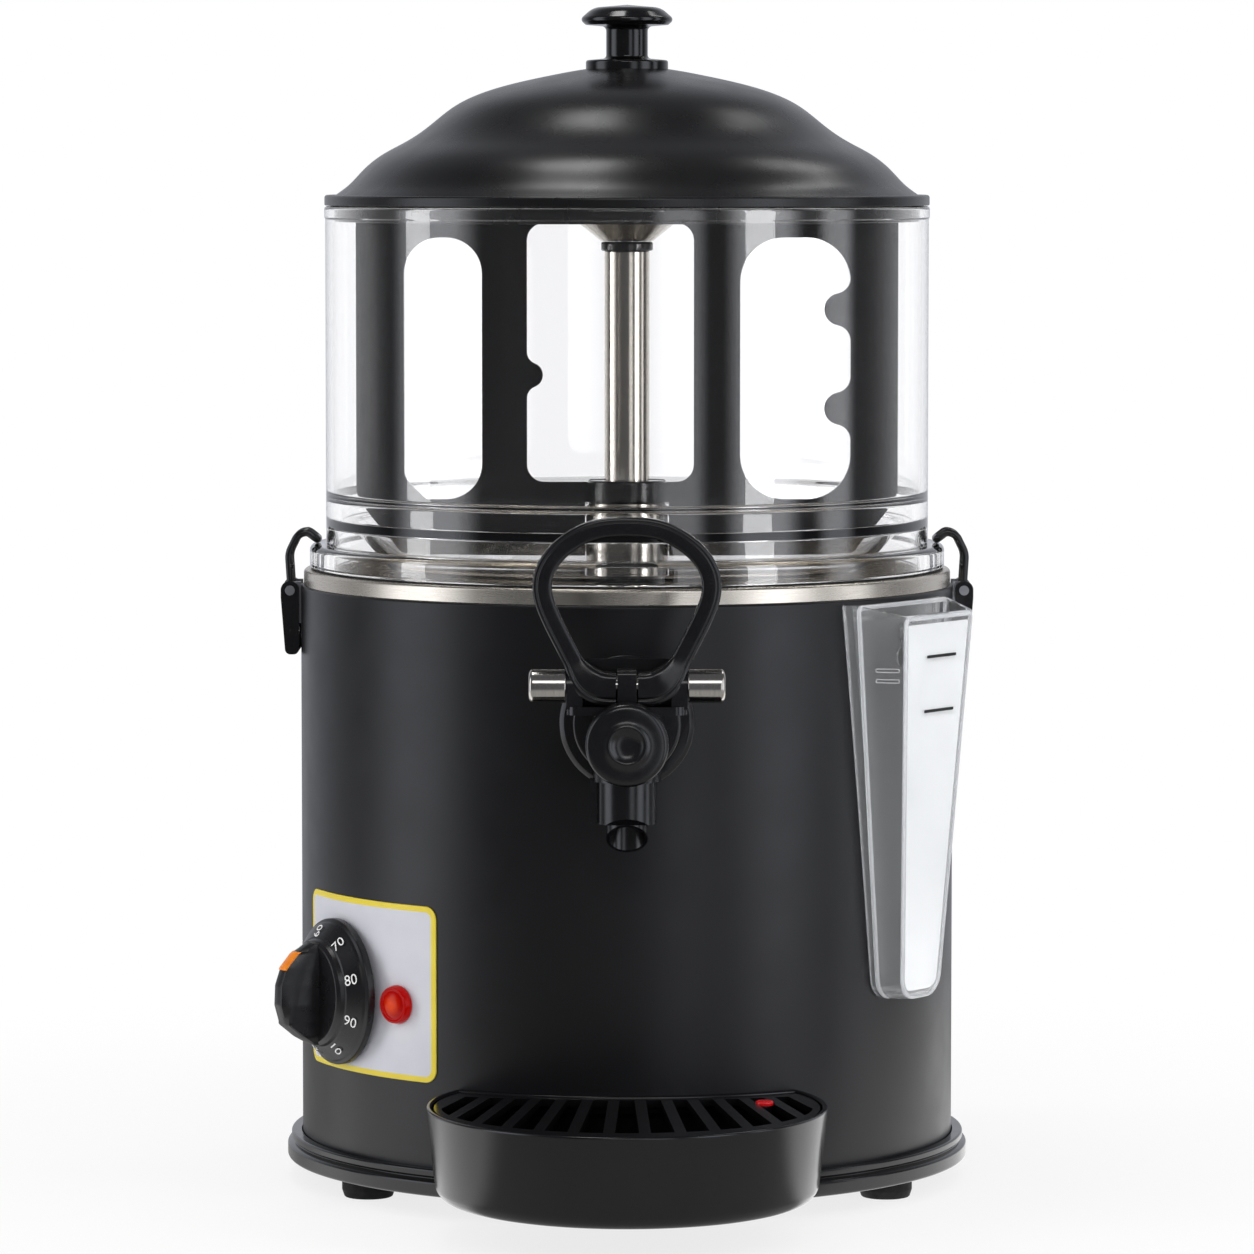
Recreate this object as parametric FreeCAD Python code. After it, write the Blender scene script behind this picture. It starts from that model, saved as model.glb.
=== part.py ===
# Heated chocolate dispenser for the counter: a clear five-litre bowl over a water bath, a stirrer
# turned from below, a lever tap, a drip tray and a clip-on level cup.
# Millimetres. +Z is up and -Y is the front. The origin is on the bowl's axis, in the plane that the
# feet stand on. Azimuths are in degrees from the front, positive towards +X.
import FreeCAD, Part

import math
import os

from FreeCAD import Vector

# ---------------------------------------------------------------- driving dimensions
# Clearances
SEAT_GAP = 0.3           # between a piece that lifts off and its seat
RUN_GAP = 0.05           # radial clearance of a shaft or pin in its bore
MOVE_GAP = 0.7           # between moving faces that must never touch

# Base and feet
FOOT_H = 9.0
FOOT_R = 10.75
FOOT_IN = 19.5           # foot's centre inside the base's edge
FOOT_ANGLE = 29.9        # from the left-right line
BASE_PROUD = 6.2         # base's edge outside the housing's face
BASE_H = 10.6
BASE_FLOOR_T = 4.0
BASE_LIP = 1.6           # how far the upper ring of the base stands inside the lower one
BASE_OPENING_IN = 35.8   # edge of the base's opening inside the housing's face
PLATE_T = 1.2
PLATE_LEDGE = 5.0
VENT_COUNT = 18
VENT_R = 78.0
VENT_L = 22.0
VENT_W = 4.0

# Housing
HOUSING_R = 133.8
HOUSING_H = 231.4
SHEET_T = 1.0
HOUSING_FLANGE_W = 6.0

# Water bath
BATH_IN = 7.8            # bath's wall inside the housing's face
BATH_SHEET_T = 0.8
BATH_FLOOR_DROP = 76.4   # bath floor below the housing's top edge
BAND_H = 6.5
BAND_INSET = 1.2         # the band's face behind the housing's face
BAND_ROUND = 1.5
HEATER_IN_R = 60.0
HEATER_OUT_R = 92.0
HEATER_T = 8.0

# Bowl
GASKET_T = 0.6
BOWL_IN = 10.4           # bowl's wall inside the housing's face
BOWL_WALL = 3.0
BOWL_H = 138.0           # from the flange's top to the brim
FLANGE_IN = 3.7          # flange's edge inside the housing's face
FLANGE_H = 9.5
FLANGE_ROUND = 2.4
FLOOR_ABOVE_SEAT = 2.5   # bowl floor above the flange's underside
FLOOR_IN = 27.9          # edge of the level floor inside the bowl's outer face
FLOOR_DISC_IN = 6.0      # edge of the floor disc inside the level floor's edge
SLOPE_IN = 11.4          # top of the slope inside the bowl's outer face
SLOPE_H = 17.5
BEAD_H = 8.5
BEAD_W = 3.2
BRIM_H = 4.5
BRIM_PROUD = 0.4
SPIGOT_R = 10.0
SPIGOT_L = 11.0
SPIGOT_BORE_R = 7.5
SPIGOT_IN = 19.5         # spigot's axis inside the level floor's edge

# Drive column and stirrer
COLUMN_R = 9.25
COLUMN_BORE_R = 7.5
COLUMN_BELOW_BRIM = 18.2
NUT_H = 8.0
COLUMN_FOOT_R = 15.0
HUB_R = 16.8
HUB_H = 23.6
SHAFT_R = 5.0
BUSH_FLANGE_R = 10.6
BUSH_FLANGE_T = 3.7
BUSH_L = 14.0
CONE_BASE_R = 10.7
CONE_TOP_R = 24.0
CONE_H = 10.5
CONE_RIM_T = 2.2
CAP_NUT_R = 7.0
CAP_NUT_H = 4.5
PADDLE_SIDE_GAP = 9.2    # to the bowl's inner face
PADDLE_FOOT_IN = 2.5     # foot's corner inside the level floor's edge
PADDLE_T = 4.0
PADDLE_FLOOR_GAP = 3.0
PADDLE_SHOULDER_H = 22.5
PADDLE_BELOW_BRIM = 3.0
COLLAR_R = 16.5
COLLAR_H = 9.2
COLLAR_GAP = 0.2
WINDOW_SIDE_W = 32.0
WINDOW_SIDE_X = 75.4
WINDOW_RIGHT_W = 45.3
WINDOW_RIGHT_X = 69.0
WINDOW_CENTRE_LEFT = 41.0
WINDOW_CENTRE_RIGHT = 27.4
PADDLE_TOP_BAR = 4.0
PADDLE_SIDE_TOP_BAR = 9.8
TAB_R = 8.6
TAB_PROUD = 6.4

# Gear motor under the bath
GEARBOX_SIDE = 62.0
GEARBOX_H = 26.0
MOTOR_R = 27.0
MOTOR_H = 42.0
MOTOR_DROP = 38.0        # motor bracket below the bath floor
BRACKET_T = 2.0
PILLAR_R = 4.0
PILLAR_FROM_AXIS = 46.0
COLUMN_ROOT = 22.0       # foot of the column above the motor bracket's underside

# Lid
LID_WALL = 2.8
LID_LIP_PROUD = 0.3      # lip's edge outside the bowl's wall
LID_LIP_H = 4.3
LID_FOOT_IN = 4.4        # foot of the dome inside the bowl's outer face
LID_SKIRT_H = 6.5
LID_SKIRT_GAP = 0.8
LID_SKIRT_T = 2.2
LID_LOWER_RISE = 24.0    # from the lip's top to the waist between the two tiers
LID_WAIST_IN = 38.9      # waist inside the bowl's outer face
LID_RISE = 52.6          # from the lip's top to the crown
KNOB_R = 19.35
KNOB_H = 24.8
KNOB_STEM_R = 8.5
KNOB_FOOT_R = 16.8
KNOB_FOOT_T = 2.2
KNOB_CAP_T = 10.4
KNOB_SINK = 2.0          # how far the knob's foot reaches down round the crown
KNOB_SCREW_R = 2.5
KNOB_SCREW_L = 10.0      # thread above the crown

# Tap. OUT is the distance from the bowl's axis towards the front.
TAP_BELOW_TOP = 48.4     # barrel axis below the housing's top edge
TAP_REACH = 39.7         # axis of the upright cylinder in front of the housing
TAP_TAIL_L = 19.0        # tail inside the bath
TAIL_R = 10.0
TAIL_BORE_R = 7.5
BARREL_R = 14.5
CYLINDER_R = 13.0
CYLINDER_UP = 10.4       # cylinder top above the barrel axis
CHAMBER_R = 9.0
SEAT_BELOW = 24.0        # valve seat below the barrel axis
SPOUT_R = 11.5
SPOUT_TOP_BELOW = 15.0
SPOUT_BOTTOM_BELOW = 32.4
NOZZLE_R = 8.0
NOZZLE_BORE_R = 6.0
NOZZLE_BOTTOM_BELOW = 44.5
FIN_T = 2.6
FIN_PROUD = 2.8
BOSS_R = 13.4
BOSS_L = 17.0            # front boss beyond the cylinder's axis
CAP_R = 15.9
CAP_LAP = 2.0            # cap over the boss
CAP_L = 14.5
ESCUTCHEON_R = 26.5
ESCUTCHEON_ABOVE = 3.2   # the escutcheon's centre above the barrel axis
ESCUTCHEON_T = 5.7
TAP_COLLAR_R = 21.2
TAP_COLLAR_T = 4.5
TAP_NUT_R = 15.0
TAP_NUT_T = 7.5
ELBOW_R = 12.6

# Yoke, cross rod, lever and plunger of the tap
ROD_FORWARD = 7.5        # cross rod in front of the cylinder's axis
ROD_ABOVE = 21.2         # cross rod above the barrel axis
ROD_PIN_R = 3.0
ROD_END_R = 6.5
ROD_HALF_L = 37.7
YOKE_T = 3.2
YOKE_HALF_W = 23.2
EAR_T = 6.2
EAR_R = 5.6
YOKE_BACK_H = 17.0
YOKE_BACK_T = 2.5
YOKE_BACK = 7.9          # the bonnet's back edge behind the cylinder's axis
YOKE_FRONT = 14.6
LOOP_HALF_W = 35.75
LOOP_ABOVE_ROD = 37.6    # widest level of the ring above the cross rod
LOOP_RISE = 27.1
LOOP_BAR = 6.7
LOOP_T = 8.0
LOOP_LEG_ANGLE = 22.4
LOOP_INNER_LEG_ANGLE = 27.0
LEVER_SILL = 6.2         # the ring opening's lower edge above the cross rod
LEVER_HUB_R = 6.8
LEVER_HUB_HALF_W = 16.4
CAM_R = 3.6
CAM_PIN_R = 1.5
TONGUE_HALF_W = 3.65
TONGUE_SIDE_GAP = 0.5
TONGUE_ABOVE_ROD = 6.3
STEM_R = 3.5
VALVE_R = 8.4
VALVE_T = 4.0
SEAL_R = 8.0
SEAL_T = 2.7
SPRING_R = 6.2
SPRING_WIRE_R = 0.6
SPRING_TURNS = 5

# Control panel
PANEL_AZ = -52.8
PANEL_HALF_W = 42.8
PANEL_H = 70.2
PANEL_BOTTOM_ABOVE_BASE = 33.7
PANEL_T = 0.7
PANEL_GLUE = 0.1         # adhesive between the panel and the housing
PANEL_CORNER = 5.0
DIAL_AZ = -58.5
DIAL_ABOVE_PANEL = 31.7
DIAL_R = 29.4
DIAL_GAP = 0.9
DIAL_SKIRT_T = 4.6
DIAL_FACE_R = 21.3
DIAL_CONE_H = 4.6
DIAL_DRUM_H = 4.2
DIAL_H = 31.0
DIAL_REST_ANGLE = 28.0         # how far the grip is turned at rest, from upright
GRIP_HALF_W = 7.4
GRIP_TOP_HALF_W = 2.6
SPINDLE_R = 3.0
POINTER_L = 11.0
POINTER_W = 3.6
POINTER_T = 1.0
THERMOSTAT_R = 15.0
THERMOSTAT_L = 24.0
LAMP_AZ = -42.4
LAMP_ABOVE_PANEL = 30.1
LAMP_R = 7.75
LAMP_STEM_R = 5.4
LAMP_STEM_L = 22.0
LAMP_DOME_H = 4.2

# Latches, built at azimuth +90 and -90
LATCH_BELOW_TOP = 2.2    # lever pivot below the housing's top edge
BAIL_PIVOT_BELOW = 17.4
BAIL_PIVOT_IN = 1.2
BAIL_LEG_OUT = 0.8       # the bail's legs outside the lever pivot
LATCH_LEVER_R = 3.8
LATCH_LEVER_L = 23.8     # pivot to the centre of the lever's lower end
LATCH_LEVER_END_R = 2.5
LATCH_HALF_W = 12.2
LATCH_WALL = 1.6
LATCH_EAR_IN = 7.6
LATCH_EAR_T = 1.9
LATCH_EAR_R = 3.4
LATCH_PLATE_T = 1.1
LATCH_PLATE_H = 17.0
RIVET_R = 1.4
RIVET_HEAD_R = 2.0
BAIL_WIRE_R = 1.6
BAIL_HALF_W = 5.5
BAIL_SEAT_IN = 3.1       # crossbar inside the flange's edge
BAIL_ARCH = 4.9          # arch above the flange's top

# Drip tray
TRAY_HALF_W = 78.5
TRAY_REACH = 106.6       # tray's front edge in front of the housing
TRAY_TOP_Z = 52.0
TRAY_BOTTOM_Z = 15.7
TRAY_DRAFT = 4.0
TRAY_WALL = 2.2
TRAY_FLOOR_T = 2.2
TRAY_CORNER = 42.0
TRAY_SIDE_FLARE = 4.5
TRAY_BOW_ANGLE = 6.3           # slope of the front edge where it meets the corners, in degrees
TRAY_BOW_HALF = 36.0     # half length of the front's bowed stretch
TRAY_BEND = 12.2         # where the sides begin to draw in, in front of the housing
TRAY_BODY_GAP = 0.5
TRAY_PIN_R = 3.0
TRAY_PIN_X = 48.0
TRAY_PIN_Z = 34.0
TRAY_PIN_L = 10.0
GRILLE_T = 2.8
GRILLE_GAP = 0.5
GRILLE_DROP = 0.8        # the grille's top below the tray's rim
GRILLE_SIDE_BAND = 6.0
GRILLE_FRONT_BAND = 16.5
GRILLE_REAR = 6.5        # rear edge of the slots in front of the housing
GRILLE_REAR_R = 218.0
GRILLE_LEDGE = 2.4
FAN_FOCUS = 112.0        # where the bars meet, behind the bowl's axis
FAN_STEP_ANGLE = 2.33
FAN_BARS = 14
BAR_W = 4.5
FLOAT_X = 53.6
FLOAT_FRONT = 8.6        # float's axis in front of the base's foremost point
FLOAT_R = 3.5
FLOAT_PROUD = 2.2
FLOAT_DISC_R = 6.5
FLOAT_DISC_H = 7.0

# Level cup
CUP_AZ = 54.6
CUP_BELOW_TOP = 2.0
CUP_H = 158.4
CUP_RIM_DROP = 4.4
CUP_WALL = 1.8
CUP_TOP_DEPTH = 19.2     # outer face beyond the housing's face, at the rim
CUP_BOTTOM_DEPTH = 10.5
CUP_TOP_HALF_W = 25.0
CUP_BOTTOM_HALF_W = 13.6
CUP_FLARE_RATIO = 0.44         # how fast a side face runs out towards the housing
CUP_CORNER = 3.0
CUP_ROUND = 9.0
CUP_GAP = 0.3
SCALE_T = 0.6
SCALE_BOTTOM_ABOVE = 13.0
SCALE_TOP_BELOW = 8.0
STUD_R = 2.0
STUD_HEAD_R = 3.9
STUD_HEAD_T = 1.5
STUD_BELOW_RIM = 12.0
STUD_TRAVEL = 10.0
STUD_ROOT = 1.0          # cut away to the housing's curve

# Cord gland at the back
GLAND_ABOVE_BASE = 26.0
GLAND_R = 9.0
GLAND_FLANGE_R = 12.0
GLAND_FLANGE_T = 2.5
GLAND_PROUD = 14.0
GLAND_INSIDE = 10.0
GLAND_BORE_R = 3.6

# ---------------------------------------------------------------- sizes and levels that follow
BASE_R = HOUSING_R + BASE_PROUD
BASE_OPENING_R = HOUSING_R - BASE_OPENING_IN
FOOT_X = (BASE_R - FOOT_IN) * math.cos(math.radians(FOOT_ANGLE))
FOOT_Y = (BASE_R - FOOT_IN) * math.sin(math.radians(FOOT_ANGLE))
BATH_WALL_R = HOUSING_R - BATH_IN
BOWL_R = HOUSING_R - BOWL_IN
FLANGE_R = HOUSING_R - FLANGE_IN
FLOOR_R = BOWL_R - FLOOR_IN
FLOOR_DISC_R = FLOOR_R - FLOOR_DISC_IN
SLOPE_R = BOWL_R - SLOPE_IN
SPIGOT_FROM_AXIS = FLOOR_R - SPIGOT_IN
PADDLE_HALF_W = BOWL_R - BOWL_WALL - PADDLE_SIDE_GAP
PADDLE_FOOT_HALF_W = FLOOR_R - PADDLE_FOOT_IN
LID_LIP_R = BOWL_R + LID_LIP_PROUD
LID_FOOT_R = BOWL_R - LID_FOOT_IN
LID_WAIST_R = BOWL_R - LID_WAIST_IN
LID_SKIRT_IN_R = BOWL_R - BOWL_WALL - LID_SKIRT_GAP - LID_SKIRT_T
TAP_OUT = HOUSING_R + TAP_REACH
TAP_TAIL_IN = BATH_WALL_R - TAP_TAIL_L
BOSS_OUT = TAP_OUT + BOSS_L
CAP_BACK_OUT = BOSS_OUT - CAP_LAP
CAP_FRONT_OUT = CAP_BACK_OUT + CAP_L
ESCUTCHEON_OUT = HOUSING_R + ESCUTCHEON_T
TAP_COLLAR_OUT = ESCUTCHEON_OUT + TAP_COLLAR_T
TRAY_FRONT = HOUSING_R + TRAY_REACH
TRAY_BEND_OUT = HOUSING_R + TRAY_BEND
GRILLE_REAR_OUT = HOUSING_R + GRILLE_REAR
FLOAT_OUT = BASE_R + FLOAT_FRONT
BASE_TOP_Z = FOOT_H + BASE_H
HOUSING_Z = FOOT_H + BASE_FLOOR_T
TOP_Z = HOUSING_Z + HOUSING_H
BAND_TOP_Z = TOP_Z + BAND_H
SEAT_Z = BAND_TOP_Z + GASKET_T
FLANGE_Z = SEAT_Z + FLANGE_H
BRIM_Z = FLANGE_Z + BOWL_H
FLOOR_Z = SEAT_Z + FLOOR_ABOVE_SEAT
FLOOR_UNDER_Z = FLOOR_Z - BOWL_WALL
SLOPE_Z = FLOOR_Z + SLOPE_H
BATH_FLOOR_Z = TOP_Z - BATH_FLOOR_DROP
HUB_TOP_Z = FLOOR_Z + HUB_H
COLUMN_TOP_Z = BRIM_Z - COLUMN_BELOW_BRIM
BUSH_TOP_Z = COLUMN_TOP_Z + BUSH_FLANGE_T
CONE_Z = BUSH_TOP_Z + SEAT_GAP
CONE_TOP_Z = CONE_Z + CONE_H + CONE_RIM_T
COLLAR_Z = HUB_TOP_Z + SEAT_GAP
PADDLE_TOP_Z = BRIM_Z - PADDLE_BELOW_BRIM
BRACKET_Z = BATH_FLOOR_Z - BATH_SHEET_T - MOTOR_DROP
LIP_Z = BRIM_Z + SEAT_GAP
LIP_TOP_Z = LIP_Z + LID_LIP_H
CROWN_Z = LIP_TOP_Z + LID_RISE
BAND_R = HOUSING_R - BAND_INSET
TAP_Z = TOP_Z - TAP_BELOW_TOP
ROD_Z = TAP_Z + ROD_ABOVE
ROD_OUT = TAP_OUT + ROD_FORWARD
CYLINDER_TOP_Z = TAP_Z + CYLINDER_UP
YOKE_TOP_Z = CYLINDER_TOP_Z + YOKE_T
VALVE_SEAT_Z = TAP_Z - SEAT_BELOW
PANEL_Z = BASE_TOP_Z + PANEL_BOTTOM_ABOVE_BASE
PANEL_FACE_R = HOUSING_R + PANEL_T
DIAL_Z = PANEL_Z + DIAL_ABOVE_PANEL
LAMP_Z = PANEL_Z + LAMP_ABOVE_PANEL
LATCH_Z = TOP_Z - LATCH_BELOW_TOP
LATCH_OUT = HOUSING_R + LATCH_LEVER_R + SEAT_GAP
CUP_RIM_Z = TOP_Z - CUP_BELOW_TOP
CUP_BOTTOM_Z = CUP_RIM_Z - CUP_H
CUP_BACK_R = HOUSING_R + CUP_GAP
STUD_Z = CUP_RIM_Z - STUD_BELOW_RIM
GLAND_Z = BASE_TOP_Z + GLAND_ABOVE_BASE
FAR = 400.0              # longer than anything that is cut

UP = Vector(0, 0, 1)
CENTRE = Vector(0, 0, 0)


# ---------------------------------------------------------------- small tools
def in_xz(a, b):
    return Vector(a, 0, b)


def in_xy(a, b):
    return Vector(a, b, 0)


def in_zy(a, b):
    return Vector(0, b, a)


def rounded_wire(corners, place):
    """A closed wire through corners (a, b) or (a, b, radius), with a tangent arc at each radius."""
    starts, middles, ends = [], [], []
    count = len(corners)
    for index, corner in enumerate(corners):
        here = Vector(corner[0], corner[1], 0)
        before = corners[index - 1]
        after = corners[(index + 1) % count]
        radius = corner[2] if len(corner) > 2 else 0.0
        back = (Vector(before[0], before[1], 0) - here).normalize()
        ahead = (Vector(after[0], after[1], 0) - here).normalize()
        half = back.getAngle(ahead) / 2
        run = radius / math.tan(half)
        inward = (back + ahead)
        if radius > 0:
            inward.normalize()
        starts.append(here + back * run)
        ends.append(here + ahead * run)
        middles.append(here + inward * (radius / math.sin(half) - radius))
    edges = []
    for index, corner in enumerate(corners):
        start, middle, end = [place(p.x, p.y) for p in (starts[index], middles[index], ends[index])]
        if len(corner) > 2 and corner[2] > 0:
            edges.append(Part.Arc(start, middle, end).toShape())
        following = starts[(index + 1) % count]
        target = place(following.x, following.y)
        if (target - end).Length > 1e-6:
            edges.append(Part.makeLine(end, target))
    return Part.Wire(edges)


def turned(corners):
    """A solid of revolution about Z from corners (radius, height[, rounding])."""
    return Part.Face(rounded_wire(corners, in_xz)).revolve(CENTRE, UP, 360)


def cylinder(radius, low, high, x=0.0, y=0.0):
    return Part.makeCylinder(radius, high - low, Vector(x, y, low))


def tube(outer, inner, low, high):
    return cylinder(outer, low, high).cut(cylinder(inner, low, high))


def slab(corners, low, high):
    """An outline in plan (x, y[, rounding]) between two heights."""
    face = Part.Face(rounded_wire(corners, in_xy))
    face.translate(Vector(0, 0, low))
    return face.extrude(Vector(0, 0, high - low))


def panel_xz(corners, front, back):
    """An outline seen from the front (x, z[, rounding]) between two values of y."""
    face = Part.Face(rounded_wire(corners, in_xz))
    face.translate(Vector(0, front, 0))
    return face.extrude(Vector(0, back - front, 0))


def side_plate(corners, left, right):
    """An outline in the local frame (out, up[, rounding]) between two sideways places."""
    face = Part.Face(rounded_wire(corners, in_zy))
    face.translate(Vector(left, 0, 0))
    return face.extrude(Vector(right - left, 0, 0))


def box(low, high):
    size = Vector(*high) - Vector(*low)
    return Part.makeBox(size.x, size.y, size.z, Vector(*low))


def at_azimuth(shape, azimuth, height=0.0):
    """Place a shape built sideways, up and outwards along X, Y and Z at an azimuth."""
    turn = FreeCAD.Rotation(UP, azimuth).multiply(FreeCAD.Rotation(Vector(1, 0, 0), 90))
    placed = shape.copy()
    placed.Placement = FreeCAD.Placement(Vector(0, 0, height), turn).multiply(placed.Placement)
    return placed


def outward(radius, near, far, azimuth, height):
    """A round bar or hole that runs outwards from the axis at an azimuth and height."""
    return at_azimuth(cylinder(radius, near, far), azimuth, height)


def sideways(radius, left, right, out, up):
    """A round bar along the local X axis, at a distance out and a height up."""
    return Part.makeCylinder(radius, right - left, Vector(left, up, out), Vector(1, 0, 0))


def fuse(first, *others):
    return first.multiFuse(list(others)).removeSplitter()


def mirrored_x(corners):
    """Close an outline drawn on its +X side by repeating it on the other side."""
    return corners + [(-c[0],) + tuple(c[1:]) for c in reversed(corners) if c[0] != 0]


# ---------------------------------------------------------------- base and housing
def base_ring():
    inner = HOUSING_R + SEAT_GAP
    ledge_r = BASE_OPENING_R + PLATE_LEDGE
    ledge_z = FOOT_H + PLATE_T + SEAT_GAP
    lower_top = FOOT_H + BASE_H * 0.55
    groove = 1.1
    return turned([
        (ledge_r, FOOT_H), (BASE_R, FOOT_H, 1.2), (BASE_R, lower_top, 1.2),
        (BASE_R - BASE_LIP - groove, lower_top + groove),
        (BASE_R - BASE_LIP, lower_top + 2 * groove),
        (BASE_R - BASE_LIP, BASE_TOP_Z, 0.8), (inner, BASE_TOP_Z, 0.4),
        (inner, HOUSING_Z), (BASE_OPENING_R, HOUSING_Z),
        (BASE_OPENING_R, ledge_z), (ledge_r, ledge_z)])


def base_plate():
    low = FOOT_H + SEAT_GAP
    plate = cylinder(BASE_OPENING_R + PLATE_LEDGE - SEAT_GAP, low, low + PLATE_T)
    slot = slab([(VENT_R - VENT_L / 2, -VENT_W / 2, VENT_W * 0.45),
                 (VENT_R + VENT_L / 2, -VENT_W / 2, VENT_W * 0.45),
                 (VENT_R + VENT_L / 2, VENT_W / 2, VENT_W * 0.45),
                 (VENT_R - VENT_L / 2, VENT_W / 2, VENT_W * 0.45)], 0, BASE_TOP_Z)
    slots = []
    for index in range(VENT_COUNT):
        turned_slot = slot.copy()
        turned_slot.rotate(CENTRE, UP, index * 360.0 / VENT_COUNT)
        slots.append(turned_slot)
    return plate.cut(slots)


def foot(x, y):
    pad = turned([(0, 0), (FOOT_R * 0.9, 0, 1.0), (FOOT_R, FOOT_H * 0.35, 2.0),
                  (FOOT_R, FOOT_H, 0.6), (0, FOOT_H)])
    pad = pad.cut(cylinder(STEM_R, -1, FOOT_H * 0.3))
    pad.translate(Vector(x, y, 0))
    return pad


def outer_housing():
    shell = turned([
        (HOUSING_R, HOUSING_Z), (HOUSING_R, TOP_Z, SHEET_T * 1.2),
        (HOUSING_R - HOUSING_FLANGE_W, TOP_Z), (HOUSING_R - HOUSING_FLANGE_W, TOP_Z - SHEET_T),
        (HOUSING_R - SHEET_T, TOP_Z - SHEET_T), (HOUSING_R - SHEET_T, HOUSING_Z)])
    near, far = HOUSING_R - 10, HOUSING_R + 10
    holes = [
        outward(TAIL_R + SEAT_GAP, near, far, 0, TAP_Z),
        outward(SPINDLE_R + MOVE_GAP, near, far, DIAL_AZ, DIAL_Z),
        outward(LAMP_STEM_R, near, far, LAMP_AZ, LAMP_Z),
        outward(GLAND_R, near, far, 180, GLAND_Z)]
    return shell.cut(holes)


def cylinder_y(radius, x, z, out_far, out_near):
    """A round bar along Y, between two distances in front of the axis."""
    return Part.makeCylinder(radius, out_far - out_near, Vector(x, -out_far, z), Vector(0, 1, 0))


def panel_plate():
    low, high = PANEL_Z, PANEL_Z + PANEL_H
    outline = [(-PANEL_HALF_W, low, PANEL_CORNER), (PANEL_HALF_W, low, PANEL_CORNER),
               (PANEL_HALF_W, high, PANEL_CORNER), (-PANEL_HALF_W, high, PANEL_CORNER)]
    wedge = panel_xz(outline, -FAR, 0)
    wedge.rotate(CENTRE, UP, PANEL_AZ)
    plate = tube(PANEL_FACE_R, HOUSING_R + PANEL_GLUE, low - 1, high + 1).common(wedge)
    return plate.cut([outward(SPINDLE_R + MOVE_GAP, 0, FAR, DIAL_AZ, DIAL_Z),
                      outward(LAMP_STEM_R, 0, FAR, LAMP_AZ, LAMP_Z)])


def cord_gland():
    inner = HOUSING_R - SHEET_T
    body = turned([
        (GLAND_BORE_R, inner - GLAND_INSIDE), (GLAND_R, inner - GLAND_INSIDE, 1.0),
        (GLAND_R, HOUSING_R - SHEET_T), (GLAND_R, HOUSING_R),
        (GLAND_FLANGE_R, HOUSING_R), (GLAND_FLANGE_R, HOUSING_R + GLAND_FLANGE_T, 0.8),
        (GLAND_R * 0.85, HOUSING_R + GLAND_FLANGE_T),
        (GLAND_BORE_R + 2.2, HOUSING_R + GLAND_PROUD, 0.8),
        (GLAND_BORE_R, HOUSING_R + GLAND_PROUD)])
    body = at_azimuth(body, 180, GLAND_Z)
    flange_back = tube(GLAND_FLANGE_R + 1, GLAND_R, inner - 5, HOUSING_R + GLAND_FLANGE_T)
    inside = cylinder(HOUSING_R, 0, TOP_Z)
    return body.cut(at_azimuth(flange_back, 180, GLAND_Z).common(inside))


# ---------------------------------------------------------------- water bath and drive
def water_bath():
    wall_in = BATH_WALL_R - BATH_SHEET_T
    under = BATH_FLOOR_Z - BATH_SHEET_T
    centre_r = COLUMN_R
    shell = turned([
        (BAND_R, TOP_Z), (BAND_R, BAND_TOP_Z, BAND_ROUND), (wall_in, BAND_TOP_Z, 0.5),
        (wall_in, BATH_FLOOR_Z, 8.0), (centre_r, BATH_FLOOR_Z), (centre_r, under),
        (BATH_WALL_R, under, 8.8), (BATH_WALL_R, BAND_TOP_Z - BATH_SHEET_T),
        (BAND_R - BATH_SHEET_T, BAND_TOP_Z - BATH_SHEET_T, BAND_ROUND - BATH_SHEET_T),
        (BAND_R - BATH_SHEET_T, TOP_Z)])
    return shell.cut(outward(TAIL_R + SEAT_GAP, BATH_WALL_R - 8, BATH_WALL_R + 4, 0, TAP_Z))


def bath_heater():
    top = BATH_FLOOR_Z - BATH_SHEET_T
    return turned([(HEATER_IN_R, top - HEATER_T, 1.5), (HEATER_OUT_R, top - HEATER_T, 1.5),
                   (HEATER_OUT_R, top), (HEATER_IN_R, top)])


def motor_bracket():
    top = BATH_FLOOR_Z - BATH_SHEET_T
    half = PILLAR_FROM_AXIS + PILLAR_R * 1.6
    plate = slab([(-half, -half, 12), (half, -half, 12), (half, half, 12), (-half, half, 12)],
                 BRACKET_Z, BRACKET_Z + BRACKET_T)
    reach = PILLAR_FROM_AXIS * math.sqrt(0.5)
    pillars = [cylinder(PILLAR_R, BRACKET_Z, top, sx * reach, sy * reach)
               for sx in (-1, 1) for sy in (-1, 1)]
    return fuse(plate, *pillars).cut(cylinder(SHAFT_R + 4, BRACKET_Z - 1, BRACKET_Z + BRACKET_T + 1))


def gear_motor():
    half = GEARBOX_SIDE / 2
    low = BRACKET_Z - GEARBOX_H
    case = slab([(-half, -half, 6), (half, -half, 6), (half, half, 6), (-half, half, 6)],
                low, BRACKET_Z)
    can = turned([(0, low - MOTOR_H), (MOTOR_R * 0.4, low - MOTOR_H), (MOTOR_R * 0.4, low - MOTOR_H + 3),
                  (MOTOR_R, low - MOTOR_H + 3, 2.5), (MOTOR_R, low + 1), (0, low + 1)])
    bore = cylinder(SHAFT_R + RUN_GAP, BRACKET_Z - GEARBOX_H * 0.45, BRACKET_Z + 1)
    return fuse(case, can).cut(bore)


def hexagon(across_corners, low, high):
    ring = [(across_corners * math.cos(math.radians(60 * i)),
             across_corners * math.sin(math.radians(60 * i))) for i in range(6)]
    return slab(ring, low, high)


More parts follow.
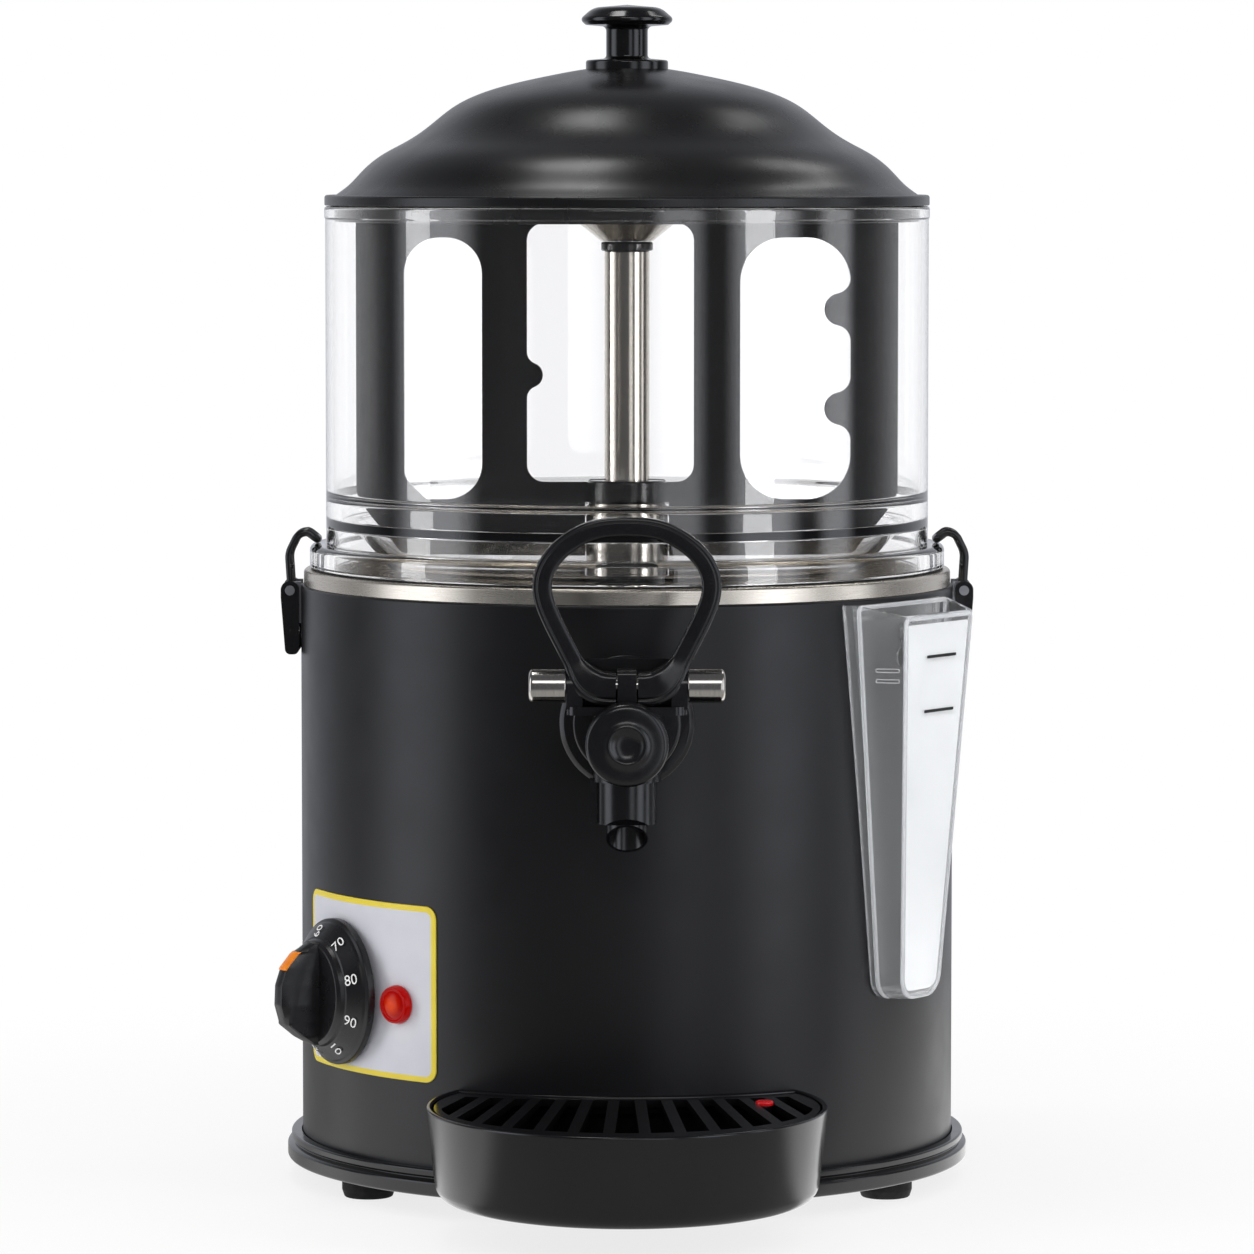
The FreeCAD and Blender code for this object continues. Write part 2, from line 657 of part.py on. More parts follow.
def drive_column():
    """Steel tube that carries the stirrer's shaft, clamped on the bath's floor by its nut."""
    low = BRACKET_Z + COLUMN_ROOT
    foot_top = BATH_FLOOR_Z + 3
    nut_top = BATH_FLOOR_Z - BATH_SHEET_T
    nut = hexagon(COLUMN_R + 7, nut_top - NUT_H, nut_top).cut(cylinder(COLUMN_R, low, nut_top))
    column = turned([
        (COLUMN_BORE_R, low), (COLUMN_R, low), (COLUMN_R, BATH_FLOOR_Z),
        (COLUMN_FOOT_R, BATH_FLOOR_Z), (COLUMN_FOOT_R, foot_top, 0.8), (COLUMN_R, foot_top),
        (COLUMN_R, COLUMN_TOP_Z), (COLUMN_BORE_R, COLUMN_TOP_Z)])
    return fuse(column, nut)


def column_hub():
    return turned([(COLUMN_R, FLOOR_Z), (HUB_R, FLOOR_Z), (HUB_R, HUB_TOP_Z - 3.4, 0.8),
                   (HUB_R - 0.8, HUB_TOP_Z - 3.0), (HUB_R - 0.8, HUB_TOP_Z, 0.5),
                   (COLUMN_R, HUB_TOP_Z)])


def column_bushes():
    """Flanged bush at the column's top and a plain one at its foot."""
    low = BRACKET_Z + COLUMN_ROOT
    upper = turned([
        (SHAFT_R + RUN_GAP, COLUMN_TOP_Z - BUSH_L), (COLUMN_BORE_R, COLUMN_TOP_Z - BUSH_L),
        (COLUMN_BORE_R, COLUMN_TOP_Z), (BUSH_FLANGE_R, COLUMN_TOP_Z, 0.6),
        (BUSH_FLANGE_R, BUSH_TOP_Z, 1.0), (SHAFT_R + RUN_GAP, BUSH_TOP_Z)])
    return Part.makeCompound([upper, tube(COLUMN_BORE_R, SHAFT_R + RUN_GAP, low, low + BUSH_L)])


def outlet_elbow():
    top = FLOOR_UNDER_Z - MOVE_GAP
    spigot_end = FLOOR_UNDER_Z - SPIGOT_L
    bend = Part.makeSphere(ELBOW_R, Vector(0, -SPIGOT_FROM_AXIS, TAP_Z))
    drop = cylinder(ELBOW_R, TAP_Z, top, 0, -SPIGOT_FROM_AXIS)
    end_out = TAP_TAIL_IN + 9
    run = cylinder_y(ELBOW_R, 0, TAP_Z, end_out, SPIGOT_FROM_AXIS)
    bores = [
        Part.makeSphere(TAIL_BORE_R, Vector(0, -SPIGOT_FROM_AXIS, TAP_Z)),
        cylinder(TAIL_BORE_R, TAP_Z, top, 0, -SPIGOT_FROM_AXIS),
        cylinder(SPIGOT_R, spigot_end, top, 0, -SPIGOT_FROM_AXIS),
        cylinder_y(TAIL_BORE_R, 0, TAP_Z, end_out, SPIGOT_FROM_AXIS),
        cylinder_y(TAIL_R, 0, TAP_Z, end_out, TAP_TAIL_IN)]
    return fuse(bend, drop, run).cut(bores)


# ---------------------------------------------------------------- bowl
def bowl_gasket():
    return tube(FLANGE_R - 0.6, BATH_WALL_R - BATH_SHEET_T + 1.5, BAND_TOP_Z, SEAT_Z)


def bowl():
    """Clear tube of the bowl, with its thicker brim and the bead at its foot."""
    inner = BOWL_R - BOWL_WALL
    bead_r = inner - BEAD_W
    return turned([
        (bead_r, SLOPE_Z, 0.6), (bead_r, SLOPE_Z + BEAD_H, 2.4), (inner, SLOPE_Z + BEAD_H + 2.2, 1.5),
        (inner, BRIM_Z, 1.2), (BOWL_R + BRIM_PROUD, BRIM_Z, 1.2),
        (BOWL_R + BRIM_PROUD, BRIM_Z - BRIM_H, 0.3), (BOWL_R, BRIM_Z - BRIM_H - 0.6),
        (BOWL_R, FLANGE_Z), (inner, FLANGE_Z), (inner, SLOPE_Z)])


def bowl_flange():
    """Seat of the bowl on the bath's band: a stout flange with a rounded edge."""
    inner = BOWL_R - BOWL_WALL
    return turned([(inner, SEAT_Z), (FLANGE_R, SEAT_Z, 1.0), (FLANGE_R, FLANGE_Z, FLANGE_ROUND),
                   (inner, FLANGE_Z)])


def bowl_slope():
    """Sloped ring between the floor and the tube."""
    inner = BOWL_R - BOWL_WALL
    return turned([
        (FLOOR_DISC_R, FLOOR_Z), (FLOOR_R, FLOOR_Z, 5.0), (SLOPE_R, SLOPE_Z, 2.0), (inner, SLOPE_Z),
        (inner, SLOPE_Z - BOWL_WALL), (SLOPE_R + 1.4, SLOPE_Z - BOWL_WALL, 2.0),
        (FLOOR_R + 1.4, FLOOR_UNDER_Z, 5.0), (FLOOR_DISC_R, FLOOR_UNDER_Z)])


def bowl_floor():
    """Level floor round the column, with the outlet's spigot under it."""
    disc = tube(FLOOR_DISC_R, COLUMN_R, FLOOR_UNDER_Z, FLOOR_Z)
    end = FLOOR_UNDER_Z - SPIGOT_L
    spigot = cylinder(SPIGOT_R, end, FLOOR_Z, 0, -SPIGOT_FROM_AXIS)
    outlet = cylinder(SPIGOT_BORE_R, end, FLOOR_Z, 0, -SPIGOT_FROM_AXIS)
    return fuse(disc, spigot).cut(outlet)


# ---------------------------------------------------------------- stirrer
def drive_shaft():
    low = BRACKET_Z - GEARBOX_H * 0.4
    neck = SHAFT_R - 1
    return turned([(0, low), (SHAFT_R, low), (SHAFT_R, CONE_TOP_Z),
                   (neck, CONE_TOP_Z), (neck, CONE_TOP_Z + CAP_NUT_H * 0.7),
                   (0, CONE_TOP_Z + CAP_NUT_H * 0.7)])


def cone_corners():
    return [(CONE_BASE_R, CONE_Z, 0.6), (CONE_TOP_R, CONE_Z + CONE_H), (CONE_TOP_R, CONE_TOP_Z, 0.8)]


def cone_cap():
    return turned([(SHAFT_R, CONE_Z)] + cone_corners() + [(SHAFT_R, CONE_TOP_Z)])


def cap_nut():
    neck = SHAFT_R - 1
    low = CONE_TOP_Z
    top = low + CAP_NUT_H
    return turned([(neck, low), (CAP_NUT_R, low), (CAP_NUT_R, top - 0.4, 2.2), (0, top),
                   (0, low + CAP_NUT_H * 0.7), (neck, low + CAP_NUT_H * 0.7)])


def window(left, right, low, high, rounding, lower_left=None):
    """A rounded opening through the paddle; one lower corner may be cut off square instead."""
    if lower_left is None:
        corner = [(left, low, rounding)]
    else:
        corner = [(left + lower_left, low, 3.0), (left, low + lower_left, 6.0)]
    rest = [(left, high, rounding), (right, high, rounding), (right, low, rounding)]
    return panel_xz(corner + rest, -PADDLE_T, PADDLE_T)


def paddle_tab(edge, inward, height):
    """A round tab that stands into a window from its edge."""
    centre = edge + inward * (TAB_PROUD - TAB_R)
    return Part.makeCylinder(TAB_R, PADDLE_T, Vector(centre, -PADDLE_T / 2, height), Vector(0, 1, 0))


def paddle():
    foot_z = FLOOR_Z + PADDLE_FLOOR_GAP
    shoulder = foot_z + PADDLE_SHOULDER_H
    half = PADDLE_T / 2
    plate = panel_xz(mirrored_x([
        (PADDLE_HALF_W, PADDLE_TOP_Z, 4.0), (PADDLE_HALF_W, shoulder, 14.0),
        (PADDLE_FOOT_HALF_W, foot_z, 3.0)]), -half, half)
    sill = COLLAR_Z + COLLAR_H - 0.8
    side_top = PADDLE_TOP_Z - PADDLE_SIDE_TOP_BAR
    side_sill = COLLAR_Z + 1.2
    span = side_top - side_sill
    left_x = -WINDOW_SIDE_X
    openings = [
        window(left_x - WINDOW_SIDE_W / 2, left_x + WINDOW_SIDE_W / 2, side_sill, side_top,
               WINDOW_SIDE_W * 0.46, lower_left=9.0),
        window(-WINDOW_CENTRE_LEFT, WINDOW_CENTRE_RIGHT, sill, PADDLE_TOP_Z - PADDLE_TOP_BAR, 7.0),
        window(WINDOW_RIGHT_X - WINDOW_RIGHT_W / 2, WINDOW_RIGHT_X + WINDOW_RIGHT_W / 2,
               side_sill, side_top, WINDOW_RIGHT_W * 0.4)]
    plate = plate.cut(openings)
    right_edge = WINDOW_RIGHT_X + WINDOW_RIGHT_W / 2
    collar = turned([(0, COLLAR_Z), (COLLAR_R, COLLAR_Z, 0.6), (COLLAR_R, COLLAR_Z + COLLAR_H, 1.2),
                     (0, COLLAR_Z + COLLAR_H)])
    tabs = [paddle_tab(-WINDOW_CENTRE_LEFT, 1, side_sill + span * 0.47),
            paddle_tab(right_edge, -1, side_sill + span * 0.72),
            paddle_tab(right_edge, -1, side_sill + span * 0.35)]
    plate = fuse(plate, collar, *tabs)
    return plate.cut([
        turned([(0, CONE_Z)] + cone_corners() + [(0, CONE_TOP_Z)]),
        cylinder(COLUMN_R + COLLAR_GAP, COLLAR_Z, COLLAR_Z + COLLAR_H),
        cylinder(HUB_R + MOVE_GAP, FLOOR_Z, COLLAR_Z)])


# ---------------------------------------------------------------- lid
def dome_points():
    """Points of the two-tier dome, from the lip up to the crown."""
    waist_z = LIP_TOP_Z + LID_LOWER_RISE
    lower = LID_FOOT_R - LID_WAIST_R
    upper = CROWN_Z - waist_z
    return [
        (LID_FOOT_R, LIP_TOP_Z), (LID_FOOT_R - lower * 0.14, LIP_TOP_Z + LID_LOWER_RISE * 0.15),
        (LID_FOOT_R - lower * 0.33, LIP_TOP_Z + LID_LOWER_RISE * 0.43),
        (LID_FOOT_R - lower * 0.56, LIP_TOP_Z + LID_LOWER_RISE * 0.69),
        (LID_FOOT_R - lower * 0.84, LIP_TOP_Z + LID_LOWER_RISE * 0.91),
        (LID_WAIST_R - 2.5, waist_z + upper * 0.11),
        (LID_WAIST_R * 0.835, waist_z + upper * 0.42),
        (LID_WAIST_R * 0.72, waist_z + upper * 0.59),
        (LID_WAIST_R * 0.57, waist_z + upper * 0.73),
        (LID_WAIST_R * 0.39, waist_z + upper * 0.85),
        (0, CROWN_Z)]


def inside_of(points, wall):
    """The same curve moved down its normals by the wall, ending on the axis."""
    moved = []
    for index, (r, z) in enumerate(points[:-1]):
        before = points[max(index - 1, 0)]
        after = points[index + 1]
        run, rise = after[0] - before[0], after[1] - before[1]
        length = math.hypot(run, rise)
        moved.append((r - wall * rise / length, z + wall * run / length))
    return moved + [(0, points[-1][1] - wall)]


def dome(points):
    """The solid under a smooth dome, level at the crown, down to its first point."""
    curve = Part.BSplineCurve()
    run = Vector(points[1][0] - points[0][0], 0, points[1][1] - points[0][1])
    curve.interpolate(Points=[in_xz(r, z) for r, z in points], InitialTangent=run,
                      FinalTangent=Vector(-1, 0, 0))
    foot = in_xz(*points[0])
    crown = in_xz(*points[-1])
    base = in_xz(0, points[0][1])
    outline = Part.Wire([curve.toShape(), Part.makeLine(crown, base), Part.makeLine(base, foot)])
    return Part.Face(outline).revolve(CENTRE, UP, 360)


def lid_shell():
    """The hollow dome with its lip, as one form."""
    outer = dome_points()
    inner = inside_of(outer, LID_WALL)
    lip = turned([(0, LIP_Z), (LID_LIP_R, LIP_Z, 0.6), (LID_LIP_R, LIP_TOP_Z, 1.2), (0, LIP_TOP_Z)])
    inside = cylinder(LID_SKIRT_IN_R, LIP_Z - 1, inner[0][1])
    return fuse(dome(outer), lip).cut([inside, dome(inner)])


def lid():
    """Lip and lower tier of the lid, out to the waist."""
    return lid_shell().cut(cylinder(LID_WAIST_R, LIP_Z - 1, CROWN_Z + 1))


def lid_crown():
    """Upper tier of the lid, inside the waist."""
    crown = lid_shell().common(cylinder(LID_WAIST_R, LIP_Z - 1, CROWN_Z + 1))
    return crown.cut(cylinder(KNOB_SCREW_R, BRIM_Z, CROWN_Z))


def lid_skirt():
    """Ring under the lip that centres the lid in the bowl."""
    low = LIP_Z - LID_SKIRT_H
    return turned([(LID_SKIRT_IN_R, low), (LID_SKIRT_IN_R + LID_SKIRT_T, low, 0.6),
                   (LID_SKIRT_IN_R + LID_SKIRT_T, LIP_Z), (LID_SKIRT_IN_R, LIP_Z)])


def lid_knob():
    low = CROWN_Z - KNOB_SINK
    top = CROWN_Z + KNOB_H
    cap_z = top - KNOB_CAP_T
    knob = turned([
        (0, low), (KNOB_FOOT_R, low), (KNOB_FOOT_R, CROWN_Z + KNOB_FOOT_T, 1.0),
        (KNOB_STEM_R, CROWN_Z + KNOB_FOOT_T + 0.8, 1.5), (KNOB_STEM_R, cap_z + 1.5, 2.0),
        (KNOB_R - 2.5, cap_z + 2.2, 1.0), (KNOB_R, cap_z + KNOB_CAP_T * 0.42, 1.6),
        (KNOB_R * 0.72, top - 1.2, 8.0), (0, top)])
    return knob.cut([dome(dome_points()), cylinder(KNOB_SCREW_R, low, CROWN_Z + KNOB_SCREW_L)])


def knob_screw():
    """Screw up through the crown into the knob, with a washer face under the lid."""
    inside = CROWN_Z - LID_WALL - SEAT_GAP
    head_r = KNOB_SCREW_R * 2
    head_z = inside - KNOB_SCREW_R
    end = CROWN_Z + KNOB_SCREW_L
    return turned([(0, head_z), (head_r, head_z, 0.8), (head_r, inside),
                   (KNOB_SCREW_R, inside), (KNOB_SCREW_R, end), (0, end)])


# ---------------------------------------------------------------- tap, built sideways, up and out
def tap_escutcheon():
    """Wall flange with its smaller step, seated on the housing's curve."""
    disc = turned([
        (TAIL_R, HOUSING_R - 4), (ESCUTCHEON_R, HOUSING_R - 4),
        (ESCUTCHEON_R, ESCUTCHEON_OUT - 1.4, 1.0), (ESCUTCHEON_R - 2.0, ESCUTCHEON_OUT, 0.5),
        (TAP_COLLAR_R, ESCUTCHEON_OUT), (TAP_COLLAR_R, TAP_COLLAR_OUT, 1.4),
        (TAIL_R, TAP_COLLAR_OUT)])
    disc.translate(Vector(0, ESCUTCHEON_ABOVE, 0))
    below = cylinder(TAIL_R + 4, HOUSING_R - 4, TAP_COLLAR_OUT)
    disc = fuse(disc, below).cut(cylinder(TAIL_R, 0, FAR))
    return at_azimuth(disc, 0, TAP_Z).cut(cylinder(HOUSING_R, 0, TOP_Z))


def tap_nut():
    curve = BATH_WALL_R - BATH_SHEET_T
    far = math.sqrt(curve ** 2 - TAP_NUT_R ** 2) - SEAT_GAP
    nut = hexagon(TAP_NUT_R, far - TAP_NUT_T, far).cut(cylinder(TAIL_R, 0, FAR))
    return at_azimuth(nut, 0, TAP_Z)


def tap_gasket():
    """Rubber ring that fills the space between the nut's flat face and the bath's curved wall."""
    curve = BATH_WALL_R - BATH_SHEET_T
    near = math.sqrt(curve ** 2 - TAP_NUT_R ** 2) - SEAT_GAP
    ring = at_azimuth(tube(TAP_NUT_R - 1, TAIL_R, near, curve + 1), 0, TAP_Z)
    return ring.common(cylinder(curve, 0, TOP_Z))


def upright(radius, low, high, out=TAP_OUT):
    """A vertical round bar of the tap, between two absolute heights."""
    return cylinder(radius, low, high, 0, -out)


def tap_body():
    tail = outward(TAIL_R, TAP_TAIL_IN, TAP_COLLAR_OUT, 0, TAP_Z)
    barrel = outward(BARREL_R, TAP_COLLAR_OUT, TAP_OUT, 0, TAP_Z)
    boss = outward(BOSS_R, TAP_OUT, BOSS_OUT, 0, TAP_Z)
    spout_top = TAP_Z - SPOUT_TOP_BELOW
    spout_low = TAP_Z - SPOUT_BOTTOM_BELOW
    nozzle_low = TAP_Z - NOZZLE_BOTTOM_BELOW
    column = upright(CYLINDER_R, spout_top - 1, CYLINDER_TOP_Z)
    spout = upright(SPOUT_R, spout_low, spout_top)
    nozzle = upright(NOZZLE_R, nozzle_low, spout_low)
    fin_x = SPOUT_R + FIN_PROUD
    fin = box((-fin_x, -TAP_OUT - FIN_T / 2, spout_low), (0, -TAP_OUT + FIN_T / 2, spout_top))
    body = fuse(tail, barrel, boss, column, spout, nozzle, fin)
    bonnet_seat = box((-FAR, -FAR, CYLINDER_TOP_Z), (FAR, -TAP_OUT + YOKE_BACK, FAR))
    mouth = Part.makeBox(4 * SPOUT_R, 4 * SPOUT_R, 4 * SPOUT_R,
                         Vector(-2 * SPOUT_R, -4 * SPOUT_R, -4 * SPOUT_R))
    mouth.rotate(CENTRE, Vector(1, 0, 0), 36)
    mouth.translate(Vector(0, -TAP_OUT + NOZZLE_R, nozzle_low))
    lip = upright(SPOUT_R + 1, nozzle_low - 1, spout_low).common(mouth)
    return body.cut([
        lip,
        bonnet_seat,
        outward(TAIL_BORE_R, TAP_TAIL_IN, TAP_OUT, 0, TAP_Z),
        upright(CHAMBER_R, VALVE_SEAT_Z, CYLINDER_TOP_Z),
        upright(NOZZLE_BORE_R, nozzle_low - 1, VALVE_SEAT_Z)])


def tap_cap():
    """Screw cap on the front boss, with a raised ring round a thumb dimple."""
    front = CAP_FRONT_OUT
    ring_r = CAP_R * 0.55
    dimple_r = CAP_R * 0.36
    cap = turned([
        (BOSS_R, CAP_BACK_OUT), (CAP_R, CAP_BACK_OUT, 0.5), (CAP_R, front - 1.6, 1.6),
        (CAP_R * 0.8, front - 0.4, 4.0), (ring_r + 1.6, front - 1.2, 1.6), (ring_r, front, 1.2),
        (dimple_r + 1.4, front, 0.6), (dimple_r, front - 2.0, 1.4), (0, front - 2.4),
        (0, BOSS_OUT), (BOSS_R, BOSS_OUT)])
    return at_azimuth(cap, 0, TAP_Z)


def tap_yoke():
    """Bonnet on the cylinder, with two ears for the cross rod and a stop wall behind the lever."""
    back_out = TAP_OUT - YOKE_BACK
    front_out = TAP_OUT + YOKE_FRONT
    plate = slab([(-YOKE_HALF_W, -front_out, 5), (YOKE_HALF_W, -front_out, 5),
                  (YOKE_HALF_W, -back_out, 1), (-YOKE_HALF_W, -back_out, 1)],
                 CYLINDER_TOP_Z, YOKE_TOP_Z)
    plug = upright(CHAMBER_R, CYLINDER_TOP_Z - 3.4, CYLINDER_TOP_Z)
    up = ROD_Z
    ear_face = [(ROD_OUT + EAR_R, YOKE_TOP_Z - 1), (ROD_OUT + EAR_R, up + EAR_R, EAR_R * 0.98),
                (ROD_OUT - EAR_R, up + EAR_R, EAR_R * 0.98), (back_out, YOKE_TOP_Z + 5, 2.0),
                (back_out, YOKE_TOP_Z - 1)]
    ears = []
    for left in (-YOKE_HALF_W, YOKE_HALF_W - EAR_T):
        ears.append(at_azimuth(side_plate(ear_face, left, left + EAR_T), 0))
    wall_half = YOKE_HALF_W - EAR_T - 0.7
    wall = panel_xz(mirrored_x([(YOKE_HALF_W, YOKE_TOP_Z - 1), (YOKE_HALF_W, YOKE_TOP_Z + 5),
                                (wall_half, YOKE_TOP_Z + YOKE_BACK_H, 1.5)]),
                    -back_out - YOKE_BACK_T, -back_out)
    yoke = fuse(plate, plug, wall, *ears)
    return yoke.cut([upright(STEM_R + RUN_GAP, TAP_Z, ROD_Z), along_rod(ROD_PIN_R, FAR, ROD_OUT)])


def cross_rod():
    """Steel pin across the yoke with a stout sleeve at each end, turned in one piece."""
    start = YOKE_HALF_W + 0.2
    half = [(ROD_PIN_R, 0), (ROD_PIN_R, start), (ROD_END_R, start, 0.5),
            (ROD_END_R, ROD_HALF_L, 1.8), (0, ROD_HALF_L), (0, 0)]
    right = turned(half)
    left = right.mirror(CENTRE, UP)
    rod = fuse(right, left)
    rod.rotate(CENTRE, Vector(0, 1, 0), 90)
    rod.translate(Vector(0, -ROD_OUT, ROD_Z))
    return rod


def along_rod(radius, half_length, out):
    """A round bar parallel to the cross rod, level with it."""
    return at_azimuth(sideways(radius, -half_length, half_length, out, ROD_Z), 0)


def arch_side(half_width, rise, centre_z, leg_angle, foot_z):
    """Where a leg leaves the ring's half ellipse, and its foot at a height."""
    slope = math.tan(math.radians(leg_angle))
    turn = math.atan(slope * rise / half_width)
    start = (half_width * math.cos(turn), centre_z - rise * math.sin(turn))
    foot_x = start[0] - slope * (start[1] - foot_z)
    return turn, start, (foot_x, foot_z)


def ring_face(half_width, rise, centre_z, leg_angle, foot_z):
    """A ring outline: an elliptical arch on two straight legs, closed across their feet."""
    turn, start, foot = arch_side(half_width, rise, centre_z, leg_angle, foot_z)
    ellipse = Part.Ellipse(Vector(0, 0, centre_z), half_width, rise)
    ellipse.rotate(FreeCAD.Placement(Vector(0, 0, centre_z), FreeCAD.Rotation(Vector(1, 0, 0), 90),
                                     CENTRE))
    ellipse.Center = Vector(0, 0, centre_z)
    arch = Part.ArcOfEllipse(ellipse, -turn, math.pi + turn).toShape()
    ends = [arch.Vertexes[0].Point, arch.Vertexes[-1].Point]
    feet = [Vector(math.copysign(foot[0], end.x), 0, foot[1]) for end in ends]
    edges = [arch, Part.makeLine(ends[1], feet[1]), Part.makeLine(feet[1], feet[0]),
             Part.makeLine(feet[0], ends[0])]
    return Part.Face(Part.Wire(edges))


def tap_lever():
    """Ring handle with a forked hub on the cross rod and a cam pin that lifts the plunger."""
    centre_z = ROD_Z + LOOP_ABOVE_ROD
    sill_z = ROD_Z + LEVER_SILL
    foot_z = sill_z - 0.8
    outer = ring_face(LOOP_HALF_W, LOOP_RISE, centre_z, LOOP_LEG_ANGLE, foot_z)
    inner = ring_face(LOOP_HALF_W - LOOP_BAR, LOOP_RISE - LOOP_BAR, centre_z, LOOP_INNER_LEG_ANGLE, sill_z)
    front = -ROD_OUT - LOOP_T / 2
    ring = outer.cut(inner)
    ring.translate(Vector(0, front, 0))
    ring = ring.extrude(Vector(0, LOOP_T, 0))
    web = panel_xz(mirrored_x([(YOKE_HALF_W, sill_z), (YOKE_HALF_W, foot_z, 0.8),
                               (LEVER_HUB_HALF_W * 0.72, ROD_Z - LEVER_HUB_R * 0.95, 4.0)]),
                   front, front + LOOP_T)
    cam_half = LEVER_HUB_HALF_W * 0.6
    cam_out = ROD_OUT - ROD_FORWARD
    hub = along_rod(LEVER_HUB_R, LEVER_HUB_HALF_W, ROD_OUT)
    cam = along_rod(CAM_R, cam_half, cam_out)
    heel = box((-cam_half, -ROD_OUT, ROD_Z - CAM_R), (cam_half, -cam_out, ROD_Z + CAM_R))
    lever = fuse(ring, web, hub, cam, heel)
    slot = TONGUE_HALF_W + TONGUE_SIDE_GAP
    ear_in = YOKE_HALF_W - EAR_T - 2 * SEAT_GAP
    ear_out = YOKE_HALF_W + 2 * SEAT_GAP
    room = []
    for side in (-1, 1):
        near, far = sorted((side * ear_in, side * ear_out))
        room.append(box((near, -FAR, 0), (far, 0, ROD_Z + EAR_R + SEAT_GAP)))
        near, far = sorted((side * YOKE_HALF_W, side * FAR))
        room.append(at_azimuth(sideways(ROD_END_R + MOVE_GAP, near, far, ROD_OUT, ROD_Z), 0))
    lever = lever.cut(room + [
        box((-slot, -FAR, 0), (slot, 0, sill_z + MOVE_GAP)),
        along_rod(ROD_PIN_R + RUN_GAP, FAR, ROD_OUT)])
    return fuse(lever, along_rod(CAM_PIN_R, slot + 1, cam_out))


def tap_plunger():
    """Valve head and stem under a slotted tongue that straddles the cross rod."""
    top = ROD_Z + TONGUE_ABOVE_ROD
    low = YOKE_TOP_Z + 0.4
    front_out = ROD_OUT + ROD_PIN_R + 3.2
    back_out = TAP_OUT - STEM_R - 0.2
    tongue = at_azimuth(side_plate([(front_out, low, 0.6), (front_out, top, 2.0),
                                    (back_out, top, 2.0), (back_out, low)],
                                   -TONGUE_HALF_W, TONGUE_HALF_W), 0)
    room = ROD_PIN_R + SEAT_GAP
    rod_slot = at_azimuth(side_plate([(ROD_OUT + room, low - 1), (ROD_OUT + room, ROD_Z + room, room * 0.96),
                                      (ROD_OUT - room, ROD_Z + room, room * 0.96),
                                      (ROD_OUT - room, low - 1)], -TONGUE_HALF_W, TONGUE_HALF_W), 0)
    pin_room = CAM_PIN_R + 0.25
    cam_out = ROD_OUT - ROD_FORWARD
    travel = ROD_FORWARD * (1 - math.cos(math.radians(38)))
    cam_slot = at_azimuth(side_plate([(cam_out - pin_room, ROD_Z - pin_room, pin_room * 0.96),
                                      (cam_out - pin_room, ROD_Z + pin_room, pin_room * 0.96),
                                      (cam_out + travel + pin_room, ROD_Z + pin_room, pin_room * 0.96),
                                      (cam_out + travel + pin_room, ROD_Z - pin_room, pin_room * 0.96)],
                                     -TONGUE_HALF_W, TONGUE_HALF_W), 0)
    tongue = tongue.cut([rod_slot, cam_slot])
    head_z = VALVE_SEAT_Z + SEAT_GAP + SEAL_T
    stem = upright(STEM_R, head_z + 1, low + 1)
    head = turned([(0, head_z), (VALVE_R, head_z), (VALVE_R, head_z + VALVE_T, 1.0), (0, head_z + VALVE_T)])
    head.translate(Vector(0, -TAP_OUT, 0))
    return fuse(tongue, stem, head)


def valve_seal():
    low = VALVE_SEAT_Z + SEAT_GAP
    seal = turned([(0, low), (SEAL_R, low, 1.0), (SEAL_R, low + SEAL_T), (0, low + SEAL_T)])
    seal.translate(Vector(0, -TAP_OUT, 0))
    return seal


def tap_spring():
    """Compression spring between the valve head and the bonnet's plug."""
    low = VALVE_SEAT_Z + SEAT_GAP + SEAL_T + VALVE_T
    high = CYLINDER_TOP_Z - 3.4
    length = high - low - 2 * SPRING_WIRE_R
    helix = Part.makeHelix(length / SPRING_TURNS, length, SPRING_R)
    section = Part.Wire(Part.makeCircle(SPRING_WIRE_R, Vector(SPRING_R, 0, 0), Vector(0, 1, 0)))
    spring = Part.Wire(helix).makePipeShell([section], True, True)
    spring.translate(Vector(0, -TAP_OUT, low + SPRING_WIRE_R))
    return spring


# ---------------------------------------------------------------- control panel
def thermostat():
    """Bulb thermostat behind the panel, with the bore that takes the dial's spindle."""
    outer = HOUSING_R - SHEET_T
    case = at_azimuth(cylinder(THERMOSTAT_R, outer - THERMOSTAT_L, outer + 1), DIAL_AZ, DIAL_Z)
    case = case.common(cylinder(outer, 0, TOP_Z))
    return case.cut(outward(SPINDLE_R + RUN_GAP, outer - THERMOSTAT_L * 0.6, FAR, DIAL_AZ, DIAL_Z))


def dial_spindle():
    near = HOUSING_R - SHEET_T - THERMOSTAT_L * 0.55
    return outward(SPINDLE_R, near, PANEL_FACE_R + DIAL_GAP + DIAL_SKIRT_T, DIAL_AZ, DIAL_Z)


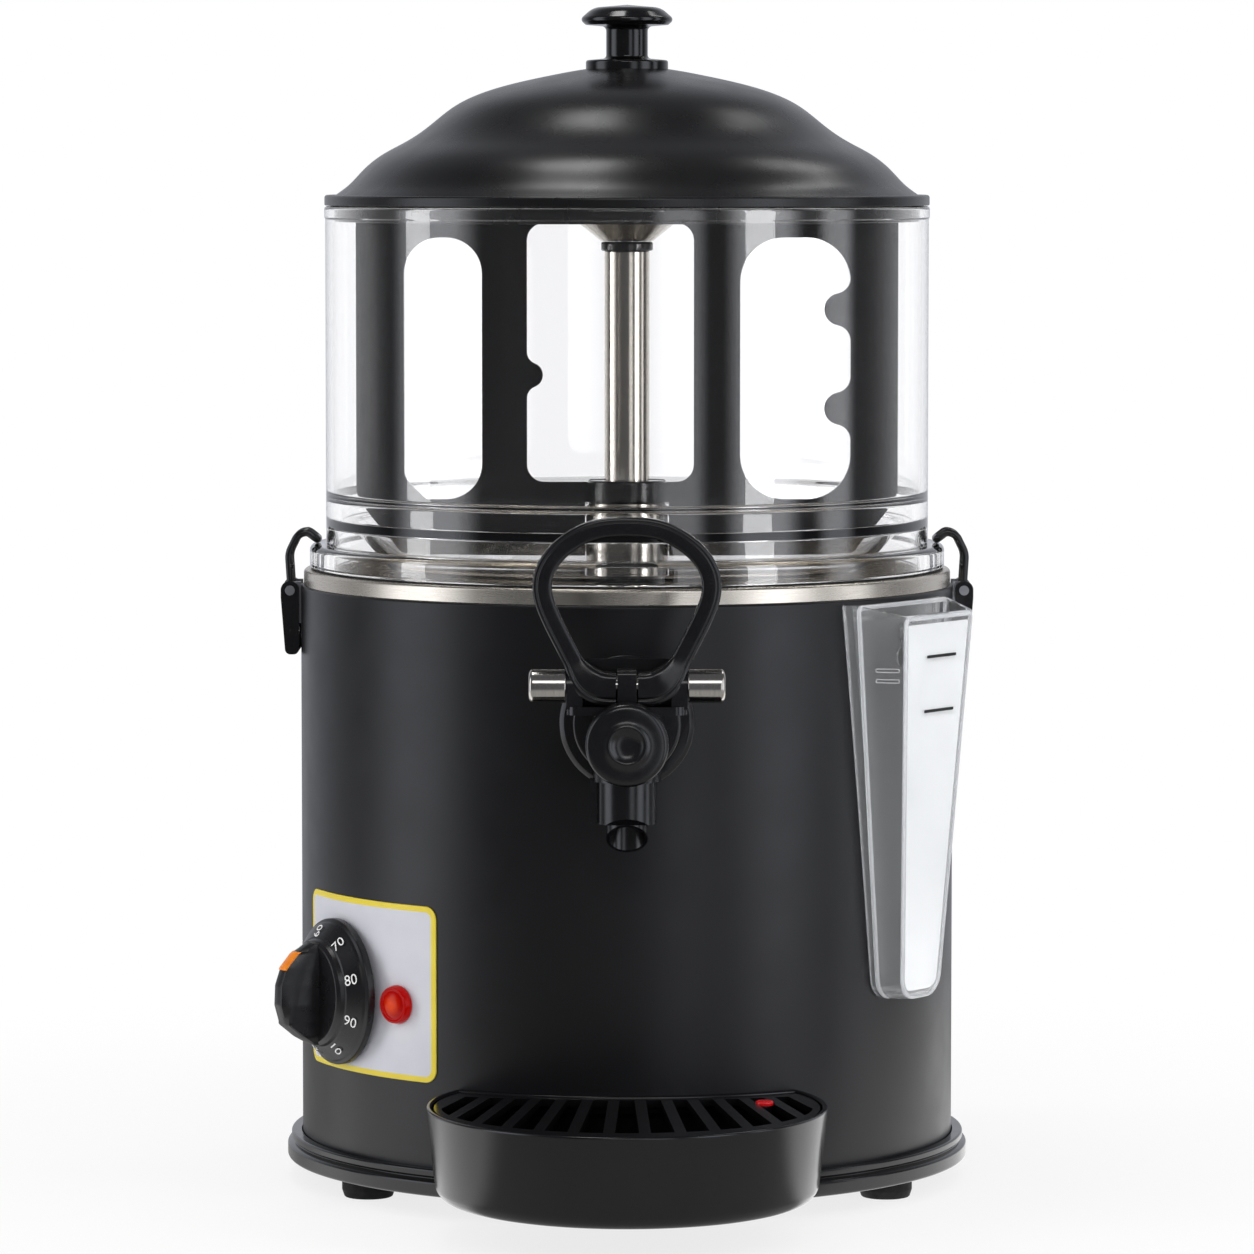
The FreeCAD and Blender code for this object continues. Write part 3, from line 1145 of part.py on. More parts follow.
def dial():
    """Knob with a flat skirt, a coned number ring, a drum and a tapered grip across it."""
    back = PANEL_FACE_R + DIAL_GAP
    cone = back + DIAL_SKIRT_T
    drum = cone + DIAL_CONE_H
    face = drum + DIAL_DRUM_H
    top = back + DIAL_H
    skirt = turned([
        (0, back), (DIAL_R, back, 0.8), (DIAL_R, cone, 1.6), (DIAL_FACE_R + 1.2, drum, 0.5),
        (DIAL_FACE_R, drum), (DIAL_FACE_R, face, 1.6), (0, face)])
    grip_face = Part.Face(rounded_wire([
        (-GRIP_HALF_W, face - 2), (GRIP_HALF_W, face - 2), (GRIP_TOP_HALF_W, top, 1.6),
        (-GRIP_TOP_HALF_W, top, 1.6)], in_xz))
    grip_face.translate(Vector(0, -DIAL_FACE_R, 0))
    grip = grip_face.extrude(Vector(0, 2 * DIAL_FACE_R, 0))
    envelope = turned([(0, back), (DIAL_FACE_R - 0.6, back), (DIAL_FACE_R - 0.6, face + 2, 4.0),
                       (DIAL_FACE_R * 0.62, top, 9.0), (0, top)])
    knob = fuse(skirt, grip.common(envelope))
    hollow = turned([(0, back - 1), (DIAL_R - 2.4, back - 1), (DIAL_R - 2.4, cone - 1.6),
                     (SPINDLE_R + 3, cone - 1.6), (SPINDLE_R + 3, back + 0.2), (0, back + 0.2)])
    knob = knob.cut([hollow, cylinder(SPINDLE_R, back - 1, cone)])
    knob.rotate(CENTRE, UP, DIAL_REST_ANGLE)
    return at_azimuth(knob, DIAL_AZ, DIAL_Z)


def dial_pointer():
    """Coloured mark on the grip's ridge, over the end that points at the numbers."""
    top = PANEL_FACE_R + DIAL_GAP + DIAL_H
    ridge = DIAL_FACE_R * 0.60
    half = POINTER_W / 2
    mark = box((-half, ridge - POINTER_L * 0.5, top - 6.5), (half, ridge + POINTER_L * 0.5, top + 6))
    lower = turned([(0, 0), (DIAL_FACE_R - 0.6, 0), (DIAL_FACE_R - 0.6, top - DIAL_H * 0.36, 4.0),
                    (DIAL_FACE_R * 0.62, top, 9.0), (0, top)])
    shell = turned([(0, 0), (DIAL_FACE_R - 0.6 + POINTER_T, 0),
                    (DIAL_FACE_R - 0.6 + POINTER_T, top - DIAL_H * 0.36, 4.4),
                    (DIAL_FACE_R * 0.62 + POINTER_T, top + POINTER_T, 9.0), (0, top + POINTER_T)])
    mark = mark.common(shell).cut(lower)
    mark.rotate(CENTRE, UP, DIAL_REST_ANGLE)
    return at_azimuth(mark, DIAL_AZ, DIAL_Z)


def lamp():
    """Indicator lens with its stem through the panel and the housing."""
    face = PANEL_FACE_R
    lens = turned([
        (0, face - LAMP_STEM_L), (LAMP_STEM_R, face - LAMP_STEM_L, 0.6), (LAMP_STEM_R, face + 0.3),
        (LAMP_R, face + 0.3), (LAMP_R, face + 1.4, 0.6), (LAMP_R * 0.86, face + 1.6),
        (LAMP_R * 0.66, face + LAMP_DOME_H, 3.0), (0, face + LAMP_DOME_H)])
    return at_azimuth(lens, LAMP_AZ, LAMP_Z)


# ---------------------------------------------------------------- latches, built sideways, up and out
def latch_rivets():
    """The two short rivets that carry the lever on the bracket's ears."""
    pins = []
    for side in (-1, 1):
        near = side * (LATCH_EAR_IN - 0.3)
        far = side * (LATCH_HALF_W + SEAT_GAP * 0.5)
        head = side * (LATCH_HALF_W + 1.0)
        shank = sideways(RIVET_R, min(near, head), max(near, head), LATCH_OUT, LATCH_Z)
        cap = sideways(RIVET_HEAD_R, min(far, head), max(far, head), LATCH_OUT, LATCH_Z)
        pins += [shank, cap]
    return pins


def latch_bracket():
    """Plate on the housing with two ears and the rivets that carry the lever on them."""
    far_x = LATCH_EAR_IN + LATCH_EAR_T
    high = LATCH_Z + LATCH_EAR_R
    low = high - LATCH_PLATE_H
    face = HOUSING_R + LATCH_PLATE_T
    plate = box((-far_x, low, HOUSING_R - 2), (far_x, TOP_Z - 0.6, face))
    ear = [(HOUSING_R - 1, low + 4), (face, low + 4, 0.5), (LATCH_OUT + LATCH_EAR_R, LATCH_Z - 1, 2.6),
           (LATCH_OUT + LATCH_EAR_R, high, LATCH_EAR_R * 0.9), (HOUSING_R - 1, high)]
    ears = [side_plate(ear, x, x + LATCH_EAR_T) for x in (-far_x, LATCH_EAR_IN)]
    return fuse(plate, *ears, *latch_rivets())


def lever_profile(shrink, open_side):
    """Side view of the latch lever, round at both ends, drawn in by a wall's thickness."""
    top_r = LATCH_LEVER_R - shrink
    end_r = LATCH_LEVER_END_R - min(shrink, LATCH_LEVER_END_R * 0.5)
    inner = HOUSING_R + SEAT_GAP + 0.2 - open_side
    outer = LATCH_OUT + top_r
    low = LATCH_Z - LATCH_LEVER_L - end_r
    high = LATCH_Z + top_r
    low_outer = inner + open_side + 2 * end_r + 0.6
    return [(inner, low, 0.9 * end_r if open_side == 0 else 0), (low_outer, low, 0.9 * end_r),
            (outer, LATCH_Z - 3, 8.0), (outer, high, 0.95 * top_r * (1 if open_side == 0 else 0.6)),
            (inner, high, 0.9 * top_r if open_side == 0 else 0)]


def latch_lever():
    """Channel-shaped lever that clamps the bail, open towards the housing and at its top."""
    bar = side_plate(lever_profile(0.0, 0.0), -LATCH_HALF_W, LATCH_HALF_W)
    inside = LATCH_HALF_W - LATCH_WALL
    channel = side_plate(lever_profile(LATCH_WALL, 3.0), -inside, inside)
    bail_z, bail_out = bail_pivot()
    mouth = box((-inside, bail_z - BAIL_WIRE_R - 1.2, 0), (inside, LATCH_Z + FAR, FAR))
    rivets = sideways(RIVET_R + RUN_GAP, -FAR, FAR, LATCH_OUT, LATCH_Z)
    hooks = sideways(BAIL_WIRE_R + RUN_GAP, -FAR, FAR, bail_out, bail_z)
    return bar.cut([channel, mouth, rivets, hooks])


def bail_pivot():
    """Height and distance out of the bail's hooks in the closed lever."""
    return LATCH_Z - BAIL_PIVOT_BELOW, LATCH_OUT - BAIL_PIVOT_IN


def bent_wire(points, bends, radius):
    """A round wire along straight runs, with an arc of the given radius at each inner point."""
    edges = []
    start = points[0]
    for index in range(1, len(points) - 1):
        here = points[index]
        back = (points[index - 1] - here).normalize()
        ahead = (points[index + 1] - here).normalize()
        half = back.getAngle(ahead) / 2
        run = bends[index - 1] / math.tan(half)
        inward = (back + ahead).normalize()
        arc_start = here + back * run
        arc_end = here + ahead * run
        middle = here + inward * (bends[index - 1] / math.sin(half) - bends[index - 1])
        edges.append(Part.makeLine(start, arc_start))
        edges.append(Part.Arc(arc_start, middle, arc_end).toShape())
        start = arc_end
    edges.append(Part.makeLine(start, points[-1]))
    path = Part.Wire(edges)
    direction = (points[1] - points[0]).normalize()
    section = Part.Wire(Part.makeCircle(radius, points[0], direction))
    return path.makePipeShell([section], True, False)


def latch_bail():
    """Wire bail: hooks in the lever, two legs, and a crossbar that bears on the bowl's flange."""
    bail_z, bail_out = bail_pivot()
    hook = LATCH_HALF_W - 0.1
    seat_out = FLANGE_R - BAIL_SEAT_IN
    seat_z = FLANGE_Z + BAIL_WIRE_R + 0.15
    knee_z = FLANGE_Z - 4.0
    arch_z = FLANGE_Z + BAIL_ARCH
    leg_out = LATCH_OUT + BAIL_LEG_OUT

    def side(sign):
        x = sign * BAIL_HALF_W
        return [Vector(sign * hook, bail_z, bail_out), Vector(x, bail_z, bail_out),
                Vector(x, knee_z, leg_out), Vector(x, arch_z, leg_out - 4.4),
                Vector(x, arch_z - 0.4, seat_out + 3.6), Vector(x, seat_z, seat_out)]
    points = side(-1) + list(reversed(side(1)))
    bend = [2.2, 9.0, 5.0, 3.0, 2.2]
    return bent_wire(points, bend + list(reversed(bend)), BAIL_WIRE_R)


# ---------------------------------------------------------------- drip tray
def tray_outline(side_in, front_in):
    """Plan of the tray: sides that draw in, broad corners, a bowed front and a rear inside the housing."""
    half = TRAY_HALF_W - side_in
    corner_x = half - TRAY_SIDE_FLARE
    slope = math.radians(TRAY_BOW_ANGLE)
    bow_r = TRAY_BOW_HALF / math.tan(slope)
    apex = TRAY_FRONT - front_in + bow_r * (1 / math.cos(slope) - 1)
    corner_out = apex - corner_x * math.tan(slope)
    return mirrored_x([(half, -HOUSING_R * 0.75), (half, -TRAY_BEND_OUT, 60.0),
                       (corner_x, -corner_out, TRAY_CORNER - side_in), (0, -apex, bow_r)])


def drafted(side_in, front_in, low, high):
    """The tray's outline between two heights, narrower towards the foot."""
    def wire(z):
        shrink = TRAY_DRAFT * (TRAY_TOP_Z - z) / (TRAY_TOP_Z - TRAY_BOTTOM_Z)
        return rounded_wire(tray_outline(side_in + shrink, front_in + shrink),
                            lambda a, b: Vector(a, b, z))
    return Part.makeLoft([wire(low), wire(high)], True, True)


def behind_tray(extra):
    """The housing and base ring as the tray's back must clear them, plus a wall."""
    near_base = BASE_R + TRAY_BODY_GAP + extra
    return fuse(cylinder(HOUSING_R + TRAY_BODY_GAP + extra, 0, TOP_Z),
                cylinder(near_base, 0, BASE_TOP_Z + TRAY_BODY_GAP + extra))


def drip_tray():
    outer = drafted(0, 0, TRAY_BOTTOM_Z, TRAY_TOP_Z).cut(behind_tray(0))
    floor = TRAY_BOTTOM_Z + TRAY_FLOOR_T
    inner = drafted(TRAY_WALL, TRAY_WALL, floor, TRAY_TOP_Z + 1).cut(behind_tray(TRAY_WALL))
    ledge_top = TRAY_TOP_Z - GRILLE_DROP - GRILLE_T - SEAT_GAP
    ledge_in = TRAY_WALL + GRILLE_LEDGE
    ledge = drafted(TRAY_WALL - 0.5, TRAY_WALL - 0.5, ledge_top - 2.5, ledge_top)
    ledge = ledge.cut([drafted(ledge_in, ledge_in, ledge_top - 3, ledge_top + 1).cut(
        behind_tray(ledge_in)), behind_tray(TRAY_WALL - 0.5)])
    tray = fuse(outer.cut(inner), ledge)
    pin_room = TRAY_PIN_R + RUN_GAP
    holes = [cylinder_y(pin_room, side * TRAY_PIN_X, TRAY_PIN_Z, TRAY_BEND_OUT, 0) for side in (-1, 1)]
    return tray.cut(holes)


def tray_pins():
    """Two steel pins welded to the housing, which carry the tray."""
    out = math.sqrt(HOUSING_R ** 2 - TRAY_PIN_X ** 2) + TRAY_PIN_L
    skin = cylinder(HOUSING_R, 0, TOP_Z)
    return Part.makeCompound([cylinder_y(TRAY_PIN_R, side * TRAY_PIN_X, TRAY_PIN_Z, out, 0).cut(skin)
                              for side in (-1, 1)])


def drip_grille():
    """Flat grille whose bars fan out from a point behind the machine's axis."""
    top = TRAY_TOP_Z - GRILLE_DROP
    low = top - GRILLE_T
    edge = TRAY_WALL + GRILLE_GAP + 0.4
    plate = drafted(edge, edge, low, top).cut(behind_tray(TRAY_WALL + GRILLE_GAP))
    opening = slab(tray_outline(GRILLE_SIDE_BAND, GRILLE_FRONT_BAND), low - 1, top + 1)
    opening = opening.cut(cylinder(GRILLE_REAR_R, low - 2, top + 2, 0, GRILLE_REAR_R - GRILLE_REAR_OUT))
    bars = []
    for index in range(FAN_BARS):
        angle = (index - (FAN_BARS - 1) / 2) * FAN_STEP_ANGLE
        bar = box((-BAR_W / 2, -FAR, low - 1), (BAR_W / 2, 0, top + 1))
        bar.rotate(CENTRE, UP, angle)
        bar.translate(Vector(0, FAN_FOCUS, 0))
        bars.append(bar)
    slots = opening.cut(bars)
    float_hole = cylinder(FLOAT_R + SEAT_GAP, low - 1, top + 1, FLOAT_X, -FLOAT_OUT)
    return plate.cut([slots, float_hole])


def full_float():
    """Red float that rises through the grille when the tray is full."""
    low = TRAY_BOTTOM_Z + TRAY_FLOOR_T + SEAT_GAP
    top = TRAY_TOP_Z - GRILLE_DROP + FLOAT_PROUD
    stem = turned([(0, low), (FLOAT_DISC_R, low, 1.0), (FLOAT_DISC_R, low + FLOAT_DISC_H, 1.0),
                   (FLOAT_R, low + FLOAT_DISC_H), (FLOAT_R, top, 1.8), (0, top)])
    stem.translate(Vector(FLOAT_X, -FLOAT_OUT, 0))
    return stem


# ---------------------------------------------------------------- level cup, built sideways, up and out
def cup_section(up, wall):
    """Plan of the cup at a height: narrow outer face, side faces that flare towards the housing."""
    share = (up - CUP_BOTTOM_Z) / CUP_H
    depth = CUP_BOTTOM_DEPTH + (CUP_TOP_DEPTH - CUP_BOTTOM_DEPTH) * share
    half = CUP_BOTTOM_HALF_W + (CUP_TOP_HALF_W - CUP_BOTTOM_HALF_W) * share
    out = HOUSING_R + depth - wall
    root = HOUSING_R - 14.0
    root_half = half + CUP_FLARE_RATIO * (HOUSING_R + depth - root) - wall
    corners = [(root_half, root), (half - wall, out), (wall - half, out), (-root_half, root)]
    return rounded_wire(corners, lambda a, b: Vector(a, up, b))


def cup_solid(low, wall):
    """The cup's outer or inner form, with its foot corners and then its outer face rounded."""
    body = Part.makeLoft([cup_section(low, wall), cup_section(CUP_RIM_Z, wall)], True, True)
    foot = [edge for edge in body.Edges
            if edge.BoundBox.YMax - low < 1e-3 and edge.BoundBox.ZLength > CUP_ROUND]
    body = body.makeFillet(CUP_ROUND - wall, foot)
    face = [edge for edge in body.Edges
            if edge.BoundBox.ZMin > HOUSING_R - wall and CUP_RIM_Z - edge.BoundBox.YMin > 1e-3]
    return body.makeFillet(CUP_CORNER - wall, face)


def level_cup():
    outer = at_azimuth(cup_solid(CUP_BOTTOM_Z, 0.0), CUP_AZ)
    inner = at_azimuth(cup_solid(CUP_BOTTOM_Z + CUP_WALL, CUP_WALL), CUP_AZ)
    outer = outer.cut(cylinder(CUP_BACK_R, 0, TOP_Z))
    inner = inner.cut(cylinder(CUP_BACK_R + CUP_WALL, 0, TOP_Z))
    drop = math.degrees(math.atan(CUP_RIM_DROP / CUP_TOP_DEPTH))
    above = box((-FAR, 0, 0), (FAR, FAR, FAR))
    above.translate(Vector(0, 0, -HOUSING_R))
    above.rotate(CENTRE, Vector(1, 0, 0), drop)
    above.translate(Vector(0, CUP_RIM_Z, HOUSING_R))
    neck = STUD_R + SEAT_GAP
    slot = slab([(-neck, STUD_Z + neck, neck * 0.98), (neck, STUD_Z + neck, neck * 0.98),
                 (neck, STUD_Z - STUD_TRAVEL), (-neck, STUD_Z - STUD_TRAVEL)],
                CUP_BACK_R - 2, CUP_BACK_R + CUP_WALL + 3)
    keyhole = Part.makeCylinder(STUD_HEAD_R + SEAT_GAP, CUP_WALL + 5,
                                Vector(0, STUD_Z - STUD_TRAVEL, CUP_BACK_R - 2))
    cup = outer.cut(inner)
    return cup.cut([at_azimuth(shape, CUP_AZ) for shape in (above, slot, keyhole)])


def cup_stud():
    """Headed stud welded to the housing, which the cup's keyhole hangs on."""
    head = CUP_BACK_R + CUP_WALL + SEAT_GAP
    inner = HOUSING_R - STUD_ROOT
    stud = turned([(0, inner), (STUD_R, inner), (STUD_R, head), (STUD_HEAD_R, head),
                   (STUD_HEAD_R, head + STUD_HEAD_T, 0.6), (0, head + STUD_HEAD_T)])
    return at_azimuth(stud, CUP_AZ, STUD_Z).cut(cylinder(HOUSING_R, 0, TOP_Z))


def level_scale():
    """White strip inside the cup's outer face that the water level is read against."""
    def row(up):
        share = (up - CUP_BOTTOM_Z) / CUP_H
        depth = CUP_BOTTOM_DEPTH + (CUP_TOP_DEPTH - CUP_BOTTOM_DEPTH) * share
        half = CUP_BOTTOM_HALF_W + (CUP_TOP_HALF_W - CUP_BOTTOM_HALF_W) * share - CUP_WALL - CUP_CORNER
        out = HOUSING_R + depth - CUP_WALL
        return Part.makePolygon([Vector(half, up, out), Vector(-half, up, out),
                                 Vector(-half, up, out - SCALE_T), Vector(half, up, out - SCALE_T),
                                 Vector(half, up, out)])
    strip = Part.makeLoft([row(CUP_BOTTOM_Z + SCALE_BOTTOM_ABOVE), row(CUP_RIM_Z - SCALE_TOP_BELOW)],
                          True, True)
    return at_azimuth(strip, CUP_AZ)


# ---------------------------------------------------------------- the assembly
PIECES = {
    "base_ring": base_ring, "base_plate": base_plate, "outer_housing": outer_housing,
    "panel_plate": panel_plate, "cord_gland": cord_gland, "water_bath": water_bath,
    "bath_heater": bath_heater, "motor_bracket": motor_bracket, "gear_motor": gear_motor,
    "drive_column": drive_column, "column_hub": column_hub, "column_bushes": column_bushes,
    "outlet_elbow": outlet_elbow,
    "bowl_gasket": bowl_gasket, "bowl": bowl, "bowl_flange": bowl_flange,
    "bowl_slope": bowl_slope, "bowl_floor": bowl_floor,
    "drive_shaft": drive_shaft, "cone_cap": cone_cap, "cap_nut": cap_nut, "paddle": paddle,
    "lid": lid, "lid_crown": lid_crown, "lid_skirt": lid_skirt, "lid_knob": lid_knob,
    "knob_screw": knob_screw,
    "tap_escutcheon": tap_escutcheon, "tap_nut": tap_nut, "tap_gasket": tap_gasket,
    "tap_body": tap_body, "tap_cap": tap_cap, "tap_yoke": tap_yoke, "cross_rod": cross_rod,
    "tap_lever": tap_lever, "tap_plunger": tap_plunger, "valve_seal": valve_seal,
    "tap_spring": tap_spring,
    "thermostat": thermostat, "dial_spindle": dial_spindle, "dial": dial,
    "dial_pointer": dial_pointer, "lamp": lamp,
    "drip_tray": drip_tray, "tray_pins": tray_pins, "drip_grille": drip_grille,
    "full_float": full_float,
    "level_cup": level_cup, "cup_stud": cup_stud, "level_scale": level_scale}


def export(name, shape):
    shape.exportStep(os.path.join("parts", name + ".step"))


def main():
    os.makedirs("parts", exist_ok=True)
    for name, make in PIECES.items():
        export(name, make())
    for index, (sx, sy) in enumerate([(1, -1), (1, 1), (-1, 1), (-1, -1)], start=1):
        export("foot_%d" % index, foot(sx * FOOT_X, sy * FOOT_Y))
    for side, azimuth in (("left", -90), ("right", 90)):
        bracket = at_azimuth(latch_bracket(), azimuth).cut(cylinder(HOUSING_R, 0, BRIM_Z))
        export("latch_bracket_" + side, bracket)
        export("latch_lever_" + side, at_azimuth(latch_lever(), azimuth))
        export("latch_bail_" + side, at_azimuth(latch_bail(), azimuth))


main()
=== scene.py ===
"""Looks of a heated chocolate dispenser for the counter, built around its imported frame.

Lengths are in millimetres in every class and function here, and Workshop turns them into metres.
+Z is up and the front is -Y. An azimuth is in degrees from the front, positive towards +X.
"""

import logging
import math
from dataclasses import dataclass, field
from enum import Enum
from typing import Callable, Optional, Sequence

import bmesh
import bpy
import numpy as np
from bpy.types import Material, Mesh, Node, NodeSocket, NodeTree, Object
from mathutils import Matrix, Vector


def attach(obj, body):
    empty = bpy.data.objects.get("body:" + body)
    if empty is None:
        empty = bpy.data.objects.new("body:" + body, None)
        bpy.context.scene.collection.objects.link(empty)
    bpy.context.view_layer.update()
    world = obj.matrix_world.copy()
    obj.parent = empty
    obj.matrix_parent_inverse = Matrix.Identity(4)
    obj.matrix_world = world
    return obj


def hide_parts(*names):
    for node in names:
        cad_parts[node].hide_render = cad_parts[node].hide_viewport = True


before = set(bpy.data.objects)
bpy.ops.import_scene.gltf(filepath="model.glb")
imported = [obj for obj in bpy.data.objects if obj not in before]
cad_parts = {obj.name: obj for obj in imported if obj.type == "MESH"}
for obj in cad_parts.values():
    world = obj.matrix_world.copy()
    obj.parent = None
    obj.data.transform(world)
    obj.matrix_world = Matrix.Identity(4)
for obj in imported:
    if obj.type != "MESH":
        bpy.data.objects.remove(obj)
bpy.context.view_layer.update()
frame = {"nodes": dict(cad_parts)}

LOG = logging.getLogger("dispenser")
MM = 0.001
# Millimetres that the overlay's UV map spans.
UV_SPAN = 100.0
# How finely scratches repeat along a metal's brushing, and on one that isn't brushed.
ALONG, EVEN = 90.0 / 2200.0, 300.0 / 2200.0
Array = np.ndarray
Corner = tuple[float, ...]


# ---------------------------------------------------------------- names of the frame
class Body(Enum):
    """The rigid bodies of the frame that pieces ride on."""

    MACHINE = "machine"
    STIRRER = "stirrer"
    LID = "lid"
    TAP_LEVER = "tap_lever"
    TAP_PLUNGER = "tap_plunger"
    DIAL = "dial"
    DRIP_TRAY = "drip_tray"
    DRIP_GRILLE = "drip_grille"
    FULL_FLOAT = "full_float"
    LEVEL_CUP = "level_cup"
    LATCH_LEVER_LEFT = "latch_lever_left"
    LATCH_LEVER_RIGHT = "latch_lever_right"
    LATCH_BAIL_LEFT = "latch_bail_left"
    LATCH_BAIL_RIGHT = "latch_bail_right"


class Slot(Enum):
    """The record's material slots."""

    BODY_PAINT = "body_paint"
    BLACK_PLASTIC = "black_plastic"
    LID_PLASTIC = "lid_plastic"
    CLEAR_PLASTIC = "clear_plastic"
    STEEL = "steel"
    BLACK_WIRE = "black_wire"
    RUBBER = "rubber"
    PANEL_GREY = "panel_grey"
    LAMP_RED = "lamp_red"
    FLOAT_RED = "float_red"
    POINTER_ORANGE = "pointer_orange"
    SCALE_WHITE = "scale_white"


class Lay(Enum):
    """How finely a metal's scratches repeat on each axis, against 1 straight across them."""

    ROUND_Z = (ALONG, ALONG, 1.0)
    ROUND_X = (1.0, ALONG, ALONG)
    FLAT = (EVEN, EVEN, EVEN)


# ---------------------------------------------------------------- node trees
ADD, SUBTRACT, MULTIPLY, POWER, LESS_THAN, MAXIMUM, MINIMUM, ABSOLUTE, ARCTAN2, LENGTH = (
    {"operation": name} for name in ("ADD", "SUBTRACT", "MULTIPLY", "POWER", "LESS_THAN",
                                     "MAXIMUM", "MINIMUM", "ABSOLUTE", "ARCTAN2", "LENGTH"))
SMOOTH = {"interpolation_type": "SMOOTHSTEP"}
COLOURS = {"data_type": "RGBA"}


def linear(colour: str) -> tuple[float, float, float, float]:
    """Turns an sRGB hex colour such as #1B1C1E into linear light.

    Args:
        colour: the hex value, with its leading mark.

    Returns:
        Red, green, blue and an alpha of 1.
    """
    parts = np.array([int(colour[i:i + 2], 16) for i in (1, 3, 5)]) / 255.0
    light = np.where(parts <= 0.04045, parts / 12.92, ((parts + 0.055) / 1.055) ** 2.4)
    return (*(float(c) for c in light), 1.0)


def add_node(tree: NodeTree, kind: str, inputs: Optional[dict] = None,
             settings: Optional[dict] = None) -> Node:
    """Adds a node, sets its properties and sets or links its inputs.

    Args:
        tree: the tree that takes the node.
        kind: the node's Blender type without its ShaderNode.
        inputs: socket names or numbers, each with a value, an output socket to link, or a node
            whose first output is linked.
        settings: property names and values.

    Returns:
        The new node.
    """
    node = tree.nodes.new("ShaderNode" + kind)
    for name, value in (settings or {}).items():
        setattr(node, name, value)
    for key, value in (inputs or {}).items():
        if isinstance(value, Node):
            value = value.outputs[0]
        if isinstance(value, NodeSocket):
            tree.links.new(value, node.inputs[key])
        else:
            node.inputs[key].default_value = value
    return node


def new_material(title: str) -> tuple[Material, NodeTree]:
    """Starts a material with an empty tree.

    Args:
        title: the finish's name.

    Returns:
        The material and its tree.
    """
    material = bpy.data.materials.new(title)
    material.use_nodes = True
    material.node_tree.nodes.clear()
    return material, material.node_tree


def place_coords(tree: NodeTree, scale: Sequence[float] = (1.0, 1.0, 1.0),
                 shift: Sequence[float] = (0.0, 0.0, 0.0)) -> Node:
    """Object coordinates in metres, scaled and then shifted.

    Args:
        tree: the material's tree.
        scale: factor on each axis.
        shift: added to each axis after the scale.

    Returns:
        The node whose first output is the vector.
    """
    coords = add_node(tree, "TexCoord")
    return add_node(tree, "Mapping", {
        "Vector": coords.outputs["Object"], "Scale": tuple(scale), "Location": tuple(shift)})


def features(size_mm: float, detail: float) -> dict:
    """The inputs that give a noise features about size_mm across, with finer layers in them."""
    return {"Scale": 1.0 / (size_mm * MM), "Detail": detail}


def noise_to(low: float, high: float) -> dict:
    """The inputs that stretch noise, which stays near its middle, over a range."""
    return {"From Min": 0.3, "From Max": 0.7, "To Min": low, "To Max": high}


# ---------------------------------------------------------------- finishes
@dataclass(frozen=True)
class Moulded:
    """An opaque coat or moulding: two close colours, a fine grain and an uneven gloss."""

    title: str
    colour: str
    shade: str
    roughness: float
    gloss_spread: float
    grain_mm: float
    relief_mm: float
    patch_mm: float = 35.0
    specular: float = 0.5
    smear_share: float = 0.3

    def build(self) -> Material:
        """Makes the material.

        Returns:
            The finished material.
        """
        material, tree = new_material(self.title)
        here = place_coords(tree)
        patch = add_node(tree, "TexNoise", {"Vector": here, **features(self.patch_mm, 3.0)})
        grain = add_node(tree, "TexNoise", {"Vector": here, **features(self.grain_mm, 3.0)})
        smear = add_node(tree, "TexNoise", {
            "Vector": here, **features(self.patch_mm * self.smear_share, 4.0)})
        share = add_node(tree, "MapRange", {"Value": patch, **noise_to(0.0, 1.0)})
        colour = add_node(tree, "Mix", {
            0: share, 6: linear(self.colour), 7: linear(self.shade)}, COLOURS)
        rough = add_node(tree, "MapRange", {"Value": smear, **noise_to(
            self.roughness - self.gloss_spread, self.roughness + self.gloss_spread)})
        bump = add_node(tree, "Bump", {"Height": grain, "Distance": self.relief_mm * MM})
        shader = add_node(tree, "BsdfPrincipled", {
            "Base Color": colour.outputs[2], "Roughness": rough, "Normal": bump,
            "Specular IOR Level": self.specular})
        add_node(tree, "OutputMaterial", {"Surface": shader})
        return material


@dataclass(frozen=True)
class BrushedMetal:
    """A metal with fine parallel scratches, which draw its highlights out across them."""

    title: str
    colour: str
    shade: str
    roughness: float
    lay: Lay
    scratch_mm: float = 0.25
    relief_mm: float = 0.004
    haze_mm: float = 18.0

    def build(self) -> Material:
        """Makes the material.

        Returns:
            The finished material.
        """
        material, tree = new_material(self.title)
        streaks = place_coords(tree, self.lay.value)
        lines = add_node(tree, "TexNoise", {"Vector": streaks, **features(self.scratch_mm, 4.0)})
        haze = add_node(tree, "TexNoise", {
            "Vector": place_coords(tree), **features(self.haze_mm, 2.0)})
        share = add_node(tree, "MapRange", {"Value": lines, **noise_to(0.0, 1.0)})
        colour = add_node(tree, "Mix", {
            0: share, 6: linear(self.colour), 7: linear(self.shade)}, COLOURS)
        fine = add_node(tree, "MapRange", {"Value": lines, **noise_to(-0.015, 0.02)})
        wide = add_node(tree, "MapRange", {
            "Value": haze, **noise_to(self.roughness - 0.02, self.roughness + 0.02)})
        rough = add_node(tree, "Math", {0: fine, 1: wide}, ADD)
        bump = add_node(tree, "Bump", {"Height": lines, "Distance": self.relief_mm * MM})
        shader = add_node(tree, "BsdfPrincipled", {
            "Base Color": colour.outputs[2], "Metallic": 1.0, "Roughness": rough, "Normal": bump,
            "Anisotropic": 0.3})
        add_node(tree, "OutputMaterial", {"Surface": shader})
        return material


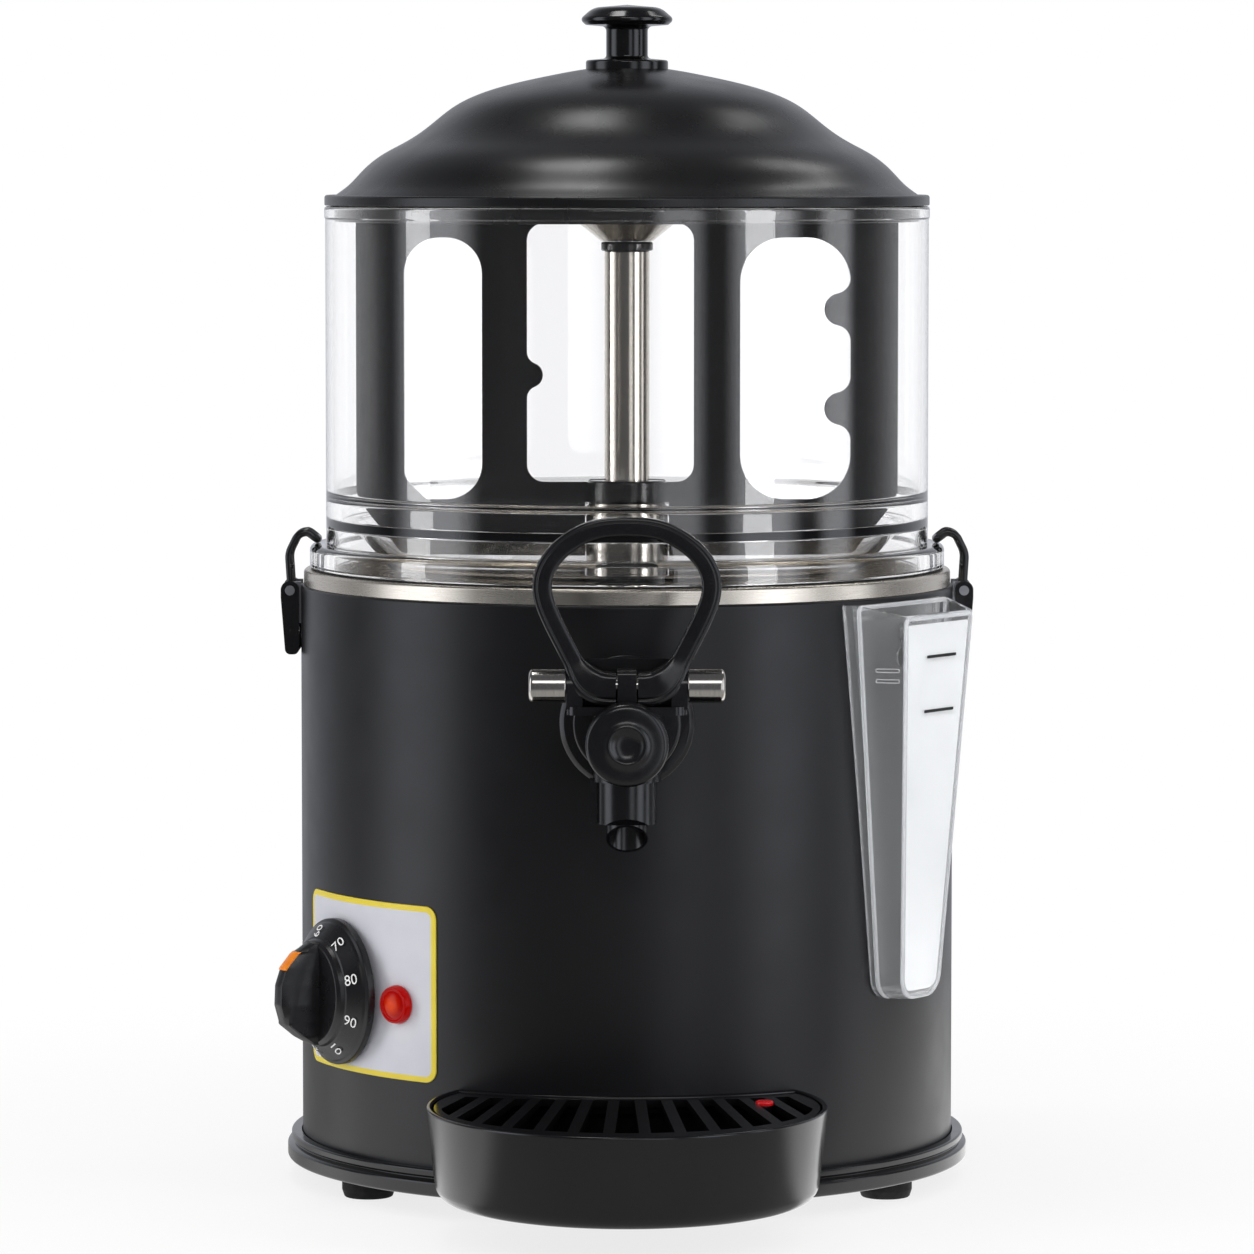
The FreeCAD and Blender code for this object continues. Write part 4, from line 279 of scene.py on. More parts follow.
@dataclass(frozen=True)
class ClearPlastic:
    """A clear moulded plastic that lets lamps through, with a faint ripple from the mould.

    Its milk is the share of light that scatters in it instead of passing.
    """

    title: str
    tint: str
    index: float
    roughness: float
    ripple_mm: float = 14.0
    relief_mm: float = 0.01
    milk: float = 0.0

    def build(self) -> Material:
        """Makes the material.

        Returns:
            The finished material.
        """
        material, tree = new_material(self.title)
        ripple = add_node(tree, "TexNoise", {
            "Vector": place_coords(tree), **features(self.ripple_mm, 1.0)})
        haze = add_node(tree, "TexNoise", {
            "Vector": place_coords(tree), **features(self.ripple_mm * 2.0, 3.0)})
        rough = add_node(tree, "MapRange", {
            "Value": haze, **noise_to(self.roughness * 0.5, self.roughness * 1.5)})
        bump = add_node(tree, "Bump", {"Height": ripple, "Distance": self.relief_mm * MM})
        glass = add_node(tree, "BsdfPrincipled", {
            "Base Color": linear(self.tint), "Roughness": rough, "IOR": self.index,
            "Transmission Weight": 1.0 - self.milk, "Normal": bump})
        path = add_node(tree, "LightPath")
        through = add_node(tree, "BsdfTransparent", {"Color": linear(self.tint)})
        mixed = add_node(tree, "MixShader", {
            0: path.outputs["Is Shadow Ray"], 1: glass, 2: through})
        add_node(tree, "OutputMaterial", {"Surface": mixed})
        return material


@dataclass(frozen=True)
class PrintedPanel:
    """A screen-printed polyester overlay: a pale ground with a coloured border along its edge."""

    title: str
    ground: str
    ground_shade: str
    border: str
    border_shade: str
    half_w: float
    half_h: float
    corner: float
    border_w: float
    ink_edge: float = 0.12
    patch_mm: float = 22.0
    weave_mm: float = 0.35
    relief_mm: float = 0.006

    def edge_distance(self, tree: NodeTree) -> Node:
        """How far inside the rounded outline a point is, in millimetres.

        The distance is corner less the length of the part of |p| that lies past the straight
        sides' corner centres, where p comes from the UV map in units of UV_SPAN millimetres.

        Args:
            tree: the material's tree.

        Returns:
            The node whose first output is the distance.
        """
        coords = add_node(tree, "TexCoord")
        parts = add_node(tree, "SeparateXYZ", {0: coords.outputs["UV"]})
        past, squares = [], []
        for axis, half in ((0, self.half_w), (1, self.half_h)):
            value = add_node(tree, "Math", {0: parts.outputs[axis], 1: 0.5}, SUBTRACT)
            value = add_node(tree, "Math", {0: value}, ABSOLUTE)
            value = add_node(tree, "Math", {0: value, 1: UV_SPAN}, MULTIPLY)
            value = add_node(tree, "Math", {0: value, 1: half - self.corner}, SUBTRACT)
            past.append(value)
            value = add_node(tree, "Math", {0: value, 1: 0.0}, MAXIMUM)
            squares.append(add_node(tree, "Math", {0: value, 1: 2.0}, POWER))
        total = add_node(tree, "Math", {0: squares[0], 1: squares[1]}, ADD)
        length = add_node(tree, "Math", {0: total, 1: 0.5}, POWER)
        nearer = add_node(tree, "Math", {0: past[0], 1: past[1]}, MAXIMUM)
        inside = add_node(tree, "Math", {0: nearer, 1: 0.0}, MINIMUM)
        signed = add_node(tree, "Math", {0: length, 1: inside}, ADD)
        return add_node(tree, "Math", {0: self.corner, 1: signed}, SUBTRACT)

    def build(self) -> Material:
        """Makes the material.

        Returns:
            The finished material.
        """
        material, tree = new_material(self.title)
        inner = add_node(tree, "MapRange", {
            "Value": self.edge_distance(tree), "From Min": self.border_w - self.ink_edge,
            "From Max": self.border_w + self.ink_edge})
        here = place_coords(tree)
        patch = add_node(tree, "TexNoise", {"Vector": here, **features(self.patch_mm, 3.0)})
        patch = add_node(tree, "MapRange", {"Value": patch, **noise_to(0.0, 1.0)})
        fine = add_node(tree, "TexNoise", {"Vector": here, **features(self.weave_mm, 2.0)})
        pairs = ((self.border, self.border_shade), (self.ground, self.ground_shade))
        inks = [add_node(tree, "Mix", {0: patch, 6: linear(first), 7: linear(second)},
                         COLOURS).outputs[2] for first, second in pairs]
        colour = add_node(tree, "Mix", {0: inner, 6: inks[0], 7: inks[1]}, COLOURS)
        bump = add_node(tree, "Bump", {"Height": fine, "Distance": self.relief_mm * MM})
        rough = add_node(tree, "MapRange", {"Value": fine, **noise_to(0.3, 0.4)})
        shader = add_node(tree, "BsdfPrincipled", {
            "Base Color": colour.outputs[2], "Roughness": rough, "Normal": bump})
        add_node(tree, "OutputMaterial", {"Surface": shader})
        return material


@dataclass(frozen=True)
class LitLens:
    """A translucent acrylic lens lit from behind: deep red at its rim, orange at its middle."""

    title: str
    rim: str
    middle: str
    centre: tuple[float, float, float]
    radius: float
    glow: float
    index: float = 1.49
    specular: float = 0.15
    hot_share: float = 0.8
    grain_mm: float = 1.2

    def build(self) -> Material:
        """Makes the material.

        Returns:
            The finished material.
        """
        material, tree = new_material(self.title)
        place = tuple(-value * MM for value in self.centre)
        away = add_node(tree, "VectorMath", {0: place_coords(tree, shift=place)}, LENGTH)
        near = add_node(tree, "MapRange", {
            "Value": away.outputs["Value"], "From Min": 0.0,
            "From Max": self.radius * self.hot_share * MM, "To Min": 1.0, "To Max": 0.0}, SMOOTH)
        grain = add_node(tree, "TexNoise", {
            "Vector": place_coords(tree), **features(self.grain_mm, 2.0)})
        uneven = add_node(tree, "MapRange", {"Value": grain, **noise_to(0.8, 1.0)})
        hot = add_node(tree, "Math", {0: near, 1: uneven}, MULTIPLY)
        colour = add_node(tree, "Mix", {
            0: hot, 6: linear(self.rim), 7: linear(self.middle)}, COLOURS)
        rough = add_node(tree, "MapRange", {"Value": grain, **noise_to(0.08, 0.14)})
        shader = add_node(tree, "BsdfPrincipled", {
            "Base Color": colour.outputs[2], "Roughness": rough, "IOR": self.index,
            "Specular IOR Level": self.specular, "Emission Color": colour.outputs[2],
            "Emission Strength": self.glow})
        add_node(tree, "OutputMaterial", {"Surface": shader})
        return material


# ---------------------------------------------------------------- curves and surfaces
def rounded(corners: Sequence[Corner], closed: bool = True, steps: int = 7,
            soften: float = 0.25) -> Array:
    """A polyline through corners, with a tangent arc at each and a point just outside each arc.

    At a corner whose sides meet at the angle 2h, an arc of radius r starts and ends at r / tan h
    from the corner, and its centre is at r / sin h along the bisector.

    Args:
        corners: (a, b) or (a, b, radius) in order.
        closed: whether the last corner joins the first.
        steps: divisions of each arc.
        soften: the radius at corners that give none.

    Returns:
        Points of shape (n, 2). The count depends only on the corners that are rounded.
    """
    places = np.array([corner[:2] for corner in corners], float)
    radii = np.array([corner[2] if len(corner) > 2 else soften for corner in corners], float)
    count = len(corners)
    back = np.roll(places, 1, axis=0) - places
    ahead = np.roll(places, -1, axis=0) - places
    lengths = np.linalg.norm(ahead, axis=1)
    back_dir = back / np.maximum(np.linalg.norm(back, axis=1)[:, None], 1e-9)
    ahead_dir = ahead / np.maximum(lengths[:, None], 1e-9)
    half = np.arccos(np.clip((back_dir * ahead_dir).sum(1), -1, 1)) / 2
    half = np.clip(half, 0.02, math.pi / 2 - 1e-4)
    side = np.minimum(lengths, np.roll(lengths, 1)) * 0.46
    explicit = np.array([len(corner) > 2 for corner in corners])
    radii = np.where(explicit, radii, np.minimum(radii, side * np.tan(half)))
    if not closed:
        radii[[0, -1]] = 0.0
    runs = radii / np.tan(half)
    spare = np.maximum(lengths - runs - np.roll(runs, -1), 0.0) * 0.3
    lead_ahead = np.minimum(spare, 0.4)
    lead_back = np.roll(lead_ahead, 1)
    share = np.linspace(0.0, 1.0, steps + 1)[:, None]
    pieces = []
    for index in range(count):
        if radii[index] <= 0:
            pieces.append(places[index][None])
            continue
        here, near, far = places[index], back_dir[index], ahead_dir[index]
        middle = near + far
        middle = middle / np.linalg.norm(middle)
        centre = here + middle * radii[index] / math.sin(half[index])
        first = here + near * runs[index] - centre
        last = here + far * runs[index] - centre
        sweep = math.pi - 2 * half[index]
        arc = centre + (np.sin((1 - share) * sweep) * first
                        + np.sin(share * sweep) * last) / math.sin(sweep)
        pieces += [(here + near * (runs[index] + lead_back[index]))[None], arc,
                   (here + far * (runs[index] + lead_ahead[index]))[None]]
    return np.concatenate(pieces)


def refined(outline: Array, step: float) -> Array:
    """A closed outline with its long sides divided evenly.

    Args:
        outline: points of shape (n, 2).
        step: the longest side left.

    Returns:
        Points of shape (m, 2).
    """
    ahead = np.roll(outline, -1, axis=0) - outline
    counts = np.maximum(1, np.ceil(np.linalg.norm(ahead, axis=1) / step)).astype(int)
    index = np.repeat(np.arange(len(outline)), counts)
    first = np.concatenate([[0], np.cumsum(counts)[:-1]])
    share = (np.arange(counts.sum()) - first[index]) / counts[index]
    return outline[index] + ahead[index] * share[:, None]


def bulge(along: Array, middle: float, half: float, rise: float) -> Array:
    """Height of a round tab whose head and two feet are arcs of one radius.

    With r = (rise^2 + half^2) / (4 rise) and d the distance from the middle, the height is
    rise - r + sqrt(r^2 - d^2) up to half / 2, and r - sqrt(r^2 - (half - d)^2) from there on.
    """
    r = (rise ** 2 + half ** 2) / (4 * rise)
    away = np.minimum(np.abs(along - middle), half)
    head = rise - r + np.sqrt(r ** 2 - np.minimum(away, half / 2) ** 2)
    foot = r - np.sqrt(r ** 2 - np.minimum(half - away, half / 2) ** 2)
    return np.where(away <= half / 2, head, foot)


def spline(points: Sequence[tuple[float, float]], start: tuple[float, float],
           end: tuple[float, float], steps: int = 10) -> Array:
    """A smooth curve through points, as clamped cubic pieces.

    The tangents m make the curve's bend continuous: with chord lengths h, each inner point has
    h[i] m[i-1] + 2 (h[i-1] + h[i]) m[i] + h[i-1] m[i+1] equal to three times the weighted slopes.

    Args:
        points: places that the curve passes.
        start: direction at the first point.
        end: direction at the last point.
        steps: divisions between two points.

    Returns:
        Points of shape (n, 2).
    """
    places = np.array(points, float)
    chords = np.linalg.norm(np.diff(places, axis=0), axis=1)
    count = len(places)
    matrix = np.zeros((count, count))
    known = np.zeros((count, 2))
    matrix[0, 0] = matrix[-1, -1] = 1.0
    known[0] = np.array(start) / np.linalg.norm(start)
    known[-1] = np.array(end) / np.linalg.norm(end)
    inner = np.arange(1, count - 1)
    before, after = chords[:-1], chords[1:]
    matrix[inner, inner - 1] = after
    matrix[inner, inner] = 2 * (before + after)
    matrix[inner, inner + 1] = before
    slopes = np.diff(places, axis=0) / chords[:, None]
    known[1:-1] = 3 * (after[:, None] * slopes[:-1] + before[:, None] * slopes[1:])
    tangents = np.linalg.solve(matrix, known)
    share = np.linspace(0.0, 1.0, steps, endpoint=False)[None, :, None]
    p0, p1 = places[:-1, None], places[1:, None]
    spans = chords[:, None, None]
    m0, m1 = tangents[:-1, None] * spans, tangents[1:, None] * spans
    curve = ((2 * share ** 3 - 3 * share ** 2 + 1) * p0 + (share ** 3 - 2 * share ** 2 + share) * m0
             + (3 * share ** 2 - 2 * share ** 3) * p1 + (share ** 3 - share ** 2) * m1)
    return np.concatenate([curve.reshape(-1, 2), places[-1:]])


@dataclass
class Surface:
    """Points on a grid of rows and columns, and how the grid closes.

    Attributes:
        points: shape (rows, columns, 3).
        wrap_rows: whether the last row joins the first.
        wrap_columns: whether the last column joins the first.
        cap: whether the first and last rows are closed with a face each.
        uv: optional shape (rows, columns, 2).
    """

    points: Array
    wrap_rows: bool = False
    wrap_columns: bool = True
    cap: bool = False
    uv: Optional[Array] = None

    def faces(self, offset: int) -> list[list[int]]:
        """Quads between neighbouring grid points, and the caps.

        Args:
            offset: number of the first point in the mesh.

        Returns:
            Vertex numbers of each face.
        """
        rows, columns = self.points.shape[:2]
        i = np.arange(rows if self.wrap_rows else rows - 1)[:, None]
        j = np.arange(columns if self.wrap_columns else columns - 1)[None]
        below, above = i * columns, (i + 1) % rows * columns
        right = (j + 1) % columns
        quads = np.stack([below + j, below + right, above + right, above + j], axis=-1)
        faces = (quads.reshape(-1, 4) + offset).tolist()
        if self.cap:
            ring = np.arange(columns) + offset
            faces += [ring[::-1].tolist(), (ring + (rows - 1) * columns).tolist()]
        return faces

    def moved(self, change: Callable[[Array], Array]) -> "Surface":
        """The same grid with its points changed by a function on the whole array."""
        return Surface(change(self.points), self.wrap_rows, self.wrap_columns, self.cap, self.uv)


def plate_xz(outline: Array, front: float, back: float) -> Surface:
    """A flat plate: the outline's (x, z) at two depths, closed by its faces."""
    x, z = outline[:, 0], outline[:, 1]
    grid = np.stack([np.stack([x, np.full_like(x, depth), z], axis=-1) for depth in (front, back)])
    return Surface(grid, cap=True)


def turned(profile: Array, turns: int = 192, closed: bool = True) -> Surface:
    """A surface of revolution about Z: P(u, v) = (r(v) cos u, r(v) sin u, z(v)).

    Args:
        profile: (r, z) points. With closed False it runs from the axis back to the axis.
        turns: divisions round the axis.
        closed: whether the profile is a closed ring away from the axis.

    Returns:
        The surface.
    """
    angle = np.linspace(0.0, 2 * math.pi, turns, endpoint=False)
    r, z = profile[:, :1], profile[:, 1:]
    grid = np.stack([r * np.cos(angle), r * np.sin(angle), z + 0 * angle], axis=-1)
    return Surface(grid, wrap_rows=closed)


def at_azimuth(azimuth: float, height: float = 0.0) -> Callable[[Array], Array]:
    """Carries points built sideways, up and outwards to an azimuth and height.

    Args:
        azimuth: degrees from the front.
        height: added to the upward coordinate.

    Returns:
        A function on arrays of points.
    """
    turn = math.radians(azimuth)
    side = np.array([math.cos(turn), math.sin(turn), 0.0])
    out = np.array([math.sin(turn), -math.cos(turn), 0.0])

    def carry(points: Array) -> Array:
        """sideways * side + (up + height) * Z + outward * out."""
        return (points[..., :1] * side + (points[..., 1:2] + height) * np.array([0.0, 0.0, 1.0])
                + points[..., 2:] * out)
    return carry


def tube_along(path: Array, radius: float, sides: int = 20, closed: bool = False) -> Surface:
    """A round tube along a path: P(u, v) = path(v) + radius (cos u n(v) + sin u b(v)).

    The frame n, b is carried along the path with the least turning.

    Args:
        path: points of shape (n, 3).
        radius: the tube's radius.
        sides: divisions round the tube.
        closed: whether the path is a loop in one plane.

    Returns:
        The surface, capped if the path is open.
    """
    if closed:
        tangent = np.roll(path, -1, axis=0) - np.roll(path, 1, axis=0)
    else:
        tangent = np.gradient(path, axis=0)
    tangent = tangent / np.linalg.norm(tangent, axis=1)[:, None]
    normal = np.zeros_like(path)
    guess = np.eye(3)[np.argmin(np.abs(tangent[0]))]
    for index, direction in enumerate(tangent):
        guess = guess - direction * guess.dot(direction)
        guess = guess / np.linalg.norm(guess)
        normal[index] = guess
    across = np.cross(tangent, normal)
    angle = np.linspace(0.0, 2 * math.pi, sides, endpoint=False)[None, :, None]
    ring = np.cos(angle) * normal[:, None] + np.sin(angle) * across[:, None]
    grid = path[:, None] + radius * ring
    return Surface(grid, wrap_rows=closed, cap=not closed)


# ---------------------------------------------------------------- the workshop
@dataclass
class Workshop:
    """Turns surfaces into pieces, and gives pieces and CAD nodes their finish."""

    nodes: dict
    finishes: dict = field(default_factory=dict)
    made: int = 0

    def material(self, finish: object) -> Material:
        """The material of a finish, built once."""
        if finish.title not in self.finishes:
            self.finishes[finish.title] = finish.build()
        return self.finishes[finish.title]

    def mesh(self, name: str, surfaces: Sequence[Surface], sharp: float = 32.0) -> Mesh:
        """Joins surfaces into one mesh in metres, with doubles merged and faces outwards.

        Args:
            name: the mesh's name.
            surfaces: the shells to join.
            sharp: edges bent by more degrees than this stay sharp.

        Returns:
            The mesh.
        """
        faces, points, offset = [], [], 0
        for surface in surfaces:
            faces += surface.faces(offset)
            flat = surface.points.reshape(-1, 3)
            points.append(flat)
            offset += len(flat)
        mesh = bpy.data.meshes.new(name)
        mesh.from_pydata((np.concatenate(points) * MM).tolist(), [], faces)
        if any(surface.uv is not None for surface in surfaces):
            uv = np.concatenate([surface.uv.reshape(-1, 2) for surface in surfaces])
            corner = np.empty(len(mesh.loops), np.int32)
            mesh.loops.foreach_get("vertex_index", corner)
            mesh.uv_layers.new(name="sheet").data.foreach_set("uv", uv[corner].ravel())
        self.clean(mesh, sharp)
        return mesh

    @staticmethod
    def clean(mesh: Mesh, sharp: float) -> None:
        """Merges doubles, drops faces without area, points faces outwards and marks sharp edges."""
        work = bmesh.new()
        work.from_mesh(mesh)
        bmesh.ops.remove_doubles(work, verts=work.verts, dist=2e-6)
        bmesh.ops.dissolve_degenerate(work, edges=work.edges, dist=1e-7)
        bmesh.ops.recalc_face_normals(work, faces=work.faces)
        work.to_mesh(mesh)
        work.free()
        mesh.polygons.foreach_set("use_smooth", np.ones(len(mesh.polygons), bool))
        mesh.set_sharp_from_angle(angle=math.radians(sharp))

    def piece(self, name: str, surfaces: Sequence[Surface], finish: object, body: Body,
              slot: Slot, replaces: Sequence[str] = (), sharp: float = 32.0) -> Object:
        """Makes a piece from surfaces and puts it in the scene.

        Args:
            name: the piece's name.
            surfaces: its shells.
            finish: its finish.
            body: the body that it rides on.
            slot: the record's material slot, which is not used.
            replaces: CAD nodes that it stands for.
            sharp: edges bent by more degrees than this stay sharp.

        Returns:
            The object.
        """
        mesh = self.mesh(name, surfaces, sharp)
        return self.enter(name, mesh, finish, body, slot, replaces)

    def enter(self, name: str, mesh: Mesh, finish: object, body: Body, slot: Slot,
              replaces: Sequence[str] = ()) -> Object:
        """Puts a finished mesh in the scene as a piece; the arguments are those of piece."""
        thing = bpy.data.objects.new(name, mesh)
        bpy.context.scene.collection.objects.link(thing)
        thing.data.materials.clear()
        thing.data.materials.append(self.material(finish))
        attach(thing, body.value)
        if replaces:
            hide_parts(*replaces)
        self.made += 1
        LOG.info("piece %s: %d faces on %s", name, len(mesh.polygons), body.value)
        return thing

    def copied(self, name: str, node: str) -> Mesh:
        """A copy of a CAD node's mesh with its triangles merged into faces."""
        mesh = bpy.data.meshes.new(name)
        source = self.nodes[node].data
        points = np.empty(len(source.vertices) * 3)
        source.vertices.foreach_get("co", points)
        corner = np.empty(len(source.loops), np.int32)
        source.loops.foreach_get("vertex_index", corner)
        mesh.from_pydata(points.reshape(-1, 3).tolist(), [], corner.reshape(-1, 3).tolist())
        work = bmesh.new()
        work.from_mesh(mesh)
        bmesh.ops.remove_doubles(work, verts=work.verts, dist=1e-6)
        bmesh.ops.dissolve_limit(work, angle_limit=math.radians(0.5), verts=work.verts,
                                 edges=work.edges)
        work.to_mesh(mesh)
        work.free()
        mesh.polygons.foreach_set("use_smooth", np.ones(len(mesh.polygons), bool))
        return mesh

    def softened(self, name: str, node: str, finish: object, body: Body, slot: Slot,
                 width: float = 0.3, segments: int = 3) -> Object:
        """A copy of a CAD node with its edges rounded.

        Args:
            name: the piece's name.
            node: the CAD node that it copies and stands for.
            finish: its finish.
            body: the body that it rides on.
            slot: the record's material slot, which is not used.
            width: how far each edge is drawn back.
            segments: steps of the rounding.

        Returns:
            The object.
        """
        thing = self.enter(name, self.copied(name, node), finish, body, slot, [node])
        self.ease(thing, width, segments)
        return thing

    @staticmethod
    def ease(thing: Object, width: float, segments: int = 3) -> None:
        """Rounds a piece's edges with a live bevel, drawn back by the width."""
        bevel = thing.modifiers.new("edges", "BEVEL")
        bevel.width = width * MM
        bevel.segments = segments
        bevel.limit_method = "ANGLE"
        bevel.angle_limit = math.radians(35)
        bevel.harden_normals = True
        bevel.use_clamp_overlap = True

    def dress(self, finish: object, *names: str) -> None:
        """Gives CAD nodes that are shown as they are a finish.

        Args:
            finish: the finish.
            names: the nodes.
        """
        for name in names:
            slots = self.nodes[name].material_slots
            if not slots:
                self.nodes[name].data.materials.append(self.material(finish))
            for place in slots:
                place.material = self.material(finish)
            LOG.info("node %s: %s", name, finish.title)

    def carved(self, name: str, body: Mesh, cutters: Sequence[Sequence[Surface]],
               joined: Sequence[Sequence[Surface]] = ()) -> Mesh:
        """A form with other forms joined to it and then cut out of it.

        Args:
            name: the mesh's name.
            body: the form.
            cutters: the forms to cut out.
            joined: the forms to join first.

        Returns:
            The mesh, with its edges marked as in clean.
        """
        thing = bpy.data.objects.new(name, body)
        bpy.context.scene.collection.objects.link(thing)
        helpers = []
        for operation, forms in (("UNION", joined), ("DIFFERENCE", cutters)):
            for number, form in enumerate(forms):
                title = "%s_%s_%d" % (name, operation.lower(), number)
                helper = bpy.data.objects.new(title, self.mesh(title, form))
                bpy.context.scene.collection.objects.link(helper)
                helpers.append(helper)
                step = thing.modifiers.new(title, "BOOLEAN")
                step.operation, step.object, step.solver = operation, helper, "EXACT"
        graph = bpy.context.evaluated_depsgraph_get()
        mesh = bpy.data.meshes.new_from_object(thing.evaluated_get(graph))
        for helper in [thing] + helpers:
            bpy.data.objects.remove(helper)
        self.clean(mesh, 32.0)
        return mesh


# ---------------------------------------------------------------- finishes of this machine
# Powder coat on sheet steel: satin black with the faint orange peel of a baked coat.
POWDER_COAT = Moulded("powder_coat_satin_black", "#0E0E10", "#111113", 0.34, 0.03, 0.9, 0.006,
                      70.0, 0.4)
# ABS dome, satin mould: black, with clear soft-edged highlights.
LID_ABS = Moulded("abs_moulded_satin", "#0F0F10", "#121213", 0.28, 0.03, 0.5, 0.004, 60.0, 0.42)
# Glass-filled nylon of the tap and the latches: black and a little glossy, with a fine grain.
TAP_NYLON = Moulded("nylon_moulded_black", "#0B0B0D", "#0F0F11", 0.22, 0.04, 0.35, 0.003, 18.0, 0.5)
# Polypropylene of the tray and the base: smooth sides that carry long highlights.
TRAY_PLASTIC = Moulded("polypropylene_black", "#0B0B0D", "#0F0F11", 0.17, 0.03, 0.6, 0.001,
                       40.0, 0.5)
# Acetal paddle: flat and glossy, because it is moulded against a polished plate.
PADDLE_ACETAL = Moulded("acetal_black", "#070708", "#0A0A0B", 0.14, 0.03, 0.8, 0.002, 40.0, 0.35)
# Phenolic knob of the thermostat.
DIAL_PHENOLIC = Moulded("phenolic_black", "#121214", "#161618", 0.30, 0.04, 0.3, 0.005, 14.0, 0.4)
# Bakelite-like knob on the lid, brighter at its turned edges.
KNOB_PHENOLIC = Moulded("phenolic_polished", "#09090A", "#0C0C0D", 0.15, 0.04, 0.5, 0.002,
                        14.0, 0.5)
# Natural rubber of feet and seals: dull, a little dusty.
RUBBER = Moulded("rubber_black", "#121212", "#1A1A1A", 0.72, 0.08, 0.5, 0.03, 9.0, 0.3)
# Polyester-coated spring wire.
COATED_WIRE = Moulded("coated_wire", "#0C0C0D", "#131314", 0.22, 0.04, 0.4, 0.003, 9.0, 0.5)
# Opal polystyrene strip behind the water column.
SCALE_OPAL = Moulded("opal_scale", "#F2F2F2", "#EAEAEB", 0.35, 0.05, 0.5, 0.003, 20.0, 0.4)
# Screen ink: matt and a little uneven where it was pressed on.
WHITE_INK = Moulded("ink_white", "#F4F4F4", "#E4E4E4", 0.5, 0.05, 0.2, 0.006, 2.0, 0.4)
# Screen ink of the level lines, on the cup.
BLACK_INK = Moulded("ink_black", "#101010", "#1A1A1A", 0.5, 0.05, 0.2, 0.006, 2.0, 0.4)
# Inset of orange ABS on the knob's ridge.
ORANGE_ABS = Moulded("abs_orange", "#F08A12", "#E2780A", 0.32, 0.05, 0.3, 0.006, 3.0, 0.5)
# Red float of the tray.
RED_ABS = Moulded("abs_red", "#D5121A", "#BE0E16", 0.28, 0.05, 0.3, 0.006, 3.0, 0.5)
# Stainless band, rolled and buffed: scratches too fine to see run round it, so these are coarser.
ROLLED_STEEL = BrushedMetal("stainless_rolled", "#E2DBCE", "#D8D0C2", 0.26, Lay.ROUND_Z, 0.3,
                            0.0006)
# Stainless column, drawn and polished along its length.
DRAWN_STEEL = BrushedMetal("stainless_drawn", "#CBC6BE", "#BEB9B0", 0.13, Lay.ROUND_Z, 0.3, 0.0004)
# Steel rod of the tap, turned: rings run round its length.
TURNED_STEEL = BrushedMetal("steel_turned", "#CDC9C3", "#BFBBB4", 0.16, Lay.ROUND_X, 0.3, 0.0005)
# Zinc-plated steel out of sight.
PLATED_STEEL = BrushedMetal("steel_plated", "#B9B9BC", "#A7A8AC", 0.34, Lay.FLAT, 0.6, 0.002)
# Polycarbonate bowl: clear and polished, with almost no ripple.
BOWL_CLEAR = ClearPlastic("polycarbonate_clear", "#FBFBFC", 1.585, 0.012, 60.0, 0.004)
# Styrene cup: clear, with a trace of milk.
CUP_CLEAR = ClearPlastic("styrene_clear", "#F8F9FA", 1.49, 0.02, 60.0, 0.0005, 0.05)
# The cup's thick moulded edges, which gather light from its walls.
CUP_EDGE = ClearPlastic("styrene_edges", "#F4F5F7", 1.49, 0.08, 60.0, 0.0005, 0.3)
# Overlay of the control panel, screen-printed on polyester.
OVERLAY = PrintedPanel("polyester_overlay", "#D2D3DA", "#C9CAD3", "#E8D440", "#DFC832",
                       43.57, 35.1, 5.2, 2.3)
# Lens of the lamp: cast acrylic, deep red, with its bulb close behind.
LENS_RED = LitLens("acrylic_red_lit", "#860301", "#F05A06", (-91.5, -100.3, 83.4), 7.2, 0.6)


